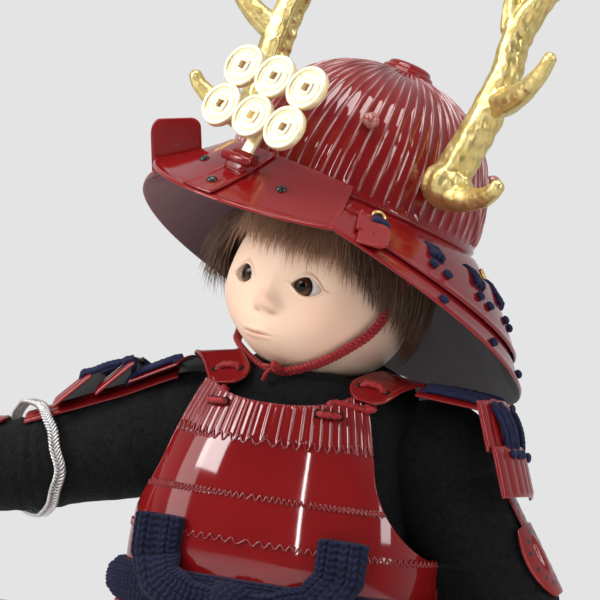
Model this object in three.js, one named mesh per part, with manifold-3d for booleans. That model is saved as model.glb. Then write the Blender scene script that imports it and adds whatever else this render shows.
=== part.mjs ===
// A standing child samurai doll: stuffed cloth body, lacquered armour, and a helmet with antlers and coins.
// Millimetres, +Z up. The doll faces -Y, its left hand is on the +X side, and its boot soles are at z = 0.
import * as THREE from "three";
import { mergeVertices } from "three/addons/utils/BufferGeometryUtils.js";
import Module from "manifold-3d";

const wasm = await Module();
wasm.setup();

// Fits and sheet thicknesses
const SEAT_GAP = 0.4;
const PLATE = 1.2;
const SLIDE_GAP = 0.3;

// Legs and boots
const BOOT_HEIGHT = 27;
const BOOT_LENGTH = 66;
const BOOT_WIDTH = 31;
const GAITER_LENGTH = 38;
const GAITER_RADIUS = 12;
const TROUSER_LENGTH = 82;
const TROUSER_RADIUS = 25;
const LEG_SPACING = 53;
const FOOT_SPACING = 76;
const TOE_OUT = 14;
const SHIN_GUARD_HEIGHT = 36;
const SHIN_GUARD_SPAN = 150;

// Trunk and cuirass, heights above the cuirass's lower edge
const CUIRASS_HEIGHT = 76;
const CHEST_HEIGHT = 28;
const WAIST_HALF_WIDTH = 61;
const WAIST_HALF_DEPTH = 48;
const CHEST_HALF_WIDTH = 60.5;
const CHEST_HALF_DEPTH = 49.5;
const COLLAR_HALF_WIDTH = 46;
const COLLAR_HALF_DEPTH = 39;
const CUIRASS_ROUNDNESS = 2.4;
const ARMHOLE_HEIGHT = 24;
const ARMHOLE_DEPTH = 31;
const BREAST_SPAN = 47;
const BREAST_TAB_RISE = 8;
const BACK_RISE = 8;
const HIP_DROP = 13;
const PADDING_GAP = 1;
const NECK_BASE_RADIUS = 20;
const SHOULDER_TOP = CUIRASS_HEIGHT + 5;
const NECK_BASE_TOP = CUIRASS_HEIGHT + 13;

// Shoulder straps and their red tie cords
const STRAP_WIDTH = 19;
const STRAP_SPACING = 78;
const STRAP_TOP = CUIRASS_HEIGHT + 16;
const STRAP_REACH = 31;
const STRAP_DROP = 9;
const STRAP_SLOPE = 0.15;
const TIE_CORD_RADIUS = 1.3;

// Sash
const SASH_WIDTH = 16;
const SASH_BOTTOM = -7;
const SASH_THICKNESS = 6;
const BOW_LOOP_WIDTH = 22;
const BOW_LOOP_THICKNESS = 7;
const BOW_LOOP_TOP = 29;
const BOW_LOOP_SPACING = 74;
const BOW_ASIDE = 2;
const BOW_KNOT_RADIUS = 9.5;

// Skirt plates
const SKIRT_COUNT = 6;
const SKIRT_HEIGHT = 50;
const SKIRT_FLARE = 13;
const SKIRT_SIDE_GAP = 5;
const SKIRT_STANDOFF = 2.2;

// Arms
const SHOULDER_BELOW_COLLAR = 15;
const SHOULDER_HEIGHT = CUIRASS_HEIGHT - SHOULDER_BELOW_COLLAR;
const RIGHT_SHOULDER_BACK = 4;
const LEFT_SHOULDER_BACK = 11;
const SHOULDER_SPACING = 98;
const UPPER_ARM_LENGTH = 65;
const FOREARM_LENGTH = 54;
const SHOULDER_RADIUS = 23.5;
const SHOULDER_CAP_RISE = 3.5;
const LEFT_SHOULDER_FULLNESS = 5;
const ELBOW_RADIUS = 19;
const WRIST_RADIUS = 13.5;
const ARM_WIRE_RADIUS = 1.6;
const ARM_WIRE_ROOT = 16;
const HAND_LENGTH = 27;
const HAND_WIDTH = 22;
const HAND_THICKNESS = 17;
const WRIST_PIN_LENGTH = 9;
const ARM_BAND_RADIUS = 1.8;
const ARM_BAND_ALONG = 1.5;
const ARM_BAND_SLANT = 30;
const ARM_BAND_SLACK = 2;
const ARM_BAND_LIFT = 2;
const ARM_PLATE_START = 0.45;
const ARM_PLATE_END = 0.92;
const ARM_PLATE_SPAN = 62;
const ARM_PLATE_RIBS = 5;
const ELBOW_PLATE_START = 10;
const ELBOW_PLATE_LENGTH = 26;
const ELBOW_PLATE_SPAN = 80;

// Directions of the arm bones: degrees below level, and degrees forward of sideways
const RIGHT_UPPER_DROP = 19;
const RIGHT_UPPER_FORWARD = 12;
const RIGHT_FORE_DROP = 14;
const RIGHT_FORE_FORWARD = 16;
const LEFT_UPPER_DROP = 52;
const LEFT_UPPER_FORWARD = -15;
const LEFT_FORE_DROP = 52;
const LEFT_FORE_FORWARD = 62;

// Shoulder guards
const LEFT_PAD_LENGTH = 26;
const RIGHT_PAD_LENGTH = 20;
const PAD_WIDTH = 38;
const LEFT_PAD_SLOPE = 5;
const RIGHT_PAD_SLOPE = 26;
const GUARD_WIDTH = 40;
const GUARD_HEIGHT = 20;
const GUARD_FORWARD = 3;
const GUARD_OVERLAP = 2.5;
const GUARD_CURVE_RADIUS = 46;
const GUARD_RIBS = 7;
const GUARD_RIB_DEPTH = 0.6;
const LEFT_GUARD_LEAN = 20;
const LEFT_GUARD_REACH = 3.3;
const RIGHT_GUARD_LEAN = 27;
const RIGHT_GUARD_UPPER_FOOT = 34;
const RIGHT_GUARD_LOWER_FOOT = 52;

// Head and hair, about the head's middle
const HEAD_ABOVE_COLLAR = 51;
const HEAD_HEIGHT_ABOVE_WAIST = CUIRASS_HEIGHT + HEAD_ABOVE_COLLAR;
const HEAD_FORWARD = 2.7;
const HEAD_ASIDE = 2;
const HEAD_TURN = -16.5;
const HEAD_LEAN = 6;
const HEAD_NOD = 1.3;
const HEAD_HALF_WIDTH = 37;
const HEAD_FRONT = 36;
const HEAD_BACK = 39;
const HEAD_UP = 38;
const HEAD_DOWN = 37;
const JAW_FULLNESS = 0.56;
const CHEEK_FULLNESS = 3.8;
const NOSE_LENGTH = 4.6;
const NECK_RADIUS = 13;
const NECK_LENGTH = 44;
const NECK_PEG_RADIUS = 5;
const NECK_PEG_BELOW = 30;
const NECK_PEG_ABOVE = 22;
const EYE_RADIUS = 7;
const EYE_SPAN = 24.6;
const EYE_DROP = 4.8;
const EYE_DEPTH = 3.4;
const HAIR_THICKNESS = 4.8;
const HAIR_STANDOFF = 1.6;
const FRINGE_HEIGHT = 10;
const SIDEBURN_DROP = 20;
const CHIN_CORD_RADIUS = 1.7;

// Helmet, about the middle of the bowl's rim
const HELMET_SIDE = -0.6;
const HELMET_BACK = 6.3;
const HELMET_UP = 33.5;
const HELMET_TURN = -4.2;
const HELMET_TILT = -9;
const HELMET_LEAN = 7.7;
const BOWL_HALF_WIDTH = 50;
const BOWL_HALF_DEPTH = 54.5;
const BOWL_HEIGHT = 54;
const BOWL_BAND = 7;
const BOWL_RIBS = 62;
const BOWL_RIB_DEPTH = 0.8;
const BOWL_RIB_WIDTH = 1.3;
const BOWL_WALL = 1.8;
const CROWN_HOLE_RADIUS = 6;
const CROWN_CAP_RADIUS = 12.5;
const CROWN_CAP_HEIGHT = 6;
const VISOR_HALF_SPAN = 41;
const VISOR_WIDTH = 30.4;
const VISOR_END_WIDTH = 24.4;
const VISOR_DROP = 25.9;
const VISOR_END_SHARE = 0.72;
const VISOR_ROOT_RISE = 2;
const VISOR_STANDOFF = 0.6;
const NECK_GUARD_FRONT = 45;
const NECK_GUARD_FLARE = 32.4;
const NECK_GUARD_BACK_FLARE = 10.2;
const NECK_GUARD_SIDE_DROP = 36.4;
const NECK_GUARD_TILT = 20.7;
const NECK_GUARD_SWAY = 5;
const NECK_GUARD_STEP = 1.7;
const NECK_GUARD_STANDOFF = 0.9;
const LEFT_TURNBACK = { width: 17, height: 13, start: 0.16, fold: 20, spin: 0, drop: 0 };
const RIGHT_TURNBACK = { width: 20, height: 15.2, start: 0.25, fold: 100, spin: 17, drop: 9 };
const TURNBACK_CORNER = 4;

// Crest of six coins, its holder, and the antlers
const COIN_RADIUS = 8.9;
const COIN_THICKNESS = 3;
const COIN_PITCH_ACROSS = 17.2;
const COIN_PITCH_UP = 17.2;
const COIN_HOLE = 3;
const CREST_LEAN = 8.9;
const CREST_FORWARD = 5.4;
const CREST_STEM_WIDTH = 5;
const CREST_STEM_THICKNESS = 2;
const CREST_STEM_LENGTH = 22;
const HOLDER_FLOOR = 3;
const HOLDER_WIDTH = 11;
const HOLDER_DEPTH = 7;
const HOLDER_HEIGHT = 9;
const HOLDER_REACH = 14;
const HOLDER_LID = 40;
const ANTLER_BEAM_RADIUS = 6.8;
const ANTLER_BURR_RADIUS = 10.5;
const ANTLER_HEIGHT = 124;
const ANTLER_SPREAD = 24;
const ANTLER_SEAT_HEIGHT = 17;
const ANTLER_SEAT_ANGLE = 75;
const ANTLER_PEG_RADIUS = 3;
const ANTLER_PEG_LENGTH = 9;

// Heights worked out from the legs
const KNEE_Z = BOOT_HEIGHT + GAITER_LENGTH;
const WAIST_Z = KNEE_Z + TROUSER_LENGTH + HIP_DROP;

const red = [0.42, 0.035, 0.035];
const black = [0.012, 0.012, 0.014];
const navy = [0.025, 0.03, 0.09];
const gold = [0.83, 0.62, 0.2];
const cordRed = [0.5, 0.02, 0.03];

const degrees = THREE.MathUtils.degToRad;
const lerp = THREE.MathUtils.lerp;
const clamp = THREE.MathUtils.clamp;
const point = (x, y, z) => new THREE.Vector3(x, y, z);

// Closed meshes

// A mesh from points and faces, turned so that its faces point out.
function closedGeometry(points, faces) {
  const cross = point(0, 0, 0);
  let volume = 0;
  for (const [a, b, c] of faces) volume += points[a].dot(cross.crossVectors(points[b], points[c]));
  const index = faces.flatMap(([a, b, c]) => (volume > 0 ? [a, b, c] : [a, c, b]));
  return new THREE.BufferGeometry().setFromPoints(points).setIndex(index);
}

// A solid through rings of points. A ring of one point is a pole, and an open end ring gets a flat cap.
function loft(rings) {
  const middle = (ring) => ring.reduce((sum, p) => sum.add(p), point(0, 0, 0)).divideScalar(ring.length);
  const capped = [...rings];
  if (capped[0].length > 1) capped.unshift([middle(capped[0])]);
  if (capped[capped.length - 1].length > 1) capped.push([middle(capped[capped.length - 1])]);
  const faces = [];
  let start = 0;
  for (let k = 0; k + 1 < capped.length; k++) {
    const here = capped[k].length;
    const next = capped[k + 1].length;
    const count = Math.max(here, next);
    for (let i = 0; i < count; i++) {
      const j = (i + 1) % count;
      const a = start + (here > 1 ? i : 0);
      const b = start + (here > 1 ? j : 0);
      const c = start + here + (next > 1 ? i : 0);
      const d = start + here + (next > 1 ? j : 0);
      if (here > 1) faces.push([a, b, d]);
      if (next > 1) faces.push([a, d, c]);
    }
    start += here;
  }
  return closedGeometry(capped.flat(), faces);
}

// A wall between two surfaces on the same grid. A ring wall joins its last column to its first.
function wall(outer, inner, columns, rows, ring = false) {
  const across = ring ? columns : columns + 1;
  const points = [];
  for (const face of [outer, inner])
    for (let i = 0; i < across; i++)
      for (let j = 0; j <= rows; j++) points.push(face(i / columns, j / rows));
  const under = across * (rows + 1);
  const at = (i, j) => (i % across) * (rows + 1) + j;
  const faces = [];
  const quad = (a, b, c, d) => faces.push([a, b, c], [a, c, d]);
  for (let i = 0; i < columns; i++) {
    for (let j = 0; j < rows; j++) {
      quad(at(i, j), at(i + 1, j), at(i + 1, j + 1), at(i, j + 1));
      quad(under + at(i, j), under + at(i, j + 1), under + at(i + 1, j + 1), under + at(i + 1, j));
    }
    quad(at(i, 0), under + at(i, 0), under + at(i + 1, 0), at(i + 1, 0));
    quad(at(i, rows), at(i + 1, rows), under + at(i + 1, rows), under + at(i, rows));
  }
  for (let j = 0; j < rows && !ring; j++) {
    quad(at(0, j), at(0, j + 1), under + at(0, j + 1), under + at(0, j));
    quad(at(columns, j), under + at(columns, j), under + at(columns, j + 1), at(columns, j + 1));
  }
  return closedGeometry(points, faces);
}

// A closed skin through rings, one after another and back to the first. A ring may have a whole number of
// times the points of its neighbour.
function ringSkin(rings) {
  const starts = rings.map((ring, k) => rings.slice(0, k).reduce((sum, r) => sum + r.length, 0));
  const faces = [];
  rings.forEach((ring, k) => {
    const next = (k + 1) % rings.length;
    const many = Math.max(ring.length, rings[next].length);
    const at = (which, i) => starts[which] + Math.floor(((i % many) * rings[which].length) / many);
    for (let i = 0; i < many; i++) {
      const [a, b, c, d] = [at(k, i), at(k, i + 1), at(next, i + 1), at(next, i)];
      if (a !== b) faces.push([a, b, c]);
      if (c !== d) faces.push([a, c, d]);
    }
  });
  return closedGeometry(rings.flat(), faces);
}

// The unit normal of a surface at (u, v), from differences that stay inside the sheet.
function normalAt(surface, u, v) {
  const step = 1e-3;
  const u0 = clamp(u, step, 1 - step);
  const v0 = clamp(v, step, 1 - step);
  const along = surface(u0 + step, v0).sub(surface(u0 - step, v0));
  const up = surface(u0, v0 + step).sub(surface(u0, v0 - step));
  return along.cross(up).normalize();
}

// A sheet from lift to lift + thickness above a surface, measured along its normal.
function sheet(surface, lift, thickness, columns, rows) {
  const raised = (height) => (u, v) => surface(u, v).addScaledVector(normalAt(surface, u, v), height);
  return wall(raised(lift + thickness), raised(lift), columns, rows);
}

// An oval ring about a centre, in the plane of two unit vectors.
function ovalRing(centre, right, up, halfWidth, halfHeight, count, roundness = 2) {
  const ring = [];
  for (let i = 0; i < count; i++) {
    const angle = (2 * Math.PI * i) / count;
    const c = Math.cos(angle);
    const s = Math.sin(angle);
    const x = halfWidth * Math.sign(c) * Math.abs(c) ** (2 / roundness);
    const y = halfHeight * Math.sign(s) * Math.abs(s) ** (2 / roundness);
    ring.push(centre.clone().addScaledVector(right, x).addScaledVector(up, y));
  }
  return ring;
}

// A tube along a smooth curve through points, with a radius given as a function of the way along.
function taperedTube(points, radiusAt, sides, steps) {
  const curve = new THREE.CatmullRomCurve3(points);
  const frames = curve.computeFrenetFrames(steps, false);
  const rings = [];
  for (let k = 0; k <= steps; k++) {
    const radius = radiusAt(k / steps);
    const centre = curve.getPointAt(k / steps);
    rings.push(ovalRing(centre, frames.normals[k], frames.binormals[k], radius, radius, sides));
  }
  return loft(rings);
}

// A plain cord: a round section extruded along a curve.
function cordTube(points, radius, steps) {
  const section = new THREE.Shape(new THREE.EllipseCurve(0, 0, radius, radius).getPoints(6).slice(0, 6));
  const path = new THREE.CatmullRomCurve3(points);
  return new THREE.ExtrudeGeometry(section, { steps, extrudePath: path, bevelEnabled: false });
}

// Joining and cutting

function toSolid(geometry) {
  const bare = new THREE.BufferGeometry().setAttribute("position", geometry.getAttribute("position"));
  if (geometry.index) bare.setIndex(geometry.index);
  const merged = mergeVertices(bare, 1e-4);
  const vertProperties = new Float32Array(merged.getAttribute("position").array);
  const triVerts = new Uint32Array(merged.index.array);
  return new wasm.Manifold(new wasm.Mesh({ numProp: 3, vertProperties, triVerts }));
}

function toGeometry(solid) {
  const mesh = solid.getMesh();
  const geometry = new THREE.BufferGeometry();
  geometry.setAttribute("position", new THREE.BufferAttribute(new Float32Array(mesh.vertProperties), 3));
  return geometry.setIndex(new THREE.BufferAttribute(new Uint32Array(mesh.triVerts), 1));
}

function joined(...geometries) {
  return toGeometry(geometries.map(toSolid).reduce((all, next) => all.add(next)));
}

// The largest body left when the tools are cut from a solid.
function cut(geometry, ...tools) {
  const rest = tools.map(toSolid).reduce((left, tool) => left.subtract(tool), toSolid(geometry));
  const bodies = rest.decompose().sort((a, b) => b.volume() - a.volume());
  return toGeometry(bodies[0]);
}

// A round bar from one point to another.
function bar(from, to, radius, sides = 8) {
  const axis = to.clone().sub(from).normalize();
  const right = Math.abs(axis.z) > 0.9 ? point(1, 0, 0) : point(0, 0, 1).cross(axis).normalize();
  right.addScaledVector(axis, -right.dot(axis)).normalize();
  const up = axis.clone().cross(right);
  return loft([from, to].map((end) => ovalRing(end, right, up, radius, radius, sides)));
}

function box(width, depth, height, centre) {
  return new THREE.BoxGeometry(width, depth, height).translate(centre.x, centre.y, centre.z);
}

function ball(radiusX, radiusY, radiusZ, centre, segments = 12) {
  const sphere = new THREE.SphereGeometry(1, segments, Math.round(segments * 0.7));
  return sphere.scale(radiusX, radiusY, radiusZ).translate(centre.x, centre.y, centre.z);
}

const finishes = new Map();
function finish(colour, roughness, metalness) {
  const key = [...colour, roughness, metalness].join();
  const color = new THREE.Color(...colour);
  if (!finishes.has(key)) finishes.set(key, new THREE.MeshStandardMaterial({ color, roughness, metalness }));
  return finishes.get(key);
}
const lacquer = finish(red, 0.12, 0);
const blackCloth = finish(black, 0.95, 0);
const navyKnit = finish(navy, 0.9, 0);
const gilt = finish(gold, 0.25, 1);
const redCord = finish(cordRed, 0.7, 0);
const skin = finish([0.9, 0.68, 0.52], 0.5, 0);
const hairFinish = finish([0.05, 0.03, 0.025], 0.6, 0);
const glassBrown = finish([0.03, 0.015, 0.01], 0.05, 0);
const silver = finish([0.7, 0.7, 0.72], 0.35, 1);
const wood = finish([0.55, 0.38, 0.2], 0.7, 0);
const fur = finish([0.03, 0.025, 0.02], 0.95, 0);

function piece(parent, name, geometry, material) {
  const mesh = new THREE.Mesh(geometry, material);
  mesh.name = name;
  parent.add(mesh);
  return mesh;
}

// A moving piece in a group of its own at its pivot. Its shape is given in the parent's frame.
function hungPiece(parent, frame, name, geometry, material) {
  const pivot = new THREE.Group();
  pivot.name = `${name}_pivot`;
  frame.decompose(pivot.position, pivot.quaternion, pivot.scale);
  parent.add(pivot);
  return piece(pivot, name, geometry.clone().applyMatrix4(frame.clone().invert()), material);
}

// A frame at a place: its X axis is the hinge line, Y hangs down the piece and Z faces out of it.
function hangingFrame(place, hang, outward) {
  const hinge = hang.clone().cross(outward).normalize();
  const facing = hinge.clone().cross(hang).normalize();
  return new THREE.Matrix4().makeBasis(hinge, hang, facing).setPosition(place);
}

const doll = new THREE.Group();
const figure = new THREE.Group();
doll.add(figure);
const trunk = new THREE.Group();
trunk.position.z = WAIST_Z;
figure.add(trunk);

// Cuirass: oval sections that swell at the chest and draw in to the collar

// A curve through the waist, chest and collar values, above the lower edge.
function throughHeights(waist, chest, collar, z) {
  const chestShare = (z * (z - CUIRASS_HEIGHT)) / (CHEST_HEIGHT * (CHEST_HEIGHT - CUIRASS_HEIGHT));
  const waistShare = ((z - CHEST_HEIGHT) * (z - CUIRASS_HEIGHT)) / (CHEST_HEIGHT * CUIRASS_HEIGHT);
  const collarShare = (z * (z - CHEST_HEIGHT)) / (CUIRASS_HEIGHT * (CUIRASS_HEIGHT - CHEST_HEIGHT));
  return waist * waistShare + chest * chestShare + collar * collarShare;
}
const halfWidthAt = (z) => throughHeights(WAIST_HALF_WIDTH, CHEST_HALF_WIDTH, COLLAR_HALF_WIDTH, z);
const halfDepthAt = (z) => throughHeights(WAIST_HALF_DEPTH, CHEST_HALF_DEPTH, COLLAR_HALF_DEPTH, z);

// A point on the cuirass, at an angle from straight ahead towards the doll's left, moved out by an offset.
function cuirassPoint(angle, z, offset) {
  const s = Math.sin(angle);
  const c = Math.cos(angle);
  const power = 2 / CUIRASS_ROUNDNESS;
  const x = (halfWidthAt(z) + offset) * Math.sign(s) * Math.abs(s) ** power;
  const y = -(halfDepthAt(z) + offset) * Math.sign(c) * Math.abs(c) ** power;
  return point(x, y, z);
}

// How far round a front or back plate reaches at a height: to the side seam, then in along the armhole.
function plateSpan(z) {
  const seam = 90 - THREE.MathUtils.radToDeg(SEAT_GAP / CHEST_HALF_WIDTH);
  const climb = clamp((z - ARMHOLE_HEIGHT) / ARMHOLE_DEPTH, 0, 1);
  return degrees(lerp(BREAST_SPAN, seam, 1 - Math.sqrt(1 - (1 - climb) ** 2)));
}

// One half of the cuirass. Rows crowd together where the armhole sweeps in.
function cuirassHalf(facing, neckRise, tabRise, offsetIn, offsetOut) {
  const edge = ARMHOLE_HEIGHT;
  const sweep = [0.5, 2, 5, 11, ARMHOLE_DEPTH].map((climb) => edge + climb);
  const rows = [0, edge / 2, edge, ...sweep, CUIRASS_HEIGHT];
  const surface = (offset) => (u, v) => {
    const row = Math.round(v * (rows.length - 1));
    const side = 2 * u - 1;
    const top = row === rows.length - 1 ? neckRise + tabRise * side * side : 0;
    const z = rows[row] + top;
    const angle = side * plateSpan(z);
    const p = cuirassPoint(angle, z, offset);
    return point(p.x, p.y * facing, p.z);
  };
  return wall(surface(offsetOut), surface(offsetIn), 14, rows.length - 1);
}
piece(trunk, "cuirass_front", cuirassHalf(1, 0, BREAST_TAB_RISE, 0, PLATE), lacquer);
piece(trunk, "cuirass_back", cuirassHalf(-1, BACK_RISE, 0, 0, PLATE), lacquer);
const cuirassKeepOut = [
  cuirassHalf(1, 0, BREAST_TAB_RISE, -SEAT_GAP, PLATE + SEAT_GAP),
  cuirassHalf(-1, BACK_RISE, 0, -SEAT_GAP, PLATE + SEAT_GAP),
];

// Arm bones: where each shoulder, elbow, wrist and hand lies

function armDirection(side, drop, forward) {
  const level = Math.cos(degrees(drop));
  const across = side * level * Math.cos(degrees(forward));
  return point(across, -level * Math.sin(degrees(forward)), -Math.sin(degrees(drop)));
}

function armBones(side, upper, fore) {
  const back = side > 0 ? LEFT_SHOULDER_BACK : RIGHT_SHOULDER_BACK;
  const shoulder = point((side * SHOULDER_SPACING) / 2, back, SHOULDER_HEIGHT);
  const elbow = shoulder.clone().addScaledVector(upper, UPPER_ARM_LENGTH);
  const wrist = elbow.clone().addScaledVector(fore, FOREARM_LENGTH);
  const root = shoulder.clone().addScaledVector(upper, -ARM_WIRE_ROOT);
  return { side, upper, fore, shoulder, elbow, wrist, root };
}
const arms = {
  right: armBones(
    -1,
    armDirection(-1, RIGHT_UPPER_DROP, RIGHT_UPPER_FORWARD),
    armDirection(-1, RIGHT_FORE_DROP, RIGHT_FORE_FORWARD),
  ),
  left: armBones(
    1,
    armDirection(1, LEFT_UPPER_DROP, LEFT_UPPER_FORWARD),
    armDirection(1, LEFT_FORE_DROP, LEFT_FORE_FORWARD),
  ),
};

// The wire core of an arm, bent at the elbow, a little past the wrist, where the hand turns on it.
function armWire(arm, radius) {
  const end = arm.wrist.clone().addScaledVector(arm.fore, WRIST_PIN_LENGTH);
  const side = arm.upper.clone().cross(arm.fore).normalize();
  const bend = arm.upper.clone().add(arm.fore).normalize();
  const ring = (centre, axis, stretch) =>
    ovalRing(centre, side, axis.clone().cross(side), radius, radius / stretch, 8);
  return loft([
    ring(arm.root, arm.upper, 1),
    ring(arm.elbow, bend, bend.dot(arm.upper)),
    ring(end, arm.fore, 1),
  ]);
}

// Head group and the neck's axis, which the head turns about

const head = new THREE.Group();
head.position.set(HEAD_ASIDE, -HEAD_FORWARD, HEAD_HEIGHT_ABOVE_WAIST);
head.rotation.set(degrees(HEAD_NOD), degrees(HEAD_LEAN), degrees(HEAD_TURN), "ZYX");
trunk.add(head);
head.updateMatrix();
const inTrunk = (geometry) => geometry.clone().applyMatrix4(head.matrix);

// Trunk: a stuffed body under the cuirass, with sloping shoulders and a well for the neck

function trunkBody() {
  const inset = PLATE + PADDING_GAP;
  const sections = [
    [-HIP_DROP + SEAT_GAP, WAIST_HALF_WIDTH - 6, WAIST_HALF_DEPTH - 6],
    [-HIP_DROP / 2, WAIST_HALF_WIDTH - inset - 1, WAIST_HALF_DEPTH - inset - 1],
    [0, halfWidthAt(0) - inset, halfDepthAt(0) - inset],
    [ARMHOLE_HEIGHT * 0.7, halfWidthAt(ARMHOLE_HEIGHT) - inset - 2, halfDepthAt(ARMHOLE_HEIGHT) - inset],
    [ARMHOLE_HEIGHT + 6, SHOULDER_SPACING / 2 - 2, halfDepthAt(ARMHOLE_HEIGHT) - inset - 2],
    [SHOULDER_HEIGHT, SHOULDER_SPACING / 2 - 4, halfDepthAt(SHOULDER_HEIGHT) - inset - 3],
    [SHOULDER_TOP - 5, SHOULDER_SPACING / 2 - 7, COLLAR_HALF_DEPTH - inset - 8],
    [SHOULDER_TOP, NECK_BASE_RADIUS + 11, NECK_BASE_RADIUS + 4],
    [NECK_BASE_TOP, NECK_BASE_RADIUS, NECK_BASE_RADIUS - 1],
  ];
  const right = point(1, 0, 0);
  const up = point(0, 1, 0);
  const ring = ([z, a, b]) => ovalRing(point(0, 0, z), right, up, a, b, 18, CUIRASS_ROUNDNESS);
  return loft(sections.map(ring));
}
const neckFoot = point(0, 0, -NECK_LENGTH - SEAT_GAP);
const neckWell = inTrunk(bar(neckFoot, point(0, 0, 0), NECK_RADIUS + SEAT_GAP, 16));
const pegFoot = point(0, 0, -NECK_LENGTH - NECK_PEG_BELOW - SEAT_GAP);
const pegWell = inTrunk(bar(pegFoot, point(0, 0, -NECK_LENGTH), NECK_PEG_RADIUS + SLIDE_GAP, 12));
const armWireWells = Object.values(arms).map((arm) => armWire(arm, ARM_WIRE_RADIUS + SLIDE_GAP));
piece(trunk, "trunk_body", cut(trunkBody(), neckWell, pegWell, ...armWireWells), blackCloth);
const trunkKeepOut = () => {
  const grown = trunkBody();
  grown.scale(1 + SEAT_GAP / 40, 1 + SEAT_GAP / 30, 1 + SEAT_GAP / 60);
  return grown;
};

// Sleeves: stuffed cloth tubes, cut where they meet the cuirass and the trunk

// Rings across an arm bone, each a place along it and a radius.
function sleeveRings(from, direction, sections) {
  const right = point(0, 0, 1).cross(direction).normalize();
  const up = direction.clone().cross(right);
  const at = (along) => from.clone().addScaledVector(direction, along);
  return loft(sections.map(([along, radius]) => ovalRing(at(along), right, up, radius, radius, 12)));
}

// The upper sleeve swells into a round shoulder under the pad plate.
function upperSleeve(arm) {
  const tube = sleeveRings(arm.shoulder, arm.upper, [
    [-5, SHOULDER_RADIUS * 0.88],
    [2, SHOULDER_RADIUS],
    [UPPER_ARM_LENGTH * 0.35, lerp(SHOULDER_RADIUS, ELBOW_RADIUS, 0.25)],
    [UPPER_ARM_LENGTH * 0.7, lerp(SHOULDER_RADIUS, ELBOW_RADIUS, 0.8)],
    [UPPER_ARM_LENGTH, ELBOW_RADIUS],
  ]);
  const fullness = arm.side > 0 ? LEFT_SHOULDER_FULLNESS : 0;
  const top = arm.shoulder.clone().add(point((fullness - 2) * arm.side, 0, SHOULDER_CAP_RISE));
  const cap = SHOULDER_RADIUS + fullness * 0.3;
  return joined(tube, ball(cap, cap, cap - 2.5, top, 10));
}

function foreSleeve(arm) {
  return sleeveRings(arm.elbow, arm.fore, [
    [-ELBOW_RADIUS * 0.7, ELBOW_RADIUS * 0.6],
    [-ELBOW_RADIUS * 0.4, ELBOW_RADIUS * 0.87],
    [0, ELBOW_RADIUS * 0.98],
    [FOREARM_LENGTH * 0.35, lerp(ELBOW_RADIUS, WRIST_RADIUS, 0.2)],
    [FOREARM_LENGTH * 0.75, lerp(ELBOW_RADIUS, WRIST_RADIUS, 0.7)],
    [FOREARM_LENGTH - SEAT_GAP, WRIST_RADIUS],
  ]);
}

// The upper sleeve's end as a keep-out for the fore sleeve: a slightly fatter copy.
function upperSleeveKeepOut(arm) {
  const grown = upperSleeve(arm).translate(-arm.shoulder.x, -arm.shoulder.y, -arm.shoulder.z);
  const reach = UPPER_ARM_LENGTH / (UPPER_ARM_LENGTH + SEAT_GAP);
  grown.scale(1 / reach, 1 / reach, 1 / reach);
  return grown.translate(arm.shoulder.x, arm.shoulder.y, arm.shoulder.z);
}

// The knitted band's outline, grown by a clearance when it is used to cut its neighbours.
function sashBand(grow = 0) {
  const gapOut = PLATE + SEAT_GAP + 0.5;
  const bulge = [0.35, 0.9, 1, 0.9, 0.35];
  const at = (u, v, thick) => {
    const row = Math.round(v * (bulge.length - 1));
    const z = SASH_BOTTOM + SASH_WIDTH * v;
    return cuirassPoint(2 * Math.PI * u, z + (2 * v - 1) * grow, gapOut + thick * bulge[row]);
  };
  const outside = (u, v) => at(u, v, SASH_THICKNESS + grow);
  const inside = (u, v) => at(u, v, -grow);
  return wall(outside, inside, 22, bulge.length - 1, true);
}

for (const [side, arm] of Object.entries(arms)) {
  const wireHole = armWire(arm, ARM_WIRE_RADIUS + SLIDE_GAP);
  const keepOut = [...cuirassKeepOut, sashBand(SEAT_GAP), wireHole];
  const upper = cut(upperSleeve(arm), trunkKeepOut(), ...keepOut);
  piece(trunk, `upper_sleeve_${side}`, upper, blackCloth);
  const fore = cut(foreSleeve(arm), upperSleeveKeepOut(arm), ...keepOut);
  piece(trunk, `fore_sleeve_${side}`, fore, blackCloth);
  piece(trunk, `arm_wire_${side}`, armWire(arm, ARM_WIRE_RADIUS), silver);
}

// Hands: closed doll's hands, each a rounded fist with a thumb, on the end of the arm wire

// The hand's frame: Z runs on along the forearm, and the hand twists about it.
function handFrame(arm) {
  const right = point(0, 0, 1).cross(arm.fore).normalize();
  const up = arm.fore.clone().cross(right);
  return new THREE.Matrix4().makeBasis(right, up, arm.fore).setPosition(arm.wrist);
}

function handSolid(arm) {
  const sections = [
    [SEAT_GAP, 0.52, 0.6],
    [HAND_LENGTH * 0.22, 0.6, 0.66],
    [HAND_LENGTH * 0.42, 0.95, 0.92],
    [HAND_LENGTH * 0.7, 1, 1],
    [HAND_LENGTH * 0.9, 0.92, 0.84],
    [HAND_LENGTH, 0.68, 0.5],
  ];
  const rings = sections.map(([along, width, thick]) => {
    const centre = point(0, 0, along);
    const halfWidth = (HAND_WIDTH * width) / 2;
    const halfThickness = (HAND_THICKNESS * thick) / 2;
    return ovalRing(centre, point(1, 0, 0), point(0, 1, 0), halfWidth, halfThickness, 12, 2.6);
  });
  const thumbRoot = point(HAND_WIDTH * 0.36, -HAND_THICKNESS * 0.2, HAND_LENGTH * 0.36);
  const thumbTip = point(HAND_WIDTH * 0.2, -HAND_THICKNESS * 0.52, HAND_LENGTH * 0.76);
  const thumb = bar(thumbRoot, thumbTip, HAND_WIDTH / 7, 6);
  return joined(loft(rings), thumb).applyMatrix4(handFrame(arm));
}
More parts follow.
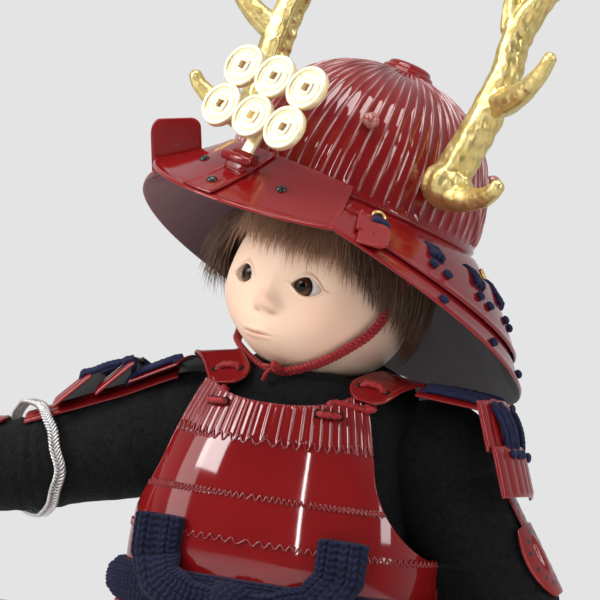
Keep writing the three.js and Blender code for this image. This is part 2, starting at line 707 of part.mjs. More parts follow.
for (const [side, arm] of Object.entries(arms)) {
  const pinHole = armWire(arm, ARM_WIRE_RADIUS + SLIDE_GAP);
  hungPiece(trunk, handFrame(arm), `hand_${side}`, cut(handSolid(arm), pinHole), skin);
}

// Arm armour: a ribbed strip on the upper arm, a plate below the elbow and a braided band

// A patch of a sleeve's surface, about the side of the arm that faces up and out.
function sleevePatch(from, direction, radiusAlong, span, facing) {
  const up = facing.clone().addScaledVector(direction, -facing.dot(direction)).normalize();
  const right = direction.clone().cross(up);
  return (u, v) => {
    const angle = degrees(span) * (u - 0.5);
    const [along, radius] = radiusAlong(v);
    const out = up.clone().multiplyScalar(Math.cos(angle)).addScaledVector(right, Math.sin(angle));
    return from.clone().addScaledVector(direction, along).addScaledVector(out, radius);
  };
}

// The sleeve's radius under the arm strip, which runs over the lower half of the upper arm.
function stripRadius(v) {
  return lerp(SHOULDER_RADIUS, ELBOW_RADIUS, lerp(0.42, 1, v)) + 0.3;
}

function armPlate(arm) {
  const facing = point(arm.side * 0.35, -0.2, 1);
  const radiusAlong = (v) => [UPPER_ARM_LENGTH * lerp(ARM_PLATE_START, ARM_PLATE_END, v), stripRadius(v)];
  const patch = sleevePatch(arm.shoulder, arm.upper, radiusAlong, ARM_PLATE_SPAN, facing);
  const columns = ARM_PLATE_RIBS * 2;
  const face = (height, rib) => (u, v) => {
    const ridge = Math.round(u * columns) % 2 === 1 ? rib : 0;
    return patch(u, v).addScaledVector(normalAt(patch, u, v), SEAT_GAP + height + ridge);
  };
  return wall(face(PLATE, GUARD_RIB_DEPTH), face(0, 0), columns, 4);
}

function elbowPlate(arm) {
  const facing = point(arm.side, arm.side > 0 ? 0.6 : -0.3, 0.5);
  const radiusAlong = (v) => {
    const along = ELBOW_PLATE_START + ELBOW_PLATE_LENGTH * v;
    return [along, lerp(ELBOW_RADIUS, WRIST_RADIUS, 0.12) + 0.6];
  };
  const patch = sleevePatch(arm.elbow, arm.fore, radiusAlong, ELBOW_PLATE_SPAN, facing);
  return sheet(patch, SEAT_GAP, PLATE, 6, 4);
}

for (const [side, arm] of Object.entries(arms)) {
  piece(trunk, `arm_plate_${side}`, armPlate(arm), lacquer);
  piece(trunk, `elbow_plate_${side}`, elbowPlate(arm), lacquer);
}

// The braided band lies loose and aslant round the sleeve at the elbow.
function armBand(arm) {
  const ringRadius = ELBOW_RADIUS + SEAT_GAP + ARM_BAND_RADIUS + ARM_BAND_SLACK;
  const slant = degrees(ARM_BAND_SLANT);
  const ring = new THREE.TorusGeometry(ringRadius, ARM_BAND_RADIUS, 6, 22);
  ring.scale(1 / Math.cos(slant), 1, 1).rotateY(slant);
  ring.translate(0, ARM_BAND_LIFT, ARM_BAND_ALONG - FOREARM_LENGTH);
  return ring.applyMatrix4(handFrame(arm));
}
piece(trunk, "arm_band_right", armBand(arms.right), silver);

// Shoulder straps: bent plates over the shoulders, tied to the breast plate by red cords

function strapPath(t) {
  const y = lerp(-STRAP_REACH, STRAP_REACH + 2, t);
  const bend = (y / STRAP_REACH) ** 2;
  return point(0, y, STRAP_TOP - STRAP_DROP * bend);
}

function shoulderStrap(side) {
  const middle = (side * STRAP_SPACING) / 2;
  const surface = (u, v) => {
    const along = strapPath(v);
    const outward = (u - 0.5) * STRAP_WIDTH;
    const slope = STRAP_SLOPE * outward;
    return point(middle + side * outward, along.y, along.z - slope);
  };
  return sheet(surface, side > 0 ? 0 : -PLATE, PLATE, 3, 6);
}

// The tie cord climbs from the breast plate's tab to the front of the strap.
function strapCord(side) {
  const tabZ = CUIRASS_HEIGHT + BREAST_TAB_RISE * 0.35;
  const clear = PLATE + TIE_CORD_RADIUS + SEAT_GAP + 0.5;
  const low = cuirassPoint(side * degrees(BREAST_SPAN * 0.52), tabZ - 5, clear);
  const high = cuirassPoint(side * degrees(BREAST_SPAN * 0.62), tabZ + 3, clear);
  const strapFront = strapPath(0.04);
  const lift = PLATE + TIE_CORD_RADIUS + SEAT_GAP;
  const over = point(side * (STRAP_SPACING / 2 - 4), strapFront.y - 3, strapFront.z + lift + 1.6);
  const end = point(side * (STRAP_SPACING / 2 - 2), strapFront.y + 7, strapPath(0.14).z + lift + 0.8);
  return cordTube([low, high, over, end], TIE_CORD_RADIUS, 9);
}

for (const [side, sign] of [["left", 1], ["right", -1]]) {
  piece(trunk, `shoulder_strap_${side}`, shoulderStrap(sign), lacquer);
  piece(trunk, `strap_cord_${side}`, strapCord(sign), redCord);
}

// Sash: a knitted band round the bottom of the cuirass, tied in front with two upright loops

// The front of the cuirass at a place across it.
function frontAt(x, z, offset) {
  const share = Math.min(Math.abs(x) / (halfWidthAt(z) + offset), 0.95);
  return -(halfDepthAt(z) + offset) * (1 - share ** CUIRASS_ROUNDNESS) ** (1 / CUIRASS_ROUNDNESS);
}

// One loop: out along the band from the knot, then upright against the breast plate.
function bowLoop(side) {
  const reach = (side * BOW_LOOP_SPACING) / 2;
  const across = [0, 0.45, 0.85, 1, 1, 1];
  const rise = [-0.08, -0.04, 0.16, 0.5, 0.8, 1];
  const rings = [];
  const bend = [0, 0.1, 0.55, 0.92, 1, 1];
  for (let k = 0; k < across.length; k++) {
    const x = BOW_ASIDE + reach * across[k];
    const z = BOW_LOOP_TOP * rise[k];
    const low = clamp(1 - z / (SASH_BOTTOM + SASH_WIDTH + 4), 0, 1);
    const y = frontAt(x, z, PLATE + 1 + SASH_THICKNESS * low) - BOW_LOOP_THICKNESS / 2;
    const turn = degrees(90 * bend[k]);
    const flat = point(side * Math.sin(turn), 0, -Math.cos(turn)).multiplyScalar(-1);
    const width = BOW_LOOP_WIDTH * lerp(0.62, 1, Math.min(1, k / 3));
    const facing = point(0, -side, 0);
    rings.push(ovalRing(point(x, y, z), flat, facing, width / 2, BOW_LOOP_THICKNESS / 2, 10, 3));
  }
  return loft(rings);
}

function sashBow() {
  const foot = point(BOW_ASIDE, frontAt(BOW_ASIDE, 0, PLATE + SASH_THICKNESS), 0);
  const knot = ball(BOW_KNOT_RADIUS, BOW_KNOT_RADIUS * 0.6, BOW_KNOT_RADIUS * 0.85, foot, 10);
  knot.translate(0, -BOW_KNOT_RADIUS * 0.55, 0);
  return cut(joined(bowLoop(-1), bowLoop(1), knot), sashBand(SEAT_GAP), ...cuirassKeepOut);
}
piece(trunk, "sash_band", sashBand(), navyKnit);
piece(trunk, "sash_bow", sashBow(), navyKnit);

// Skirt: hanging panels of stepped plates, each hinged by its cords under the sash

const skirtTop = SASH_BOTTOM - SEAT_GAP;
function skirtPanel(index) {
  const middle = ((index + 0.5) * 2 * Math.PI) / SKIRT_COUNT;
  const half = Math.PI / SKIRT_COUNT - SKIRT_SIDE_GAP / (2 * WAIST_HALF_WIDTH);
  const steps = 3;
  const rows = 2 * steps - 1;
  const face = (height) => (u, v) => {
    const row = Math.round(v * rows);
    const lame = Math.floor(row / 2);
    const down = (lame + (row % 2) * 0.98 + 0.01) / steps;
    const out = SKIRT_FLARE * down + (lame > 0 ? -0.5 * lame : 0) + height;
    const angle = middle + lerp(-half, half, u);
    const p = cuirassPoint(angle, 0, out + SKIRT_STANDOFF);
    return point(p.x, p.y, skirtTop - SKIRT_HEIGHT * down);
  };
  return wall(face(PLATE + 0.4), face(0), 6, rows);
}
const skirtNames = ["front_left", "side_left", "back_left", "back_right", "side_right", "front_right"];
for (let k = 0; k < SKIRT_COUNT; k++) {
  const middle = ((k + 0.5) * 2 * Math.PI) / SKIRT_COUNT;
  const top = cuirassPoint(middle, 0, SKIRT_STANDOFF + PLATE + 0.6);
  top.z = skirtTop;
  const outward = point(Math.sin(middle), -Math.cos(middle), 0);
  const frame = hangingFrame(top, point(0, 0, -1), outward);
  hungPiece(trunk, frame, `skirt_${skirtNames[k]}`, skirtPanel(k), lacquer);
}

// Shoulder guards: a pad plate beside each strap, then two ribbed plates hung below it

// A ribbed plate that hangs along its own +Y from its top edge, bowed outwards along +Z.
function guardPlate() {
  const columns = GUARD_RIBS * 2;
  const face = (height, rib) => (u, v) => {
    const x = GUARD_WIDTH * (u - 0.5);
    const inRib = Math.round(u * columns) % 2 === 1 && v > 0.1 && v < 0.9;
    const z = -(x * x) / (2 * GUARD_CURVE_RADIUS) + height + (inRib ? rib : 0);
    return point(x, GUARD_HEIGHT * v, z);
  };
  return wall(face(PLATE, GUARD_RIB_DEPTH), face(0, 0), columns, 3);
}

// The pad plate: level along the shoulder, bowed over it front to back.
function padPlate(side, length, slope) {
  const start = STRAP_SPACING / 2 + STRAP_WIDTH / 2 + 1;
  const top = STRAP_TOP - STRAP_SLOPE * (STRAP_WIDTH / 2) + 0.2;
  const drop = Math.tan(degrees(slope));
  const face = (height) => (u, v) => {
    const y = PAD_WIDTH * (v - 0.5);
    const out = length * u;
    return point(side * (start + out), y, top - out * drop - (y * y) / 75 + height);
  };
  return wall(face(PLATE), face(0), 4, 5);
}

function placeGuard(name, top, hang, outward) {
  const frame = hangingFrame(top, hang, outward);
  hungPiece(trunk, frame, name, guardPlate().applyMatrix4(frame), lacquer);
}

const padEnd = STRAP_SPACING / 2 + STRAP_WIDTH / 2 + 1 + LEFT_PAD_LENGTH;
const padTop = STRAP_TOP - STRAP_SLOPE * (STRAP_WIDTH / 2) + 0.2;
piece(trunk, "shoulder_pad_left", padPlate(1, LEFT_PAD_LENGTH, LEFT_PAD_SLOPE), lacquer);
piece(trunk, "shoulder_pad_right", padPlate(-1, RIGHT_PAD_LENGTH, RIGHT_PAD_SLOPE), lacquer);

const leftHang = point(Math.sin(degrees(LEFT_GUARD_LEAN)), 0, -Math.cos(degrees(LEFT_GUARD_LEAN)));
const leftOut = point(1, 0, 0);
const leftPadEdge = padTop - LEFT_PAD_LENGTH * Math.tan(degrees(LEFT_PAD_SLOPE));
const leftUpperTop = point(padEnd + LEFT_GUARD_REACH, -GUARD_FORWARD, leftPadEdge + 0.5);
const leftLowerTop = leftUpperTop.clone().addScaledVector(leftHang, GUARD_HEIGHT - GUARD_OVERLAP);
leftLowerTop.x += (PLATE + GUARD_RIB_DEPTH + SEAT_GAP) / Math.cos(degrees(LEFT_GUARD_LEAN));
placeGuard("guard_left_upper", leftUpperTop, leftHang, leftOut);
placeGuard("guard_left_lower", leftLowerTop, leftHang, leftOut);

const rightArm = arms.right;
const rightUp = point(0, 0, 1).addScaledVector(rightArm.upper, -rightArm.upper.z).normalize();
const rightHang = rightArm.upper.clone().multiplyScalar(Math.cos(degrees(RIGHT_GUARD_LEAN)));
rightHang.addScaledVector(rightUp, -Math.sin(degrees(RIGHT_GUARD_LEAN)));
function stripTop(along) {
  const v = (along / UPPER_ARM_LENGTH - ARM_PLATE_START) / (ARM_PLATE_END - ARM_PLATE_START);
  return stripRadius(v) + PLATE + GUARD_RIB_DEPTH + 2 * SEAT_GAP;
}
function rightGuardTop(along) {
  const onBone = rightArm.shoulder.clone().addScaledVector(rightArm.upper, along);
  return onBone.addScaledVector(rightUp, stripTop(along)).addScaledVector(rightHang, -GUARD_HEIGHT);
}
placeGuard("guard_right_upper", rightGuardTop(RIGHT_GUARD_UPPER_FOOT), rightHang, rightUp);
placeGuard("guard_right_lower", rightGuardTop(RIGHT_GUARD_LOWER_FOOT), rightHang, rightUp);

// Legs: stuffed trousers drawn in at the knee, gaiters with shin plates, and round-toed fur boots

function legSolid(sign, grow) {
  const hip = point((sign * LEG_SPACING) / 2, 0, 0);
  const ankle = point((sign * FOOT_SPACING) / 2, 0, 0);
  const topZ = WAIST_Z - HIP_DROP;
  const sections = [
    [BOOT_HEIGHT * 0.75, GAITER_RADIUS - 2],
    [BOOT_HEIGHT, GAITER_RADIUS - 0.6],
    [BOOT_HEIGHT + GAITER_LENGTH * 0.55, GAITER_RADIUS + 0.8],
    [KNEE_Z - 3, GAITER_RADIUS],
    [KNEE_Z, GAITER_RADIUS + 2],
    [KNEE_Z + 6, TROUSER_RADIUS * 0.82],
    [KNEE_Z + TROUSER_LENGTH * 0.3, TROUSER_RADIUS],
    [KNEE_Z + TROUSER_LENGTH * 0.75, TROUSER_RADIUS * 0.98],
    [topZ, TROUSER_RADIUS * 0.9],
  ];
  const rings = sections.map(([z, radius]) => {
    const share = clamp((z - BOOT_HEIGHT) / (topZ - BOOT_HEIGHT), 0, 1);
    const x = Math.max(lerp(Math.abs(ankle.x), Math.abs(hip.x), share), radius + 1) * sign;
    const grown = radius + grow;
    return ovalRing(point(x, 0, z - grow), point(1, 0, 0), point(0, 1, 0), grown, grown, 12);
  });
  return loft(rings);
}

// Foot frame: at the ankle, turned out at the toes, with the toes along -Y.
function footFrame(sign) {
  const turn = new THREE.Matrix4().makeRotationZ(degrees(sign * TOE_OUT));
  return turn.setPosition((sign * FOOT_SPACING) / 2, 0, 0);
}

function bootSolid(sign) {
  const sections = [
    [0, 1, 0.96],
    [1.2, 1, 1],
    [BOOT_HEIGHT * 0.3, 1, 1],
    [BOOT_HEIGHT * 0.55, 0.82, 0.96],
    [BOOT_HEIGHT * 0.8, 0.6, 0.98],
    [BOOT_HEIGHT, 0.54, 1],
  ];
  const heel = BOOT_LENGTH * 0.3;
  const rings = sections.map(([z, length, width]) => {
    const half = (BOOT_LENGTH * length) / 2;
    const halfWidth = (BOOT_WIDTH * width) / 2;
    return ovalRing(point(0, heel - half, z), point(1, 0, 0), point(0, 1, 0), halfWidth, half, 14, 2.4);
  });
  return loft(rings).applyMatrix4(footFrame(sign));
}

function shinGuard(sign) {
  const base = point((sign * FOOT_SPACING) / 2, 0, BOOT_HEIGHT + 1);
  const climb = (SHIN_GUARD_HEIGHT + 1) / (GAITER_LENGTH + TROUSER_LENGTH);
  const topX = lerp(Math.abs(base.x), LEG_SPACING / 2, climb) * sign;
  const surface = (height) => (u, v) => {
    const angle = degrees(SHIN_GUARD_SPAN) * (u - 0.5);
    const radius = GAITER_RADIUS + 0.9 + SEAT_GAP + height + 0.8 * v * v;
    const x = lerp(base.x, topX, v) + radius * Math.sin(angle);
    const cap = v > 0.99 ? 4 * Math.cos(angle) : 0;
    return point(x, -radius * Math.cos(angle), base.z + (SHIN_GUARD_HEIGHT - 4) * v + cap);
  };
  return wall(surface(PLATE), surface(0), 8, 3);
}

for (const [side, sign] of [["left", 1], ["right", -1]]) {
  piece(figure, `trouser_leg_${side}`, legSolid(sign, 0), blackCloth);
  piece(figure, `shin_guard_${side}`, shinGuard(sign), lacquer);
  piece(figure, `boot_${side}`, cut(bootSolid(sign), legSolid(sign, SEAT_GAP)), fur);
}

// Head: a smooth child doll's face on an egg-shaped head, with a neck and a turning peg

// A point of the head by latitude and by longitude from straight ahead towards the doll's left.
function headPoint(latitude, longitude, offset) {
  const below = latitude < 0;
  const level = Math.max(Math.cos(latitude), 0) ** (below ? JAW_FULLNESS : 1);
  const height = Math.sin(latitude);
  const ahead = Math.cos(longitude);
  const depth = ahead > 0 ? HEAD_FRONT : HEAD_BACK;
  const bump = (lat, lon, size, spread) => {
    const far = Math.hypot(latitude - degrees(lat), (longitude - degrees(lon)) * level);
    return size * Math.exp(-((far / degrees(spread)) ** 2));
  };
  const cheeks = bump(-22, 46, CHEEK_FULLNESS, 25) + bump(-22, -46, CHEEK_FULLNESS, 25);
  const sockets = bump(-EYE_DROP, EYE_SPAN, -1.6, 11) + bump(-EYE_DROP, -EYE_SPAN, -1.6, 11);
  const chin = bump(-48, 0, 2.4, 15);
  const nose = bump(-17, 0, NOSE_LENGTH, 8.5);
  const lips = bump(-31, 0, 1, 7);
  const jaw = below ? 1 - 0.12 * height * height : 1;
  const grow = offset + cheeks + sockets + chin + nose + lips;
  const x = (HEAD_HALF_WIDTH * jaw + grow) * level * Math.sin(longitude);
  const y = -(depth + grow) * level * ahead;
  const z = ((below ? HEAD_DOWN : HEAD_UP) + offset) * height;
  return point(x, y, z);
}

function headShell(offset, columns, rows) {
  const rings = [];
  for (let j = 0; j <= rows; j++) {
    const latitude = degrees(-90 + (180 * j) / rows);
    const ring = [];
    for (let i = 0; i < columns; i++) ring.push(headPoint(latitude, (2 * Math.PI * i) / columns, offset));
    rings.push(j === 0 || j === rows ? [headPoint(latitude, 0, offset)] : ring);
  }
  return loft(rings);
}

function eyeCentre(sign) {
  const surface = headPoint(degrees(-EYE_DROP), sign * degrees(EYE_SPAN), 0);
  const inward = surface.clone().normalize();
  return surface.addScaledVector(inward, -EYE_DEPTH - 1.4);
}

const neck = bar(point(0, 0, -NECK_LENGTH), point(0, 0, -HEAD_DOWN * 0.6), NECK_RADIUS, 16);
const pegHole = bar(
  point(0, 0, -NECK_LENGTH - 1),
  point(0, 0, -NECK_LENGTH + NECK_PEG_ABOVE + SEAT_GAP),
  NECK_PEG_RADIUS + SLIDE_GAP,
  12,
);
const eyeSockets = [1, -1].map((sign) => {
  const grown = EYE_RADIUS + SEAT_GAP;
  return ball(grown, grown, grown, eyeCentre(sign), 10);
});
piece(head, "head", cut(joined(headShell(0, 24, 15), neck), pegHole, ...eyeSockets), skin);
for (const [side, sign] of [["left", 1], ["right", -1]]) {
  const eye = ball(EYE_RADIUS, EYE_RADIUS, EYE_RADIUS, eyeCentre(sign), 10);
  const shaped = toSolid(eye).intersect(toSolid(headShell(0.8, 24, 15)));
  piece(head, `eye_${side}`, toGeometry(shaped), glassBrown);
}
const pegBottom = point(0, 0, -NECK_LENGTH - NECK_PEG_BELOW);
const pegTop = point(0, 0, -NECK_LENGTH + NECK_PEG_ABOVE);
const neckPeg = bar(pegBottom, pegTop, NECK_PEG_RADIUS, 12).applyMatrix4(head.matrix);
piece(trunk, "neck_peg", neckPeg, wood);

// Hair: a cap of planted strands with a fringe above the eyes and locks before the ears
function hairCap() {
  const columns = 26;
  const rows = 4;
  const hairEdge = (longitude) => {
    const ahead = Math.cos(longitude);
    const around = Math.abs(THREE.MathUtils.radToDeg(Math.atan2(Math.sin(longitude), ahead)));
    const fringe = degrees(FRINGE_HEIGHT + (around < 40 ? 2 * (around % 8 < 4 ? 1 : -1) : 0));
    const lock = degrees(-SIDEBURN_DROP - 10);
    return lerp(fringe, lock, THREE.MathUtils.smoothstep(around, 58, 80));
  };
  const face = (offset) => (u, v) => {
    const longitude = 2 * Math.PI * u;
    const edge = hairEdge(longitude);
    const latitude = lerp(edge, degrees(74), v);
    const strand = Math.round(u * columns) % 2 === 0 ? 0.35 : -0.35;
    return headPoint(latitude, longitude, offset > HAIR_STANDOFF ? offset + strand * (1 - v) : offset);
  };
  return wall(face(HAIR_THICKNESS), face(HAIR_STANDOFF), columns, rows, true);
}
piece(head, "hair", cut(hairCap(), headShell(SEAT_GAP, 24, 15)), hairFinish);

// Helmet: a ribbed bowl over the hair, with a visor, a laced neck guard and turned-back ends

const helmet = new THREE.Group();
helmet.position.set(HELMET_SIDE, HELMET_BACK, HELMET_UP);
helmet.rotation.set(degrees(HELMET_TILT), degrees(HELMET_LEAN), degrees(HELMET_TURN), "ZYX");
head.add(helmet);

// A point about the helmet's axis, at an angle from straight ahead towards the doll's left.
function helmetPoint(angle, radiusScale, z, offset = 0) {
  const x = (BOWL_HALF_WIDTH * radiusScale + offset) * Math.sin(angle);
  const y = -(BOWL_HALF_DEPTH * radiusScale + offset) * Math.cos(angle);
  return point(x, y, z);
}

// The bowl's profile: straight in the rim band, then an oval dome.
function bowlProfile(t) {
  const dome = degrees(90 * clamp((t - 0.12) / 0.88, 0, 1));
  const z = t < 0.12 ? lerp(-BOWL_BAND, 0, t / 0.12) : BOWL_HEIGHT * Math.sin(dome) ** 0.96;
  const scale = Math.cos(dome) ** 0.82;
  return [Math.max(scale, 0.02), z];
}

// Thin upright ribs on a smooth dome, open at the crown and plain inside.
function bowlSolid() {
  const step = (2 * Math.PI) / BOWL_RIBS;
  const holeStop = 1 - (0.55 * CROWN_HOLE_RADIUS) / BOWL_HALF_WIDTH;
  const plain = (t, offset) => {
    const [scale, z] = bowlProfile(t);
    const ring = [];
    for (let k = 0; k < BOWL_RIBS; k += 2) ring.push(helmetPoint(k * step, scale, z, offset));
    return ring;
  };
  const ribbed = (t, depth) => {
    const [scale, z] = bowlProfile(t);
    const half = Math.min(BOWL_RIB_WIDTH / 2 / (BOWL_HALF_WIDTH * scale), step * 0.4);
    const ring = [];
    for (let k = 0; k < BOWL_RIBS; k++) {
      const middle = (k + 0.5) * step;
      ring.push(helmetPoint(middle - half, scale, z));
      ring.push(helmetPoint(middle, scale, z + depth * (1 - scale), depth));
      ring.push(helmetPoint(middle + half, scale, z));
    }
    return ring;
  };
  const foot = ribbed(0.12, 0);
  const outside = [0, 1, 2, 3, 4].map((k) => ribbed(lerp(0.21, 0.91, k / 4), BOWL_RIB_DEPTH));
  const inside = [holeStop, 0.72, 0.5, 0.29, 0.12, 0].map((t) => plain(t, -BOWL_WALL));
  return ringSkin([plain(0, 0), foot, ...outside, plain(holeStop, 0), ...inside]);
}
piece(helmet, "helmet_bowl", bowlSolid(), lacquer);

function bowlKeepOut(extra) {
  const rings = [];
  for (let j = 0; j <= 9; j++) {
    const [scale, z] = bowlProfile(j / 9);
    const ring = [];
    const lifted = z + extra * (1 - scale);
    for (let i = 0; i < 36; i++) ring.push(helmetPoint((2 * Math.PI * i) / 36, scale, lifted, extra));
    rings.push(j < 9 ? ring : [point(0, 0, z + extra)]);
  }
  return loft(rings);
}

// A low turned knob with a stem down through the crown hole.
const capBase = BOWL_HEIGHT - 1.2;
const capOutline = [
  [0, -6],
  [CROWN_HOLE_RADIUS * 0.6, -6],
  [CROWN_HOLE_RADIUS * 0.6, SEAT_GAP + 1.4],
  [CROWN_CAP_RADIUS, SEAT_GAP - 1.4],
  [CROWN_CAP_RADIUS, SEAT_GAP + CROWN_CAP_HEIGHT * 0.25],
  [CROWN_CAP_RADIUS * 0.8, SEAT_GAP + CROWN_CAP_HEIGHT * 0.5],
  [CROWN_CAP_RADIUS * 0.72, SEAT_GAP + CROWN_CAP_HEIGHT * 0.9],
  [0, SEAT_GAP + CROWN_CAP_HEIGHT],
].map(([r, z]) => new THREE.Vector2(r, z + capBase));
const crownCap = new THREE.LatheGeometry(capOutline, 18).rotateX(Math.PI / 2);
piece(helmet, "crown_cap", cut(crownCap, bowlKeepOut(BOWL_RIB_DEPTH + SEAT_GAP)), lacquer);

// Visor: a brim that slopes down and out from the front of the rim band.
function visorSurface(u, v) {
  const side = 2 * u - 1;
  const angle = degrees(VISOR_HALF_SPAN) * side;
  const reach = lerp(VISOR_WIDTH, VISOR_END_WIDTH, side * side) * v;
  const root = helmetPoint(angle, 1, 0, VISOR_STANDOFF);
  const out = point(Math.sin(angle), -Math.cos(angle), 0);
  const drop = VISOR_DROP * (v + 0.25 * v * (1 - v)) * lerp(1, VISOR_END_SHARE, side * side);
  return root.addScaledVector(out, reach).add(point(0, 0, VISOR_ROOT_RISE - drop));
}
piece(helmet, "helmet_visor", sheet(visorSurface, 0, -PLATE, 14, 4), lacquer);

// Neck guard: three flaring bands, each hung by lacing from the one above.
function neckGuardPoint(angle, share, offset) {
  const ahead = Math.cos(angle);
  const bottom = -NECK_GUARD_SIDE_DROP + NECK_GUARD_TILT * ahead + NECK_GUARD_SWAY * Math.sin(angle);
  const z = lerp(-BOWL_BAND * 0.45, bottom, share);
  const spread = (NECK_GUARD_FLARE - NECK_GUARD_BACK_FLARE * ahead) * share ** 0.85;
  return helmetPoint(angle, 1, z, NECK_GUARD_STANDOFF + spread + offset);
}

function neckGuardBand(front, from, to, lift) {
  const surface = (height) => (u, v) => {
    const angle = lerp(degrees(front), degrees(360 - front), u);
    const corner = Math.min(1, Math.min(u, 1 - u) * 14);
    const low = lerp(lerp(from, to, 0.72), to, Math.sqrt(corner));
    const p = neckGuardPoint(angle, lerp(from, low, v), 0);
    const out = neckGuardPoint(angle, lerp(from, low, v), 1).sub(p);
    return p.addScaledVector(out, height * 0.72).add(point(0, 0, height * 0.69));
  };
  return wall(surface(lift + PLATE), surface(lift), 20, 3);
}
piece(helmet, "neck_guard_upper", neckGuardBand(NECK_GUARD_FRONT, 0, 0.34, 0), lacquer);
const middleBand = neckGuardBand(NECK_GUARD_FRONT + 12, 0.22, 0.74, NECK_GUARD_STEP);
piece(helmet, "neck_guard_middle", middleBand, lacquer);
piece(helmet, "neck_guard_lower", neckGuardBand(NECK_GUARD_FRONT + 9, 0.66, 1, 0), lacquer);

// Turned-back ends: the neck guard's front ends, folded back along a line down its slope.
function turnback(sign, { width, height, start, fold, spin, drop }) {
  const w = width / 2;
  const h = height / 2;
  const outline = new THREE.Shape();
  outline.absarc(w - TURNBACK_CORNER, h - TURNBACK_CORNER, TURNBACK_CORNER, 0, Math.PI / 2);
  outline.absarc(-w + TURNBACK_CORNER, h - TURNBACK_CORNER, TURNBACK_CORNER, Math.PI / 2, Math.PI);
  outline.lineTo(-w, -h);
  outline.lineTo(w, -h - drop);
  const plate = new THREE.ExtrudeGeometry(outline, { depth: PLATE, bevelEnabled: false, curveSegments: 3 });
  plate.translate(w, h, -PLATE / 2).rotateZ(degrees(spin));
  const front = sign * degrees(NECK_GUARD_FRONT + 2);
  const foot = neckGuardPoint(front, start, 0);
  const slope = neckGuardPoint(front, start + 0.32, 0).sub(foot).normalize();
  const backward = neckGuardPoint(front + sign * 0.05, start, 0).sub(foot).normalize();
  const outward = slope.clone().cross(backward).multiplyScalar(sign).normalize();
  backward.copy(outward).cross(slope).multiplyScalar(sign).normalize();
  const turn = degrees(fold);
  const rise = backward.multiplyScalar(Math.cos(turn)).addScaledVector(outward, Math.sin(turn));
  const lift = PLATE + SEAT_GAP + (PLATE / 2) * Math.abs(Math.cos(turn)) - 0.2;
  const seat = foot.addScaledVector(outward, lift);
  const frame = new THREE.Matrix4().makeBasis(slope, rise, slope.clone().cross(rise)).setPosition(seat);
  return plate.applyMatrix4(frame);
}
piece(helmet, "turnback_left", turnback(1, LEFT_TURNBACK), lacquer);
piece(helmet, "turnback_right", turnback(-1, RIGHT_TURNBACK), lacquer);

// Antlers: carved beams with three tines, each pushed on a peg at the side of the bowl

// Where an antler sits on the bowl, and the way it pulls off its peg: the frame's Z axis.
function antlerSeat(sign) {
  const angle = degrees(ANTLER_SEAT_ANGLE) * sign;
  const bowlScale = Math.sqrt(1 - (ANTLER_SEAT_HEIGHT / BOWL_HEIGHT) ** 2);
  const seat = helmetPoint(angle, bowlScale, ANTLER_SEAT_HEIGHT);
  const out = point(Math.sin(angle), -Math.cos(angle), 0);
  const frame = hangingFrame(seat, point(0, 0, -1), out);
  return { seat, out, frame };
}

function antler(sign) {
  const { seat, out } = antlerSeat(sign);
  const across = point(sign, 0, 0);
  const foot = seat.clone().addScaledVector(out, ANTLER_BURR_RADIUS * 0.72);
  const at = (spread, forward, rise) => {
    const p = foot.clone().addScaledVector(across, spread * ANTLER_SPREAD);
    return p.add(point(0, -forward, rise * ANTLER_HEIGHT));
  };
  const thin = (from, to, power) => (t) => ANTLER_BEAM_RADIUS * lerp(from, to, t ** power);
  const tine = (points, from, to) => taperedTube(points, thin(from, to, 0.9), 6, 5);
  const lowBeam = [at(0, 0, 0), at(0.16, 0, 0.2), at(0.2, 0, 0.31), at(0.21, 0, 0.39), at(0.12, 0, 0.5)];
  const highBeam = [at(0.3, 0, 0.645), at(0.68, -3, 0.78), at(0.9, -5, 0.9)];
  const beam = taperedTube([...lowBeam, ...highBeam], thin(1.05, 0.5, 1.4), 7, 11);
  const browEnd = [at(1.1, 8, 0.02), at(1.32, 11, 0.06)];
  const brow = tine([at(0.1, 1, -0.03), at(0.75, 4, -0.008), ...browEnd], 0.8, 0.36);
  const middleBend = [at(0.54, 4, 0.3), at(0.92, 9, 0.34), at(1.25, 14, 0.4)];
  const middle = tine([at(0.19, 0, 0.28), ...middleBend, at(1.42, 17.5, 0.47)], 0.82, 0.34);
  const innerEnd = [at(-0.25, 2, 0.66), at(-0.38, 4, 0.8)];
  const inner = tine([at(0.12, 0, 0.48), at(-0.1, 1, 0.57), ...innerEnd], 0.85, 0.34);
  const burr = ball(ANTLER_BURR_RADIUS, ANTLER_BURR_RADIUS, ANTLER_BURR_RADIUS * 0.72, foot, 10);
  const holeEnd = seat.clone().addScaledVector(out, ANTLER_PEG_LENGTH + SEAT_GAP);
  const pegHole = bar(seat, holeEnd, ANTLER_PEG_RADIUS + SLIDE_GAP);
  return cut(joined(beam, brow, middle, inner, burr), bowlKeepOut(BOWL_RIB_DEPTH + SEAT_GAP), pegHole);
}

for (const [side, sign] of [["left", 1], ["right", -1]]) {
  const { seat, out, frame } = antlerSeat(sign);
  hungPiece(helmet, frame, `antler_${side}`, antler(sign), gilt);
  const pegEnd = seat.clone().addScaledVector(out, ANTLER_PEG_LENGTH);
  const peg = bar(seat.clone().addScaledVector(out, -3), pegEnd, ANTLER_PEG_RADIUS);
  piece(helmet, `antler_peg_${side}`, cut(peg, bowlKeepOut(BOWL_RIB_DEPTH + SEAT_GAP)), wood);
}

// Crest: six coins in two rows on a stem that drops into a holder on the visor

const holderFoot = visorSurface(0.5, HOLDER_REACH / VISOR_WIDTH);
const visorDown = visorSurface(0.5, 0.7).sub(visorSurface(0.5, 0.1)).normalize();
const crest = new THREE.Group();
crest.position.copy(holderFoot);
crest.rotation.x = -degrees(CREST_LEAN);
helmet.add(crest);

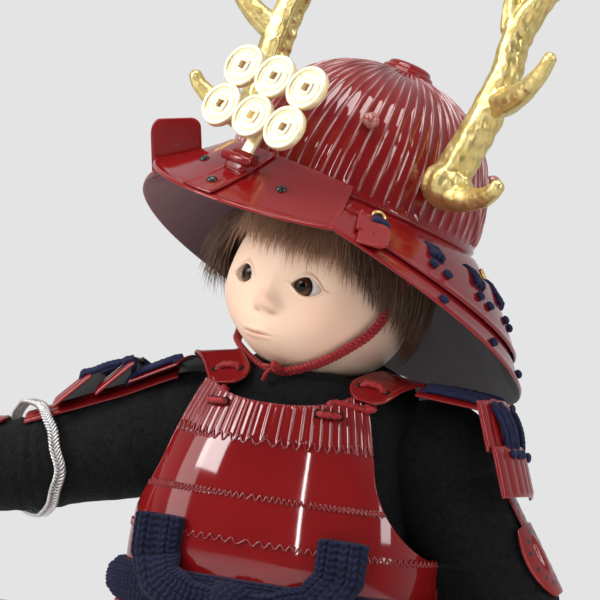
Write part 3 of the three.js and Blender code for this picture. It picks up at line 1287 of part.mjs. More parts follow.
function coinCrest() {
  const coin = new THREE.Shape();
  coin.absarc(0, 0, COIN_RADIUS, 0, 2 * Math.PI);
  const hole = new THREE.Path();
  const h = COIN_HOLE / 2;
  hole.setFromPoints([[-h, -h], [-h, h], [h, h], [h, -h]].map(([x, y]) => new THREE.Vector2(x, y)));
  coin.holes.push(hole);
  const flat = { depth: COIN_THICKNESS, bevelEnabled: false, curveSegments: 7 };
  const disc = new THREE.ExtrudeGeometry(coin, flat);
  const dishRadius = COIN_RADIUS * 0.78;
  const dish = new THREE.CylinderGeometry(dishRadius, dishRadius, 1, 10).rotateX(Math.PI / 2);
  const coins = [];
  for (const row of [0, 1])
    for (const column of [-1, 0, 1]) {
      const x = column * COIN_PITCH_ACROSS;
      const y = row * COIN_PITCH_UP;
      const hollow = dish.clone().translate(0, 0, COIN_THICKNESS);
      coins.push(cut(disc, hollow).translate(x, y, 0));
    }
  const stemMiddle = point(0, 3 - CREST_STEM_LENGTH / 2, -CREST_FORWARD);
  const stem = box(CREST_STEM_WIDTH, CREST_STEM_LENGTH, CREST_STEM_THICKNESS, stemMiddle);
  const bridge = box(CREST_STEM_WIDTH, 6, CREST_FORWARD + 2, point(0, 0, 0.2 - CREST_FORWARD / 2));
  return joined(...coins, stem, bridge).rotateX(Math.PI / 2).translate(0, -CREST_FORWARD, 0);
}
const crestRise = HOLDER_FLOOR + SEAT_GAP + CREST_STEM_LENGTH - 3;
piece(crest, "coin_crest", coinCrest().translate(0, 0, crestRise), gilt);

// The holder stands on the visor and has a slot for the stem.
function crestHolder() {
  const block = box(HOLDER_WIDTH, HOLDER_DEPTH, HOLDER_HEIGHT * 2, point(0, 0, -HOLDER_HEIGHT * 0.5));
  const slot = box(
    CREST_STEM_WIDTH + 2 * SLIDE_GAP,
    CREST_STEM_THICKNESS + 2 * SLIDE_GAP,
    HOLDER_HEIGHT,
    point(0, 0, HOLDER_FLOOR + HOLDER_HEIGHT / 2),
  );
  crest.updateMatrix();
  const under = visorDown.clone().cross(point(1, 0, 0)).normalize();
  if (under.z > 0) under.negate();
  const inverse = crest.matrix.clone().invert();
  const lidPlace = PLATE + SEAT_GAP - HOLDER_LID / 2;
  const lid = new THREE.BoxGeometry(HOLDER_LID * 2, HOLDER_LID * 2, HOLDER_LID).translate(0, 0, lidPlace);
  const normal = under.clone().negate();
  const right = point(1, 0, 0);
  const back = normal.clone().cross(right);
  const onVisor = new THREE.Matrix4().makeBasis(right, back, normal).setPosition(holderFoot);
  lid.applyMatrix4(onVisor).applyMatrix4(inverse);
  return cut(block, slot, lid);
}
piece(crest, "crest_holder", crestHolder(), lacquer);

// Chin cord: from inside the rim band at one side, over the side lock, under the chin and up the other side
function chinCord() {
  helmet.updateMatrix();
  const inside = -BOWL_WALL - CHIN_CORD_RADIUS - 2 * SEAT_GAP;
  const overSkin = CHIN_CORD_RADIUS + SEAT_GAP + 1;
  const overHair = HAIR_THICKNESS + overSkin + 0.6;
  const on = (down, around, lift) => headPoint(degrees(-down), degrees(around), lift);
  const tied = (around) => {
    const rim = helmetPoint(degrees(around), 1, -BOWL_BAND + 2, inside);
    return rim.applyMatrix4(helmet.matrix);
  };
  const leftLock = [tied(92), on(-6, 82, overHair), on(18, 72, overHair)];
  const leftJaw = [on(36, 60, overSkin), on(56, 42, overSkin)];
  const chin = on(69, -4, overSkin + 1.2);
  const rightJaw = [on(52, -62, overSkin), on(38, -86, overSkin + 2.6)];
  const rightLock = [on(16, -98, overHair + 0.6), on(-8, -102, overHair), tied(-110)];
  return cordTube([...leftLock, ...leftJaw, chin, ...rightJaw, ...rightLock], CHIN_CORD_RADIUS, 26);
}
piece(head, "chin_cord", chinCord(), redCord);

// Figure: the base of the doll at its feet, with the middle of its box over the origin
function standOnOrigin() {
  doll.updateMatrixWorld(true);
  const bounds = new THREE.Box3().setFromObject(doll, true);
  const middle = bounds.getCenter(point(0, 0, 0));
  figure.position.set(-middle.x, -middle.y, -bounds.min.z);
}
standOnOrigin();

export default doll;
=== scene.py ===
import bpy
import numpy as np
from numpy import arange, array, broadcast_arrays, broadcast_to, clip, column_stack, concatenate
from numpy import cos, cross, exp, gradient, interp, linspace, maximum, minimum, pi, radians, repeat
from numpy import sin, sqrt, stack, vstack, where
from mathutils import Matrix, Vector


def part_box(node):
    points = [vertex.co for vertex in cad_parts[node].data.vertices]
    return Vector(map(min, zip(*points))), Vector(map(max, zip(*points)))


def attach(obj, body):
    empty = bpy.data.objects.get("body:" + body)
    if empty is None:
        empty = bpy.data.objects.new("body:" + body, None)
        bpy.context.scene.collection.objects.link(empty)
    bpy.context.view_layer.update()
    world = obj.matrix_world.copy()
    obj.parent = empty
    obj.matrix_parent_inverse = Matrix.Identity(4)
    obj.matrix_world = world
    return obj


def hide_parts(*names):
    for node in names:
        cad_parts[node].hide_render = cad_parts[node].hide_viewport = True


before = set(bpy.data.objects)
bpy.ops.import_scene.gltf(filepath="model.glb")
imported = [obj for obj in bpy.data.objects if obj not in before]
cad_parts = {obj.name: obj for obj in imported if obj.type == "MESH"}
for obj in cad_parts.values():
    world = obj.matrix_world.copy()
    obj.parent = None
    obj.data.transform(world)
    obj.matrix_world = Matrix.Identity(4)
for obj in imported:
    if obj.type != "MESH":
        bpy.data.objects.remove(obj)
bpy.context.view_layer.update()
rng = np.random.default_rng(7)
print("frame loaded")

# everything below is drawn in millimetres about the doll's own upright axis, soles at zero, facing -Y
frontBox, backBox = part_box("cuirass_front"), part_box("cuirass_back")
bodyMiddle = ((frontBox[0].x + frontBox[1].x) / 2, (frontBox[0].y + backBox[1].y) / 2, 0.0)
figureShift = array(bodyMiddle) * 1000
bothSides = (("left", 1), ("right", -1))


# a turn about X, then Y, then Z, in degrees
def turned(x, y, z):
    cx, cy, cz = cos(radians([x, y, z]))
    sx, sy, sz = sin(radians([x, y, z]))
    aboutX = array([[1, 0, 0], [0, cx, -sx], [0, sx, cx]])
    aboutY = array([[cy, 0, sy], [0, 1, 0], [-sy, 0, cy]])
    aboutZ = array([[cz, -sz, 0], [sz, cz, 0], [0, 0, 1]])
    return aboutZ @ aboutY @ aboutX


# a frame is a place and three axes as columns
def frameAt(place, axes=np.eye(3)):
    return np.asarray(place, float), np.asarray(axes, float)


def inFrame(spot, points):
    return np.asarray(points, float) @ spot[1].T + spot[0]


def within(outer, inner):
    return inFrame(outer, inner[0]), outer[1] @ inner[1]


def unit(vectors):
    vectors = np.asarray(vectors, float)
    return vectors / maximum(np.linalg.norm(vectors, axis=-1, keepdims=True), 1e-12)


def smoothStep(low, high, x):
    t = clip((np.asarray(x, float) - low) / (high - low), 0, 1)
    return t * t * (3 - 2 * t)


def mix(a, b, t):
    return a + (b - a) * t


# a bell curve: one at zero, fading away past a width
def bell(x, width):
    return exp(-((x / width) ** 2))


# even steps round a circle, in radians
def roundSteps(count):
    return linspace(0, 2 * pi, count, endpoint=False)


# the length of a path up to each of its points
def wayAlong(path):
    return concatenate([[0], np.cumsum(np.linalg.norm(np.diff(path, axis=0), axis=1))])


# a sine or cosine pushed out towards a square wave, so that a circle of them becomes a squarish oval
def squared(wave, power):
    return np.sign(wave) * np.abs(wave) ** (2 / power)


body = {
    "waist": 160.0, "head": (2, -2.7, 127), "headTurn": (1.3, 6, -16.5),
    "helmet": (-0.6, 6.3, 33.5), "helmetTurn": (-9, 7.7, -4.2),
}
figureFrame = frameAt((0, 0, 0))
trunkFrame = frameAt((0, 0, body["waist"]))
headFrame = within(trunkFrame, frameAt(body["head"], turned(*body["headTurn"])))
helmetInHead = frameAt(body["helmet"], turned(*body["helmetTurn"]))
helmetFrame = within(headFrame, helmetInHead)


# meshes: every piece is a list of patches, each with points, faces, a flat map and three surface values

flatScale = 0.01  # flat map units in a millimetre
rimFade = 0.8  # how far an edge's wear reaches in, in millimetres
edgeSteps = array([0, 0.1, 0.33, 0.66, 1.0])  # steps across a rounded edge, as shares of its radius


# quads over an index grid, joined round where asked
def gridFaces(index, wrapU=False, wrapV=False):
    a = vstack([index, index[:1]]) if wrapU else index
    a = np.hstack([a, a[:, :1]]) if wrapV else a
    return stack([a[:-1, :-1], a[1:, :-1], a[1:, 1:], a[:-1, 1:]], -1).reshape(-1, 4)


# triangles from each side of a ring to a pole, turned over where asked
def fanFaces(ring, pole, over=False):
    fan = stack([ring, np.roll(ring, -1), np.full(len(ring), pole)], -1)
    return fan[:, [1, 0, 2]] if over else fan


# a patch's faces are turned round where the volume that they close in comes out negative
def patch(points, faces, uv=None, inside=0.0, rim=0.0, tone=0.0):
    points = np.asarray(points, float).reshape(-1, 3)
    count = len(points)
    fill = lambda value: broadcast_to(np.ravel(value).astype(float), (count,))
    uv = np.zeros((count, 2)) if uv is None else np.asarray(uv, float).reshape(-1, 2)
    faces = [np.asarray(f) for f in (faces if isinstance(faces, list) else [faces]) if len(f)]
    tris = vstack([f[:, [0, k, k + 1]] for f in faces for k in range(1, f.shape[1] - 1)])
    a, b, c = (points[tris[:, k]] - points.mean(0) for k in range(3))
    volume = np.einsum("ij,ij->i", a, cross(b, c)).sum()
    faces = faces if volume >= 0 else [f[:, ::-1] for f in faces]
    values = {"inside": fill(inside), "rim": fill(rim), "tone": fill(tone)}
    return {"points": points, "faces": faces, "uv": uv, **values}


def moved(part, spot):
    return {**part, "points": inFrame(spot, part["points"])}


# one object from its patches, in metres in the shared frame, riding on a body
def makePiece(name, patches, spot, ridesOn, material, stands=()):
    patches = patches if isinstance(patches, list) else [patches]
    points = inFrame(spot, vstack([p["points"] for p in patches]))
    points = (points + figureShift) * 0.001
    starts = np.cumsum([0] + [len(p["points"]) for p in patches])
    faces = [f + s for p, s in zip(patches, starts) for f in p["faces"]]
    sizes = concatenate([np.full(len(f), f.shape[1]) for f in faces])
    corners = concatenate([f.reshape(-1) for f in faces]).astype(np.int32)
    mesh = bpy.data.meshes.new(name)
    mesh.vertices.add(len(points))
    mesh.vertices.foreach_set("co", points.astype(np.float32).ravel())
    mesh.loops.add(len(corners))
    mesh.loops.foreach_set("vertex_index", corners)
    mesh.polygons.add(len(sizes))
    firsts = concatenate([[0], np.cumsum(sizes)[:-1]])
    mesh.polygons.foreach_set("loop_start", firsts.astype(np.int32))
    mesh.polygons.foreach_set("loop_total", sizes.astype(np.int32))
    mesh.update(calc_edges=True)
    flat = vstack([p["uv"] for p in patches])[corners]
    mesh.uv_layers.new(name="flat").data.foreach_set("uv", flat.astype(np.float32).ravel())
    for value in ("inside", "rim", "tone"):
        layer = mesh.attributes.new(value, "FLOAT", "POINT")
        layer.data.foreach_set("value", concatenate([p[value] for p in patches]).astype(np.float32))
    mesh.polygons.foreach_set("use_smooth", np.ones(len(sizes), bool))
    mesh.validate()
    piece = bpy.data.objects.new(name, mesh)
    bpy.context.scene.collection.objects.link(piece)
    piece.data.materials.append(material)
    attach(piece, ridesOn)
    if stands:
        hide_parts(*([stands] if isinstance(stands, str) else stands))
    return piece


# steps from 0 to 1 that crowd together at both ends, where an edge is rounded
def edgedSteps(count, length, radius):
    near = min(0.2, radius / length) * edgeSteps
    return concatenate([near[:-1], linspace(near[-1], 1 - near[-1], count), 1 - near[-2::-1]])


# half the thickness of a sheet at a distance from its edge, where a circle rounds it off
def roundedHalf(edge, radius):
    return radius * sqrt(clip(1 - (1 - minimum(edge / radius, 1)) ** 2, 0, 1))


# the unit normal of a surface, from differences that stay inside it
def normalsOf(surface, u, v, step=1e-3):
    u0, v0 = clip(u, step, 1 - step), clip(v, step, 1 - step)
    along = surface(u0 + step, v0) - surface(u0 - step, v0)
    up = surface(u0, v0 + step) - surface(u0, v0 - step)
    return unit(cross(along, up))


# a sheet of even thickness above a surface, with round edges; relief raises its outer face alone
def platePatch(surface, size, counts, thickness, relief=None, flip=False, lift=0.0):
    radius = thickness / 2
    u, v = (edgedSteps(counts[k], size[k], radius) for k in range(2))
    gridU, gridV = np.meshgrid(u, v, indexing="ij")
    normal = normalsOf(surface, gridU, gridV) * (-1 if flip else 1)
    edge = minimum(minimum(gridU, 1 - gridU) * size[0], minimum(gridV, 1 - gridV) * size[1])
    half = roundedHalf(edge, radius)
    raised = 0.0 if relief is None else relief(gridU, gridV) * smoothStep(0, radius, edge)
    middle = surface(gridU, gridV) + normal * (radius + lift)
    outer, inner = middle + normal * (half + raised)[..., None], middle - normal * half[..., None]
    top = arange(gridU.size).reshape(gridU.shape)
    low = top.copy()
    low[1:-1, 1:-1] = top.size + arange(low[1:-1, 1:-1].size).reshape(low[1:-1, 1:-1].shape)
    both = lambda a, b, *last: concatenate([a.reshape(-1, *last), b[1:-1, 1:-1].reshape(-1, *last)])
    points = both(outer, inner, 3)
    uv = stack([gridU * size[0], gridV * size[1]], -1) * flatScale
    inside = arange(len(points)) >= top.size
    rim = exp(-edge / rimFade)
    faces = vstack([gridFaces(top), gridFaces(low)[:, ::-1]])
    return patch(points, faces, both(uv, uv, 2), inside, both(rim, rim))


# a flat plate of any outline with a round edge, as rings shrunk towards its middle
def outlinePatch(outline, thickness, rings=7):
    radius = thickness / 2
    outline = np.asarray(outline, float)
    middle = outline.mean(0)
    reach = np.linalg.norm(outline - middle, axis=1).mean()
    near = 1 - radius / reach * edgeSteps
    shrink = concatenate([near, linspace(near[-1], 0.05, rings)[1:]])
    flat = middle + (outline - middle) * shrink[:, None, None]
    edge = (1 - shrink)[:, None] * reach * np.ones(len(outline))
    half = roundedHalf(edge, radius)
    outer, inner = np.dstack([flat, half]), np.dstack([flat, -half])
    top = arange(edge.size).reshape(edge.shape)
    low = vstack([top[:1], top[1:] + edge.size - len(outline)])
    poles = [[*middle, outer[-1, :, 2].mean()], [*middle, inner[-1, :, 2].mean()]]
    points = vstack([outer.reshape(-1, 3), inner[1:].reshape(-1, 3), poles])
    pole = len(points) - 2
    caps = vstack([fanFaces(top[-1], pole), fanFaces(low[-1], pole + 1, over=True)])
    skins = vstack([gridFaces(top, wrapV=True)[:, ::-1], gridFaces(low, wrapV=True)])
    uv = vstack([flat.reshape(-1, 2), flat[1:].reshape(-1, 2), [middle, middle]]) * flatScale
    rim = exp(-concatenate([edge.ravel(), edge[1:].ravel(), [reach, reach]]) / rimFade)
    return patch(points, [skins[:, ::-1], caps], uv, rim=rim)


# points spaced evenly along a smooth curve through the given ones
def smoothPath(points, count):
    points = np.asarray(points, float)
    p = vstack([2 * points[:1] - points[1:2], points, 2 * points[-1:] - points[-2:-1]])
    t = linspace(0, 1, 24, endpoint=False)[:, None, None]
    a, b, c, d = p[:-3], p[1:-2], p[2:-1], p[3:]
    line = 0.5 * (2 * b + (c - a) * t + (2 * a - 5 * b + 4 * c - d) * t**2 + (3 * b - a - 3 * c + d) * t**3)
    line = vstack([line.transpose(1, 0, 2).reshape(-1, 3), points[-1:]])
    way = wayAlong(line)
    at = linspace(0, way[-1], count)
    return column_stack([interp(at, way, line[:, k]) for k in range(3)])


# two directions across a path: one as near as can be to the given facing, and one square to it
def acrossPath(path, facing, closed=False):
    along = unit(np.roll(path, -1, 0) - np.roll(path, 1, 0) if closed else gradient(path, axis=0))
    facing = broadcast_to(np.asarray(facing, float), path.shape)
    up = unit(facing - np.einsum("ij,ij->i", facing, along)[:, None] * along)
    return cross(along, up), up


# a tube along a path; its radius may change along it, flat presses it, and relief(turn, way) lifts its skin
def tubePatch(path, radius, sides, facing, closed=False, relief=None, flat=1.0):
    count = len(path)
    right, up = acrossPath(path, facing, closed)
    turn, way = roundSteps(sides), wayAlong(path)
    radius = broadcast_to(np.asarray(radius, float), (count,))[:, None]
    lift = 0.0 if relief is None else relief(turn[None, :], way[:, None])
    x, y = (radius + lift) * cos(turn), (radius * flat + lift) * sin(turn)
    points = (path[:, None] + right[:, None] * x[..., None] + up[:, None] * y[..., None]).reshape(-1, 3)
    index = arange(count * sides).reshape(count, sides)
    faces = [gridFaces(index, wrapU=closed, wrapV=True)]
    uv = broadcast_arrays(turn[None, :] / (2 * pi), way[:, None] * flatScale)
    uv = stack(uv, -1).reshape(-1, 2)
    if not closed:
        pole = len(points)
        along = unit(array([path[0] - path[1], path[-1] - path[-2]]))
        points = vstack([points, path[[0, -1]] + along * radius[[0, -1]] * 0.35])
        faces.append(vstack([fanFaces(index[0], pole, over=True), fanFaces(index[-1], pole + 1)]))
        uv = vstack([uv, [[0, 0], [0, way[-1] * flatScale]]])
    return patch(points, [f[:, ::-1] for f in faces], uv)


# a solid skin through rings[count, sides, 3], with its two end rings drawn to poles
def ringPatch(rings):
    count, sides = rings.shape[:2]
    index = arange(count * sides).reshape(count, sides)
    pole = count * sides
    points = vstack([rings.reshape(-1, 3), rings[0].mean(0), rings[-1].mean(0)])
    caps = vstack([fanFaces(index[0], pole, over=True), fanFaces(index[-1], pole + 1)])
    u, v = np.meshgrid(arange(sides) / sides, arange(count) / count, indexing="xy")
    uv = vstack([stack([u, v], -1).reshape(-1, 2), [[0, 0], [0, 1]]])
    return patch(points, [gridFaces(index, wrapV=True)[:, ::-1], caps[:, ::-1]], uv)


# a skin through rings that join up both ways, so that the last ring meets the first
def loopedPatch(rings, **values):
    index = arange(rings.shape[0] * rings.shape[1]).reshape(rings.shape[:2])
    return patch(rings, gridFaces(index, wrapU=True, wrapV=True), **values)


# surface values for a ring patch, with one more for each pole
def withPoles(values, first=0.0, last=0.0):
    return concatenate([np.ravel(values), [first, last]])


# rings of a ball from its low pole to its high one, by three half sizes
def ballRings(rise, turn, x, y, z):
    level = cos(rise)
    return stack(broadcast_arrays(x * level * cos(turn), y * level * sin(turn), z * sin(rise)), -1)


# heights of a ball's rings, in radians from pole to pole
def ballRise(count):
    return linspace(-pi / 2, pi / 2, count)[:, None]


# a turned profile of (radius, height) about Z
def lathePatch(profile, sides):
    profile = np.asarray(profile, float)[:, None]
    turn = roundSteps(sides)
    rings = broadcast_arrays(profile[..., 0] * cos(turn), profile[..., 0] * sin(turn), profile[..., 1])
    return ringPatch(stack(rings, -1))


# a twisted cord through the given points
def cordPatch(points, count, radius, sides, facing, depth, pitch, phase=0.0):
    twist = lambda turn, way: depth * cos(2 * turn + way * pitch + phase)
    return tubePatch(smoothPath(points, count), radius, sides, facing, relief=twist)


# soft waves that never repeat closely, for folds and unevenness: a sum of sines at odd angles
def drift(points, size, seed=0, waveCount=6):
    points = np.asarray(points, float)
    waves = np.random.default_rng(seed)
    total = 0.0
    for k in range(waveCount):
        way = unit(waves.normal(size=3))
        pitch = 2 * pi / size * waves.uniform(0.7, 1.5)
        total = total + sin(points @ way * pitch + waves.uniform(0, 6.28))
    return total / waveCount


# axes for something that lies on a surface: along, then across, then out of it
def lyingOn(place, out, along):
    out = unit(out)
    along = unit(np.asarray(along, float) - np.dot(along, out) * out)
    return frameAt(place, column_stack([along, cross(out, along), out]))


# materials

def newGroup(name, inputs, outputs):
    group = bpy.data.node_groups.new(name, "ShaderNodeTree")
    for label, kind, value in inputs:
        socket = group.interface.new_socket(label, in_out="INPUT", socket_type="NodeSocket" + kind)
        socket.default_value = value
    for label, kind in outputs:
        group.interface.new_socket(label, in_out="OUTPUT", socket_type="NodeSocket" + kind)
    return group, group.nodes.new("NodeGroupInput"), group.nodes.new("NodeGroupOutput")


# a node with its settings, and the values of its unlinked inputs
def node(tree, kind, given=(), **settings):
    made = tree.nodes.new("ShaderNode" + kind)
    for key, value in settings.items():
        setattr(made, key, value)
    for socket, value in dict(given).items():
        made.inputs[socket].default_value = value
    return made


# links, each from a node's output to a node's input
def wire(tree, *links):
    for source, output, target, given in links:
        tree.links.new(source.outputs[output], target.inputs[given])


def attribute(tree, name):
    return node(tree, "Attribute", attribute_name=name)


def colourMix(tree, given=(), **settings):
    return node(tree, "Mix", given, data_type="RGBA", **settings)


def opaque(colour):
    return (*colour, 1.0)


# noise of a set size on the piece's own coordinates, spread between two values
def makeMottle():
    group, given, out = newGroup(
        "mottle",
        [("Scale", "Float", 40.0), ("Low", "Float", 0.0), ("High", "Float", 1.0)],
        [("Value", "Float")],
    )
    place = node(group, "TexCoord")
    noise = node(group, "TexNoise", {"Detail": 5})
    span = node(group, "MapRange", {"From Min": 0.28, "From Max": 0.72})
    wire(
        group,
        (place, "Object", noise, "Vector"), (given, "Scale", noise, "Scale"),
        (noise, "Fac", span, "Value"), (given, "Low", span, "To Min"), (given, "High", span, "To Max"),
        (span, "Result", out, "Value"),
    )
    return group


# colour that drifts between two values, with a third where rim marks it: worn edges on lacquer,
# painted highlight on the bowl's ridges and the coins' raised tops, and painted shade in the knit's grooves;
# inner faces have a fourth, partly painted shade, which tone turns to a fifth, painted light
def makeTone():
    group, given, out = newGroup(
        "surfaceTone",
        [
            ("Colour", "Color", (1, 0, 0, 1)), ("Deep", "Color", (0, 0, 0, 1)),
            ("Edge", "Color", (1, 1, 1, 1)), ("Inner", "Color", (0, 0, 0, 1)), ("Lit", "Color", (0, 0, 0, 1)),
            ("Drift", "Float", 0.0), ("WearAndPaintedLight", "Float", 0.2),
        ],
        [("Colour", "Color"), ("Inside", "Float")],
    )
    rim, inside, tone = (attribute(group, name) for name in ("rim", "inside", "tone"))
    base, edged, lined, paler = (colourMix(group) for k in range(4))
    wearAndPaintedLightShare = node(group, "Math", operation="MULTIPLY")
    wire(
        group,
        (given, "Drift", base, "Factor"), (given, "Colour", base, "A"), (given, "Deep", base, "B"),
        (rim, "Fac", wearAndPaintedLightShare, 0), (given, "WearAndPaintedLight", wearAndPaintedLightShare, 1),
        (wearAndPaintedLightShare, 0, edged, "Factor"), (base, "Result", edged, "A"), (given, "Edge", edged, "B"),
        (tone, "Fac", paler, "Factor"), (given, "Inner", paler, "A"), (given, "Lit", paler, "B"),
        (inside, "Fac", lined, "Factor"), (edged, "Result", lined, "A"), (paler, "Result", lined, "B"),
        (lined, "Result", out, "Colour"), (inside, "Fac", out, "Inside"),
    )
    return group


mottle, surfaceTone = makeMottle(), makeTone()

# what a look leaves out
plainLook = {
    "wearAndPaintedLight": 0.0, "driftScale": 60.0, "roughScale": 300.0, "innerRough": 0.0,
    "grain": 0.1, "grainScale": 900.0, "grainDepth": 0.0002,
    "metal": 0.0, "coat": 0.0, "coatRough": 0.03, "sheen": 0.0, "specular": 0.5, "subsurface": 0.0,
}
bloodDepth = {"radius": (0.004, 0.0015, 0.0008), "scale": 0.6}  # how far each colour spreads under a skin


# a material with its shader, a tone group and three noise groups already in place
def finish(name, given):
    colour = given["colour"]
    look = {**plainLook, "deep": colour, "edge": colour, "inner": colour, **given}
    look.setdefault("lit", look["inner"])
    material = bpy.data.materials.new(name)
    material.use_nodes = True
    tree = material.node_tree
    shader = tree.nodes["Principled BSDF"]
    shades = {label: opaque(look[label.lower()]) for label in ("Colour", "Deep", "Edge", "Inner", "Lit")}
    tone = node(tree, "Group", node_tree=surfaceTone)
    for socket, value in {**shades, "WearAndPaintedLight": look["wearAndPaintedLight"]}.items():
        tone.inputs[socket].default_value = value
    low, high = look["rough"]
    broad = node(tree, "Group", {"Scale": look["driftScale"]}, node_tree=mottle)
    rough = node(tree, "Group", {"Scale": look["roughScale"], "Low": low, "High": high}, node_tree=mottle)
    grain = node(tree, "Group", {"Scale": look["grainScale"]}, node_tree=mottle)
    dull = node(tree, "Math", {1: look["innerRough"]}, operation="MULTIPLY_ADD")
    bump = node(tree, "Bump", {"Strength": look["grain"], "Distance": look["grainDepth"]})
    wire(
        tree,
        (broad, "Value", tone, "Drift"), (tone, "Colour", shader, "Base Color"),
        (tone, "Inside", dull, 0), (rough, "Value", dull, 2), (dull, 0, shader, "Roughness"),
        (grain, "Value", bump, "Height"), (bump, "Normal", shader, "Normal"),
    )
    sockets = {
        "Metallic": look["metal"], "Coat Weight": look["coat"], "Coat Roughness": look["coatRough"],
        "Sheen Weight": look["sheen"], "Specular IOR Level": look["specular"],
        "Subsurface Weight": look["subsurface"],
        "Subsurface Radius": bloodDepth["radius"], "Subsurface Scale": bloodDepth["scale"],
    }
    for socket, value in sockets.items():
        shader.inputs[socket].default_value = value
    return material, tree, shader, tone


# inner faces are dark lacquer, darkened further as painted shade; lit is painted light that tone brings to
# the neck guard's inner right front
lacquerLook = {
    "colour": (0.235, 0.0075, 0.008), "deep": (0.185, 0.005, 0.006), "edge": (0.34, 0.02, 0.02),
    "inner": (0.022, 0.009, 0.010), "lit": (0.25, 0.10, 0.112), "innerRough": 0.5,
    "wearAndPaintedLight": 0.35, "driftScale": 25, "rough": (0.08, 0.18), "roughScale": 70,
    "grain": 0.05, "grainScale": 220, "coat": 0.12, "coatRough": 0.04, "specular": 0.42,
}
polishedLook = {**lacquerLook, "rough": (0.05, 0.1), "coat": 0.5, "coatRough": 0.03, "grain": 0.02}
redLacquer = finish("redLacquer", lacquerLook)[0]
breastLacquer = finish("breastLacquer", polishedLook)[0]
# the bowl's pale edge colour, which rim lays along its ridges, is a painted highlight
bowlLacquer = finish("bowlLacquer", {**polishedLook, "edge": (0.85, 0.58, 0.56), "wearAndPaintedLight": 0.7})[0]
beadGlass = finish("beadGlass", {
    "colour": (0.22, 0.004, 0.004), "deep": (0.62, 0.28, 0.22), "driftScale": 520,
    "rough": (0.04, 0.1), "grain": 0.0, "coat": 0.6,
})[0]
giltMetal = finish("giltMetal", {
    "colour": (0.86, 0.70, 0.31), "deep": (0.62, 0.45, 0.14), "edge": (0.95, 0.85, 0.5),
    "inner": (0.7, 0.5, 0.16), "wearAndPaintedLight": 0.5, "driftScale": 200, "rough": (0.3, 0.46), "roughScale": 260,
    "grain": 0.1, "grainScale": 420, "metal": 0.9,
})[0]
# its pale edge colour marks the coins' raised tops as painted highlight
coinMetal = finish("coinMetal", {
    "colour": (0.99, 0.89, 0.58), "deep": (0.96, 0.80, 0.42), "edge": (1.0, 0.93, 0.7),
    "inner": (0.6, 0.38, 0.1), "wearAndPaintedLight": 0.5, "driftScale": 120, "rough": (0.32, 0.46), "roughScale": 500,
    "grain": 0.05, "grainScale": 700, "metal": 0.6,
})[0]
blackCloth = finish("blackCloth", {
    "colour": (0.0075, 0.0075, 0.0082), "deep": (0.0016, 0.0016, 0.0018),
    "driftScale": 520, "rough": (0.82, 0.98), "grain": 0.7, "grainScale": 900,
    "grainDepth": 0.0005, "sheen": 0.03, "specular": 0.2,
})[0]
# the knit's darker edge colour, which rim lays into its grooves, is a painted shade
navyKnit = finish("navyKnit", {
    "colour": (0.012, 0.0145, 0.052), "deep": (0.007, 0.0085, 0.03), "edge": (0.0014, 0.0018, 0.007),
    "wearAndPaintedLight": 0.95, "driftScale": 160, "rough": (0.75, 0.95), "grain": 0.6, "grainScale": 1400,
    "grainDepth": 0.0003, "sheen": 0.05, "specular": 0.2,
})[0]
navyCord = finish("navyCord", {
    "colour": (0.012, 0.016, 0.066), "deep": (0.005, 0.006, 0.028), "driftScale": 500, "rough": (0.6, 0.85),
    "grain": 0.5, "grainScale": 1800, "grainDepth": 0.0003, "sheen": 0.05, "specular": 0.25,
})[0]
redCord = finish("redCord", {
    "colour": (0.44, 0.008, 0.012), "deep": (0.17, 0.002, 0.005), "driftScale": 700, "rough": (0.35, 0.6),
    "grain": 0.45, "grainScale": 1800, "grainDepth": 0.0003, "sheen": 0.1, "specular": 0.4,
})[0]
blackRivet = finish("blackRivet", {
    "colour": (0.012, 0.014, 0.013), "deep": (0.004, 0.005, 0.005), "driftScale": 300,
    "rough": (0.12, 0.3), "grain": 0.05, "coat": 0.3,
})[0]
silverBraid = finish("silverBraid", {
    "colour": (0.78, 0.76, 0.74), "deep": (0.55, 0.53, 0.52), "driftScale": 700, "rough": (0.25, 0.45),
    "grain": 0.2, "grainScale": 1500, "metal": 0.85,
})[0]
bootPile = finish("bootPile", {
    "colour": (0.012, 0.010, 0.009), "deep": (0.004, 0.003, 0.003), "driftScale": 300, "rough": (0.6, 0.9),
    "grain": 0.6, "grainScale": 1200, "grainDepth": 0.0006, "sheen": 0.2, "specular": 0.3,
})[0]
print("materials ready")


# camera and light, from the view that the doll is shown in
view = {
    "turn": 20.66, "rise": -2.77, "roll": 7.84, "away": 1000.0,
    "target": (-9.4, 0, 278.6), "lens": 150.84, "film": 36, "nearest": 0.01,
}


# puts an object at a place, with three axes as columns
def standAt(thing, place, *axes):
    matrix = np.eye(4)
    matrix[:3, :3] = column_stack(axes)
    matrix[:3, 3] = place
    thing.matrix_world = Matrix(matrix.tolist())
    bpy.context.scene.collection.objects.link(thing)


def makeCamera():
    a, e, r = radians([view["turn"], view["rise"], view["roll"]])
    back = array([sin(a) * cos(e), -cos(a) * cos(e), sin(e)])
    level = array([cos(a), sin(a), 0])
    tall = cross(back, level)
    right = level * cos(r) + tall * sin(r)
    up = tall * cos(r) - level * sin(r)
    camera = bpy.data.objects.new("camera", bpy.data.cameras.new("camera"))
    camera.data.lens = view["lens"]
    camera.data.sensor_width = view["film"]
    camera.data.clip_start = view["nearest"]
    standAt(camera, (array(view["target"]) + figureShift + back * view["away"]) * 0.001, right, up, back)
    bpy.context.scene.camera = camera


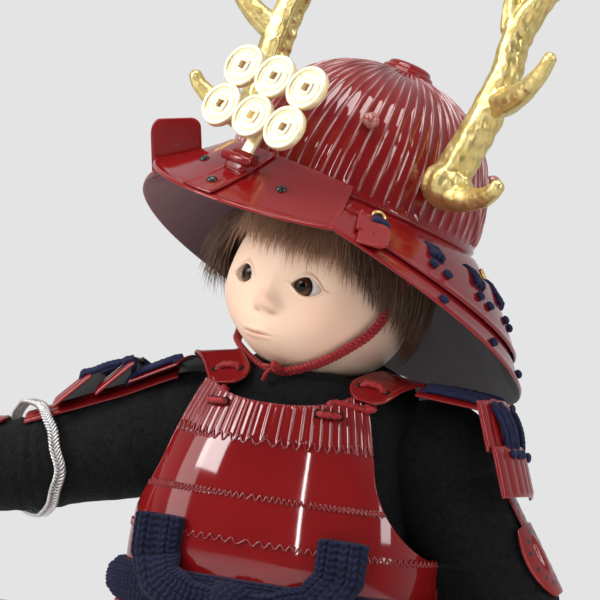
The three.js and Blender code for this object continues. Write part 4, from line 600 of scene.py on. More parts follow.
studio = {
    "keyLamp": {"from": (-1.0, -0.94, 1.0), "to": (0, 0, 0.3), "size": (0.5, 0.75), "power": 13},
    "fillLamp": {"from": (1.5, -0.3, 0.85), "to": (0, 0, 0.3), "size": (0.35, 0.9), "power": 6.5},
    "leftCard": {"from": (-1.35, -0.75, 0.4), "to": (0, 0, 0.3), "size": (0.55, 1.3), "power": 5},
    "frontStrip": {"from": (0.11, -1.55, 0.62), "to": (0, 0, 0.25), "size": (0.05, 1.0), "power": 3.4},
    "topLamp": {"from": (0.0, -0.4, 1.55), "to": (0, 0, 0.35), "size": (0.9, 0.5), "power": 10},
}
backdrop = {
    "light": (0.94, 0.97, 1.0, 1), "strength": 0.42, "seen": (0.775, 0.775, 0.782, 1),
    "roomDark": (0.25, (0.09, 0.09, 0.095, 1)), "roomPale": (0.85, (0.54, 0.55, 0.57, 1)),
    "towardsBack": 0.5, "upwards": (0.25, 0.45),
}


def makeLamps():
    for name, lamp in studio.items():
        light = bpy.data.lights.new(name, "AREA")
        light.shape = "RECTANGLE"
        light.size, light.size_y = lamp["size"]
        light.energy = lamp["power"]
        aim = unit(array(lamp["from"]) - array(lamp["to"]))
        across = unit(cross((0, 0, 1), aim))
        standAt(bpy.data.objects.new(name, light), lamp["from"], across, cross(aim, across), aim)


# plain light for the object, the pale backdrop for the camera,
# and for reflections a room that pales upwards and behind
def makeWorld():
    world = bpy.data.worlds.new("studio")
    bpy.context.scene.world = world
    world.use_nodes = True
    tree = world.node_tree
    tree.nodes.clear()
    rays, way, parts = (node(tree, kind) for kind in ("LightPath", "TexCoord", "SeparateXYZ"))
    seen, shiny = (node(tree, "Math", operation="MAXIMUM") for k in range(2))
    lamp = node(tree, "Background", {"Color": backdrop["light"], "Strength": backdrop["strength"]})
    back = node(tree, "Background", {"Color": backdrop["seen"]})
    mirror = node(tree, "Background")
    slope, start = backdrop["upwards"]
    tall = node(tree, "Math", {1: slope, 2: start}, operation="MULTIPLY_ADD")
    climb = node(tree, "Math", {1: backdrop["towardsBack"]}, operation="MULTIPLY_ADD")
    room = node(tree, "ValToRGB")
    for stop, (at, colour) in zip(room.color_ramp.elements, (backdrop["roomDark"], backdrop["roomPale"])):
        stop.position, stop.color = at, colour
    either, glossy = (node(tree, "MixShader") for k in range(2))
    out = node(tree, "OutputWorld")
    wire(
        tree,
        (way, "Generated", parts, 0), (parts, "Y", climb, 0), (parts, "Z", tall, 0), (tall, 0, climb, 2),
        (climb, 0, room, "Fac"), (room, "Color", mirror, "Color"),
        (rays, "Is Camera Ray", seen, 0), (rays, "Is Glossy Ray", seen, 1),
        (seen, 0, shiny, 0), (rays, "Is Transmission Ray", shiny, 1),
        (shiny, 0, either, 0), (lamp, 0, either, 1), (back, 0, either, 2),
        (rays, "Is Glossy Ray", glossy, 0), (either, 0, glossy, 1), (mirror, 0, glossy, 2),
        (glossy, 0, out, "Surface"),
    )


floorSheet = {"half": 1.5, "below": 0.0004}


def makeFloor():
    half, z = floorSheet["half"], -floorSheet["below"]
    mesh = bpy.data.meshes.new("floor")
    corners = [(x * half, y * half, z) for x, y in ((-1, -1), (1, -1), (1, 1), (-1, 1))]
    mesh.from_pydata(corners, [], [(0, 1, 2, 3)])
    floor = bpy.data.objects.new("floor", mesh)
    bpy.context.scene.collection.objects.link(floor)
    floor.data.materials.append(finish("floorPaper", {
        "colour": (0.74, 0.74, 0.745), "deep": (0.72, 0.72, 0.73), "driftScale": 3,
        "rough": (0.7, 0.8), "grain": 0.02,
    })[0])


bpy.context.scene.view_settings.view_transform = "Standard"
makeCamera()
makeLamps()
makeWorld()
makeFloor()
print("camera and light set")


# cuirass

cuirass = {
    "height": 76.0, "chestAt": 28.0, "waist": (61, 48), "chest": (60.5, 49.5), "collar": (46, 39),
    "roundness": 2.4, "armhole": 24.0, "armholeDepth": 31.0, "breastSpan": 47.0, "sideSpan": 89.6,
    "tabRise": 8.0, "backRise": 8.0, "plate": 1.2, "size": (176, 80),
    "rows": (23.0, 40.0, 61.0), "step": 0.7, "flutes": 22, "bead": 0.55, "beadWidth": 0.36,
    "teeth": (54, 54, 22), "teethRise": (1.0, 1.0, 1.4), "tooth": 0.48,
}


# a curve through the waist, chest and collar values
def throughHeights(k, z):
    h, c = cuirass["height"], cuirass["chestAt"]
    waist, chest, collar = cuirass["waist"][k], cuirass["chest"][k], cuirass["collar"][k]
    low, middle = waist * (z - c) * (z - h) / (c * h), chest * z * (z - h) / (c * (c - h))
    return low + middle + collar * z * (z - c) / (h * (h - c))


# a point of the cuirass at an angle from straight ahead towards the doll's left
def cuirassAt(angle, z, offset=0.0):
    z = np.asarray(z, float)
    x = (throughHeights(0, z) + offset) * squared(sin(angle), cuirass["roundness"])
    y = -(throughHeights(1, z) + offset) * squared(cos(angle), cuirass["roundness"])
    return stack(broadcast_arrays(x, y, z), -1)


# how far round a plate reaches at a height, in radians
def plateSpan(z):
    climb = clip((z - cuirass["armhole"]) / cuirass["armholeDepth"], 0, 1)
    share = 1 - sqrt(maximum(1 - (1 - climb) ** 2, 0))
    return radians(mix(cuirass["breastSpan"], cuirass["sideSpan"], share))


# the plate's height is stretched above the armholes, so that its upper edge rises to tabs or to the nape
def cuirassSurface(facing, neckRise, tabRise):
    bend = cuirass["armhole"] + cuirass["armholeDepth"]
    above = cuirass["height"] - bend

    def surface(u, v):
        side, z = 2 * u - 1, cuirass["height"] * v
        tab = 1.3 * tabRise * side**2 * (1 - 0.35 * smoothStep(0.82, 1, np.abs(side)))
        z = where(z > bend, bend + (z - bend) / above * (above + neckRise + tab), z)
        return cuirassAt(side * plateSpan(z), z) * array([facing, facing, 1])
    return surface


# each band of the plate stands a little proud of the one above; the breast has flat slats between thin beads
def cuirassRelief(surface):
    def relief(u, v):
        p = surface(u, v)
        z = p[..., 2]
        lift = np.zeros_like(z)
        for row in cuirass["rows"]:
            lift = lift - cuirass["step"] / 3 * smoothStep(row - 0.3, row + 0.3, z)
        slat = u * cuirass["flutes"] + 0.5
        gap = (slat - np.floor(slat) - 0.5) * cuirass["height"] / cuirass["flutes"]
        line = cuirass["bead"] * bell(gap, cuirass["beadWidth"]) + 0.1 * cos(2 * pi * slat)
        top = cuirass["rows"][-1]
        return lift + line * smoothStep(top + 0.4, top + 1.4, z) + 0.08 * drift(p, 30, 3)
    return relief


# a raised saw-tooth line along a row, with the way that the plate faces along it
def teethPath(surface, z, count, lift, rise):
    side = linspace(-0.985, 0.985, count * 14 + 1)
    u, v = (side + 1) / 2, (z + sin(pi * side * count) * rise) / cuirass["height"]
    out = normalsOf(surface, u, v)
    return surface(u, v) + out * lift, out


def makeCuirass():
    plates = (
        ("front", 1, 0.0, cuirass["tabRise"], (404, 82)),
        ("back", -1, cuirass["backRise"], 0.0, (260, 72)),
    )
    for name, facing, neckRise, tabRise, counts in plates:
        surface = cuirassSurface(facing, neckRise, tabRise)
        shell = platePatch(surface, cuirass["size"], counts, cuirass["plate"], cuirassRelief(surface))
        cadName = "cuirass_" + name
        makePiece("cuirassPlate_" + name, shell, trunkFrame, "torso", breastLacquer, cadName)
        lines = []
        for row, z in enumerate(cuirass["rows"]):
            lift = cuirass["plate"] - cuirass["step"] / 3 * row + 0.1
            path, out = teethPath(surface, z, cuirass["teeth"][row], lift, cuirass["teethRise"][row])
            lines.append(tubePatch(path, cuirass["tooth"], 6, out))
        makePiece("cuirassTeeth_" + name, lines, trunkFrame, "torso", breastLacquer)


makeCuirass()
print("cuirass made")


# helmet

bowl = {
    "half": (50.0, 54.5), "height": 54.0, "band": 7.0, "bandShare": 0.12, "top": 0.955, "wall": 1.8,
    "ribs": 62, "ridge": 0.95, "ridgeWidth": 0.34, "glintWidth": 0.27, "scoop": 0.42, "innerRings": 12,
}


# most of the helmet's pieces are red lacquer and turn with the head
def helmetPiece(name, patches, stands=(), material=redLacquer):
    return makePiece(name, patches, helmetFrame, "head", material, stands)


# a point about the helmet's axis, at an angle from straight ahead towards the doll's left
def helmetAt(angle, scale, z, offset=0.0):
    x = (bowl["half"][0] * scale + offset) * sin(angle)
    y = -(bowl["half"][1] * scale + offset) * cos(angle)
    return stack(broadcast_arrays(x, y, z), -1)


# the bowl's profile: straight in the rim band, then an oval dome
def bowlProfile(t):
    band = bowl["bandShare"]
    dome = radians(90 * clip((t - band) / (1 - band), 0, 1))
    z = where(t < band, mix(-bowl["band"], 0, t / band), bowl["height"] * sin(dome) ** 0.96)
    return maximum(cos(dome) ** 0.82, 0.02), z


# thin uneven ridges, painted pale on top as a painted highlight, run up the dome between shallow scoops,
# above a beaded rim band
def makeBowl():
    acrossRib = array([-0.5, -0.3, -0.16, -0.09, -0.045, 0, 0.045, 0.09, 0.16, 0.3])
    u = ((arange(bowl["ribs"])[:, None] + 0.5 + acrossRib) / bowl["ribs"]).ravel()
    fromRidge = np.tile(acrossRib, bowl["ribs"])
    rimSteps = [0, 0.006, 0.02, 0.05, 0.08, 0.1, 0.11, 0.12, 0.13, 0.14, 0.15]
    t = concatenate([rimSteps, linspace(0.165, bowl["top"], 40)])[:, None]
    scale, z = bowlProfile(t)
    gap = fromRidge * (2 * pi * 52 / bowl["ribs"]) * scale
    fade = smoothStep(0.13, 0.155, t) * smoothStep(0.05, 0.3, scale)
    width = bowl["ridgeWidth"] * (0.85 + 0.3 * sin(u * 211 + t * 23))
    ridge = bowl["ridge"] * fade * bell(gap, width) * (0.9 + 0.2 * sin(u * 157 + t * 40))
    bead = 0.75 * bell(t - 0.112, 0.014) + 0.5 * bell(t - 0.02, 0.02)
    scoop = -bowl["scoop"] * fade * (2 * fromRidge) ** 2 * scale
    lift = ridge + scoop - 0.05 * fade + bead
    outer = helmetAt(2 * pi * u, scale, z + lift * (1 - scale), lift)
    scaleIn, zIn = bowlProfile(linspace(bowl["top"], 0.0, bowl["innerRings"])[:, None])
    inner = helmetAt(2 * pi * u, scaleIn, zIn - bowl["wall"] * (1 - scaleIn), -bowl["wall"])
    inside = repeat([0.0, 1.0], [outer[..., 0].size, inner[..., 0].size])
    # painted highlight: a pale uneven line along the top of each ridge, carried by rim
    wearAndPaintedLightShare = fade * bell(gap, bowl["glintWidth"]) * (0.6 + 0.4 * sin(u * 97 + t * 31))
    wearAndPaintedLightShare = concatenate([wearAndPaintedLightShare.ravel(), np.zeros(inner[..., 0].size)])
    shell = loopedPatch(concatenate([outer, inner]), inside=inside, rim=wearAndPaintedLightShare)
    helmetPiece("helmetBowl", shell, "helmet_bowl", bowlLacquer)


# a turned boss of three steps; its profile gives distances in from the rim and heights above the bowl's top
crown = {
    "radius": 12.5, "sunk": 0.8,
    "foot": ((0.2, -5), (3.4, -5), (3.6, 0.4)),
    "steps": (
        (0.6, -1.6), (0, -1.3), (-0.15, -0.6), (0, 0.4), (0.5, 0.9), (1.2, 0.8), (1.7, 0.9), (1.9, 1.6),
        (2.3, 2.4), (3.0, 2.7), (3.4, 2.8), (3.6, 3.6), (4.2, 4.5), (5.2, 5.0), (6.4, 5.3), (7.4, 5.0),
        (8.2, 4.9),
    ),
    "tip": ((2.0, 5.5), (0.1, 5.7)),
}


def makeCrown():
    rim = [(crown["radius"] - into, z) for into, z in crown["steps"]]
    profile = array([*crown["foot"], *rim, *crown["tip"]]) + [0, bowl["height"] - crown["sunk"]]
    helmetPiece("crownBoss", lathePatch(profile, 72), "crown_cap")


visor = {
    "halfSpan": 41.0, "width": 30.4, "endWidth": 24.4, "drop": 25.9, "endShare": 0.72, "rise": 2.0,
    "standoff": 0.6, "plate": 1.2, "size": (100, 31),
}


# a brim that slopes down and out from the front of the rim band
def visorAt(u, v):
    side = 2 * u - 1
    angle = radians(visor["halfSpan"]) * side
    reach = mix(visor["width"], visor["endWidth"], side**2) * v
    root = helmetAt(angle, 1.0, 0.0, visor["standoff"])
    out = stack([sin(angle), -cos(angle), np.zeros_like(angle)], -1)
    drop = visor["drop"] * (v + 0.25 * v * (1 - v)) * mix(1, visor["endShare"], side**2)
    return root + out * reach[..., None] + stack([0 * drop, 0 * drop, visor["rise"] - drop], -1)


# a rolled lip with a groove behind it, and a groove near each end
def visorRelief(u, v):
    out = (1 - v) * visor["width"]
    end = minimum(u, 1 - u) * visor["size"][0]
    lip = 0.35 * bell(out - 1.2, 0.7) - 0.45 * bell(out - 2.6, 0.5)
    return lip - 0.3 * bell(end - 2.4, 0.5) + 0.12 * drift(visorAt(u, v), 24, 5)


def makeVisor():
    brim = platePatch(visorAt, visor["size"], (120, 36), visor["plate"], visorRelief, flip=True)
    helmetPiece("visorBrim", brim, "helmet_visor")


neckGuard = {
    "front": 45.0, "flare": 32.4, "backFlare": 10.2, "sideDrop": 36.4, "tilt": 20.7, "sway": 5.0,
    "standoff": 0.9, "step": 1.7, "plate": 1.2, "size": (300, 18), "raise": (0.72, 0.69),
    "bands": (
        ("upper", -6.0, 0.0, 0.34, 0.0), ("middle", 1.0, 0.22, 0.74, 1.7), ("lower", -6.0, 0.34, 1.0, 0.0),
    ),
}


def neckGuardAt(angle, share, offset=0.0):
    bottom = -neckGuard["sideDrop"] + neckGuard["tilt"] * cos(angle) + neckGuard["sway"] * sin(angle)
    flare = neckGuard["flare"] - neckGuard["backFlare"] * cos(angle)
    z = mix(-bowl["band"] * 0.45, bottom, share)
    return helmetAt(angle, 1.0, z, neckGuard["standoff"] + flare * maximum(share, 0) ** 0.85 + offset)


# a point raised out of the guard's slope
def bandPoint(angle, share, lift):
    p = neckGuardAt(angle, share)
    out, up = neckGuard["raise"]
    return p + (neckGuardAt(angle, share, 1.0) - p) * (lift * out) + array([0, 0, lift * up])


# one flaring band, with its front corners cut away
def bandSurface(front, low, high, lift):
    def surface(u, v):
        angle = radians(mix(neckGuard["front"] + front, 360 - neckGuard["front"] - front, u))
        corner = minimum(1, minimum(u, 1 - u) * 14)
        end = mix(mix(low, high, 0.9), high, sqrt(maximum(corner, 0)))
        return bandPoint(angle, mix(low, end, v), lift)
    return surface


# a rolled lower edge with a groove above it
def bandRelief(u, v):
    low = (1 - v) * neckGuard["size"][1]
    return 0.4 * bell(low - 1.0, 0.7) - 0.25 * bell(low - 2.4, 0.5)


# how far a point of the helmet's inner face lies towards its right front, where that face is painted lighter,
# as painted light
def paintedLightSide(points):
    angle = np.degrees(np.arctan2(points[:, 0], -points[:, 1]))
    return smoothStep(-130, -60, angle) * smoothStep(5, -25, angle)


def makeNeckGuard():
    for name, front, low, high, lift in neckGuard["bands"]:
        surface = bandSurface(front, low, high, lift)
        band = platePatch(surface, neckGuard["size"], (180, 16), neckGuard["plate"], bandRelief, flip=True)
        # painted light on the bands' inner faces towards the right front
        band["tone"] = paintedLightSide(band["points"])
        helmetPiece("neckBand_" + name, band, "neck_guard_" + name)


turnbacks = {
    "corner": 4.0, "lowCorner": 1.0, "plate": 1.2,
    "left": {"size": (16.0, 12.0), "start": 0.42, "fold": 14.0, "spin": 0.0, "drop": 0.0},
    "right": {"size": (20.0, 15.2), "start": 0.25, "fold": 100.0, "spin": 17.0, "drop": 9.0},
}


# a plate with two round upper corners and two small lower ones, as points spaced evenly round it
def tabOutline(width, height, corner, low):
    w, h = width / 2, height / 2
    arcs = []
    for k, (x, y, r) in enumerate(((w, h, corner), (-w, h, corner), (-w, -h, low), (w, -h, low))):
        a = linspace(0, pi / 2, 8) + k * pi / 2
        centre = x - np.copysign(r, x), y - np.copysign(r, y)
        arcs.append(stack([centre[0] + r * cos(a), centre[1] + r * sin(a)], -1))
    ring = vstack([*arcs, arcs[0][:1]])
    way = wayAlong(ring)
    at = linspace(0, way[-1], 96, endpoint=False)
    return column_stack([interp(at, way, ring[:, k]) for k in range(2)])


# where a turnback's foot stands on the guard's front end: X down the slope, Y up the folded plate
def turnbackSpot(sign, start, fold):
    front = sign * radians(neckGuard["front"] + 2)
    foot = neckGuardAt(front, start)
    slope = unit(neckGuardAt(front, start + 0.32) - foot)
    backward = unit(neckGuardAt(front + sign * 0.05, start) - foot)
    outward = unit(cross(slope, backward) * sign)
    backward = unit(cross(outward, slope) * sign)
    turn = radians(fold)
    rise = backward * cos(turn) + outward * sin(turn)
    lift = neckGuard["plate"] + 0.2 + turnbacks["plate"] / 2 * abs(cos(turn))
    return frameAt(foot + outward * lift, column_stack([slope, rise, cross(slope, rise)]))


def makeTurnbacks():
    for side, sign in bothSides:
        plate = turnbacks[side]
        width, height = plate["size"]
        outline = tabOutline(width, height, turnbacks["corner"], turnbacks["lowCorner"])
        outline = outline + [width / 2, height / 2]
        outline[:, 1] -= plate["drop"] * outline[:, 0] / width * (1 - outline[:, 1] / height)
        tab = outlinePatch(outline @ turned(0, 0, plate["spin"])[:2, :2].T, turnbacks["plate"], rings=10)
        spot = turnbackSpot(sign, plate["start"], plate["fold"])
        helmetPiece("turnback_" + side + "_tab", moved(tab, spot), "turnback_" + side)


makeBowl()
makeCrown()
makeVisor()
makeNeckGuard()
makeTurnbacks()
print("helmet made")


# rivets, eyelets and knots

# a low dome standing on a surface
def domePatch(radius, height):
    a = linspace(0, pi / 2, 7)[1:-1]
    dome = [(radius * cos(t), height * sin(t)) for t in a]
    return lathePatch([(radius * 0.9, -0.4), (radius, 0), *dome, (0.02, height)], 18)


# a ring with a round section lying on a surface
def ringOn(radius, tube, spot, sides=24):
    turn = roundSteps(sides)
    path = stack([radius * cos(turn), radius * sin(turn), 0 * turn], -1)
    return moved(tubePatch(path, tube, 8, (0, 0, 1), closed=True), spot)


# a short soft knot: a ball with three lobes round it
def knotPatch(radius, spot):
    turn, rise = roundSteps(14), ballRise(9)
    r = radius * (1 + 0.16 * cos(3 * turn) * cos(rise))
    return moved(ringPatch(ballRings(rise, turn, 1.25 * r, r, 0.8 * radius)), spot)


# where a surface is and which way it faces, as a frame
def spotOn(surface, u, v, lift=0.0, flip=False):
    u, v = array([float(u)]), array([float(v)])
    out = normalsOf(surface, u, v)[0] * (-1 if flip else 1)
    along = surface(clip(u + 1e-3, 0, 1), v)[0] - surface(clip(u - 1e-3, 0, 1), v)[0]
    return lyingOn(surface(u, v)[0] + out * lift, out, along)


visorFixings = {
    "strap": (0.065, 0.03, 0.97), "strapSize": (12, 28), "strapPlate": 1.0,
    "rivets": ((0.5, 0.2, 2.6), (0.5, 0.74, 2.6), (0.735, 0.45, 1.2), (0.265, 0.45, 1.2)),
    "radius": 2.1, "height": 1.3,
}


def makeVisorFixings():
    half, low, high = visorFixings["strap"]
    size = visorFixings["strapSize"]
    strip = lambda u, v: visorAt(0.5 + (2 * u - 1) * half, mix(low, high, v))
    roll = lambda u, v: 0.3 * bell(minimum(u, 1 - u) * size[0] - 1.1, 0.6)
    lift = visor["plate"] + 0.3
    strap = platePatch(strip, size, (16, 24), visorFixings["strapPlate"], roll, flip=True, lift=lift)
    helmetPiece("visorStrap", strap)
    dome = domePatch(visorFixings["radius"], visorFixings["height"])
    heads = [moved(dome, spotOn(visorAt, u, v, lift, flip=True)) for u, v, lift in visorFixings["rivets"]]
    helmetPiece("visorRivets", heads, material=blackRivet)


# lacing of the neck guard: gilt eyelets on the upper band, navy cords over its edge, and knots below
neckLacing = {
    "angles": (54, 76, 98, 120, 146, 172, -54, -76, -98, -120, -146, -172), "pitch": 0.036,
    "cord": 1.05, "knot": 1.75, "eyelet": 2.6, "wire": 0.7, "lowFrom": 60,
}


def makeNeckLacing():
    plate = neckGuard["plate"]
    over = plate + neckGuard["step"]
    route = (
        (0.17, plate - 0.2), (0.2, plate + 1.3), (0.28, plate + 2.2), (0.35, over + 1.2), (0.38, over - 0.3),
    )
    highKnots = ((0.29, plate + 2.0, 0.02), (0.34, over + 1.0, -0.03))
    lowKnots = ((0.5, over + 0.8, -0.045), (0.53, over + 0.8, 0.05), (0.9, plate + 0.8, 0.0))
    cords, rings = [], []
    for k, degrees in enumerate(neckLacing["angles"]):
        a = radians(degrees)
        out = unit(bandPoint(a, 0.46, 2.0) - bandPoint(a, 0.46, 1.0))
        along = neckGuardAt(a + 0.02, 0.46) - neckGuardAt(a, 0.46)
        for place in (-1, 0, 1):
            line = [bandPoint(a + place * neckLacing["pitch"], share, lift) for share, lift in route]
            cords.append(cordPatch(line, 18, neckLacing["cord"], 8, out, 0.14, 3.2))
        knots = highKnots + lowKnots if abs(degrees) > neckLacing["lowFrom"] else highKnots
        for share, lift, shift in knots:
            spot = lyingOn(bandPoint(a + shift, share, lift), out, along)
            cords.append(knotPatch(neckLacing["knot"], spot))
        if k % 3 == 0:
            spot = lyingOn(bandPoint(a, 0.13, plate + 0.25), out, along)
            rings.append(ringOn(neckLacing["eyelet"], neckLacing["wire"], spot))
    helmetPiece("neckLacing", cords, material=navyCord)
    helmetPiece("neckEyelets", rings, material=giltMetal)


# small red glass-like knobs round the bowl, each in a thin ring
bowlKnobs = {"angles": (36, 128, -36, -128), "at": 0.42, "radius": 3.3, "lift": 2.6, "seat": (1.7, 0.6, 1.9)}


def makeKnobs():
    scale, z = bowlProfile(array(bowlKnobs["at"]))
    radius, thick, below = bowlKnobs["seat"]
    ball = ringPatch(ballRings(ballRise(11), roundSteps(16), *[bowlKnobs["radius"]] * 3))
    knobs = []
    for a in radians(bowlKnobs["angles"]):
        place, out = helmetAt(a, scale, z, bowlKnobs["lift"]), unit(helmetAt(a, 1.0, 26.0))
        knobs.append(moved(ball, lyingOn(place, out, (0, 0, 1))))
        knobs.append(ringOn(radius, thick, lyingOn(place - out * below, out, (0, 0, 1)), 14))
    helmetPiece("bowlKnobs", knobs, material=beadGlass)


makeVisorFixings()
makeNeckLacing()
makeKnobs()
print("helmet fittings made")


# crest: six coins in two rows, joined by small blocks, on a stem in a holder

crest = {
    "reach": 14.0, "lean": -8.9, "forward": 5.4, "rise": 22.4, "radius": 8.9, "pitch": 17.2, "thick": 3.0,
    "hole": 1.5, "holder": (11.0, 7.0, 9.0), "upright": (3.2, 2.0, 4.4), "level": (4.4, 2.0, 3.2),
    "stem": (5, 2, 21.8), "stemMiddle": 14.5, "arm": (5, 7.2, 6), "pegRadius": 2.0, "pegHalf": 7.1,
}
crestFoot = visorAt(array(0.5), array(crest["reach"] / visor["width"]))
crestFrame = within(helmetFrame, frameAt(crestFoot, turned(crest["lean"], 0, 0)))

# a coin's section: shares of the way from its square hole to its rim, and heights above or below its face
coin = {
    "face": (
        (0, -0.3), (0.02, -0.08), (0.07, 0), (0.16, 0), (0.2, -0.1), (0.225, -0.75), (0.28, -0.85),
        (0.5, -0.85), (0.55, -0.82), (0.575, -0.5), (0.6, -0.45), (0.625, -0.5), (0.65, -0.82), (0.7, -0.85),
        (0.735, -0.8), (0.76, -0.2), (0.785, -0.02), (0.84, 0.05), (0.93, 0), (0.975, -0.2), (0.997, -0.6),
    ),
    "back": ((0.995, 0.4), (0.97, 0.1), (0.9, 0), (0.4, 0), (0.06, 0)),
    "bright": (3, 4, 5, 12, 18, 19, 20, 21), "sides": 112, "start": 0.028,
}


# the section runs from the hole over a raised edge, a plain field with one fine ring, and a raised rim;
# rim paints the tops of these raised parts paler, as painted highlight
def coinPatch():
    turn = roundSteps(coin["sides"]) + coin["start"]
    hole = crest["hole"] / maximum(np.abs(cos(turn)), np.abs(sin(turn)))
    t = crest["thick"]
    face = [(share, t + h) for share, h in coin["face"]]
    section = array([(0, 0.1), (0, 0.5 * t), *face, (1.0, 0.5 * t), *coin["back"]])
    r = hole + (crest["radius"] - hole) * section[:, :1]
    rings = stack(broadcast_arrays(r * cos(turn), -section[:, 1:], r * sin(turn)), -1)
    return loopedPatch(rings, rim=repeat(np.isin(arange(len(section)), coin["bright"]), len(turn)))


# a ring of a squarish oval at a height
def ovalRing(z, a, b, sides, power):
    turn = roundSteps(sides)
    return stack([a * squared(cos(turn), power), b * squared(sin(turn), power), np.full(sides, z)], -1)


# a block with softened edges, as rings of a squarish oval, about a middle
def blockPatch(size, middle, power=8.0, soft=0.5):
    w, d, h = array(size) / 2
    steps = ((h, soft), (h - 0.3 * soft, 0.3 * soft), (h - soft, 0))
    levels = [(-z, inset) for z, inset in steps] + [(0, 0)] + list(steps[::-1])
    rings = stack([ovalRing(z, w - inset, d - inset, 40, power) for z, inset in levels])
    return moved(ringPatch(rings), frameAt(middle))


def makeCrest():
    pitch, ahead, rise = crest["pitch"], -crest["forward"], crest["rise"]
    patches = []
    for row in (0, 1):
        for column in (-1, 0, 1):
            place = (column * pitch, ahead - 0.02 * column, rise + row * pitch)
            patches.append(moved(coinPatch(), frameAt(place)))
    for x in (-0.5, 0.5):
        for z in (0, 1):
            patches.append(blockPatch(crest["upright"], (x * pitch, ahead - 1.2, rise + z * pitch)))
    for x in (-1, 0, 1):
        patches.append(blockPatch(crest["level"], (x * pitch, ahead - 1.2, rise + 0.5 * pitch)))
    patches.append(blockPatch(crest["stem"], (0, 0, crest["stemMiddle"])))
    patches.append(blockPatch(crest["arm"], (0, -2.8, rise)))
    makePiece("coinCrest", patches, crestFrame, "coin_crest", coinMetal, "coin_crest")
    w, d, h = crest["holder"]
    shell = blockPatch((w, d, h - 0.4), (0, 0.3, h / 2 + 1.2), 5.0, 1.2)
    r, far = crest["pegRadius"], crest["pegHalf"]
    profile = [
        (0.05, -far - 0.4), (r - 0.3, -far - 0.3), (r, 0.1 - far),
        (r, far - 0.5), (r - 0.3, far - 0.1), (0.05, far),
    ]
    peg = moved(lathePatch(profile, 24), frameAt((0.5, -3.4, 6.0), turned(0, 90, 0)))
    makePiece("crestHolder", [shell, peg], crestFrame, "head", redLacquer, "crest_holder")


makeCrest()
print("crest made")


# antlers: tapered tubes for the beam and tines, melted together and smoothed, with a carved surface

antlers = {
    "angle": 75.0, "height": 17.0, "burr": 10.5, "beam": 7.2, "spread": 24.0, "rise": 124.0,
    "voxel": 0.00062, "ridge": 1.7, "points": 60,
    "carving": (("carve", 0.0045, 0.0005), ("pebble", 0.0021, 0.0003)),
}
# each branch: its route in shares of the spread and the rise, its two end thicknesses and how fast it thins
antlerBranches = {
    "beam": {"taper": (1.05, 0.5, 1.4), "facing": (0, -1, 0), "route": (
        (0, 0, 0), (0.16, 0, 0.2), (0.2, 0, 0.31), (0.21, 0, 0.39), (0.12, 0, 0.5), (0.3, 0, 0.645),
        (0.68, -3, 0.78), (0.9, -5, 0.9),
    )},
    "brow": {"taper": (0.86, 0.36, 0.9), "facing": (0, 0, 1), "route": (
        (0.1, 1, -0.03), (0.75, 4, -0.008), (1.1, 8, 0.02), (1.32, 11, 0.06),
    )},
    "middle": {"taper": (0.86, 0.36, 0.9), "facing": (0, 0, 1), "route": (
        (0.19, 0, 0.28), (0.54, 4, 0.3), (0.92, 9, 0.34), (1.25, 14, 0.4), (1.42, 17.5, 0.47),
    )},
    "inner": {"taper": (0.85, 0.36, 0.9), "facing": (0, -1, 0), "route": (
        (0.12, 0, 0.48), (-0.1, 1, 0.57), (-0.25, 2, 0.66), (-0.38, 4, 0.8),
    )},
}


# grooves that wind slowly along a branch, and one side pressed in
def antlerGrooves(turn, way):
    wide = 0.34 * cos(5 * turn + 0.05 * way) * (0.6 + 0.4 * sin(way * 0.21))
    return wide + 0.14 * cos(9 * turn - 0.08 * way) - 0.9 * maximum(cos(turn), 0) ** 2


# the beam's pressed side is pebbled too
def beamPebbles(turn, way):
    pebbles = sin(1.7 * way + 2 * sin(3 * turn)) * cos(4 * turn + 0.6 * way)
    return antlerGrooves(turn, way) + 0.6 * maximum(cos(turn), 0) * pebbles


antlerReliefs = {"beam": beamPebbles, "brow": None, "middle": antlerGrooves, "inner": antlerGrooves}


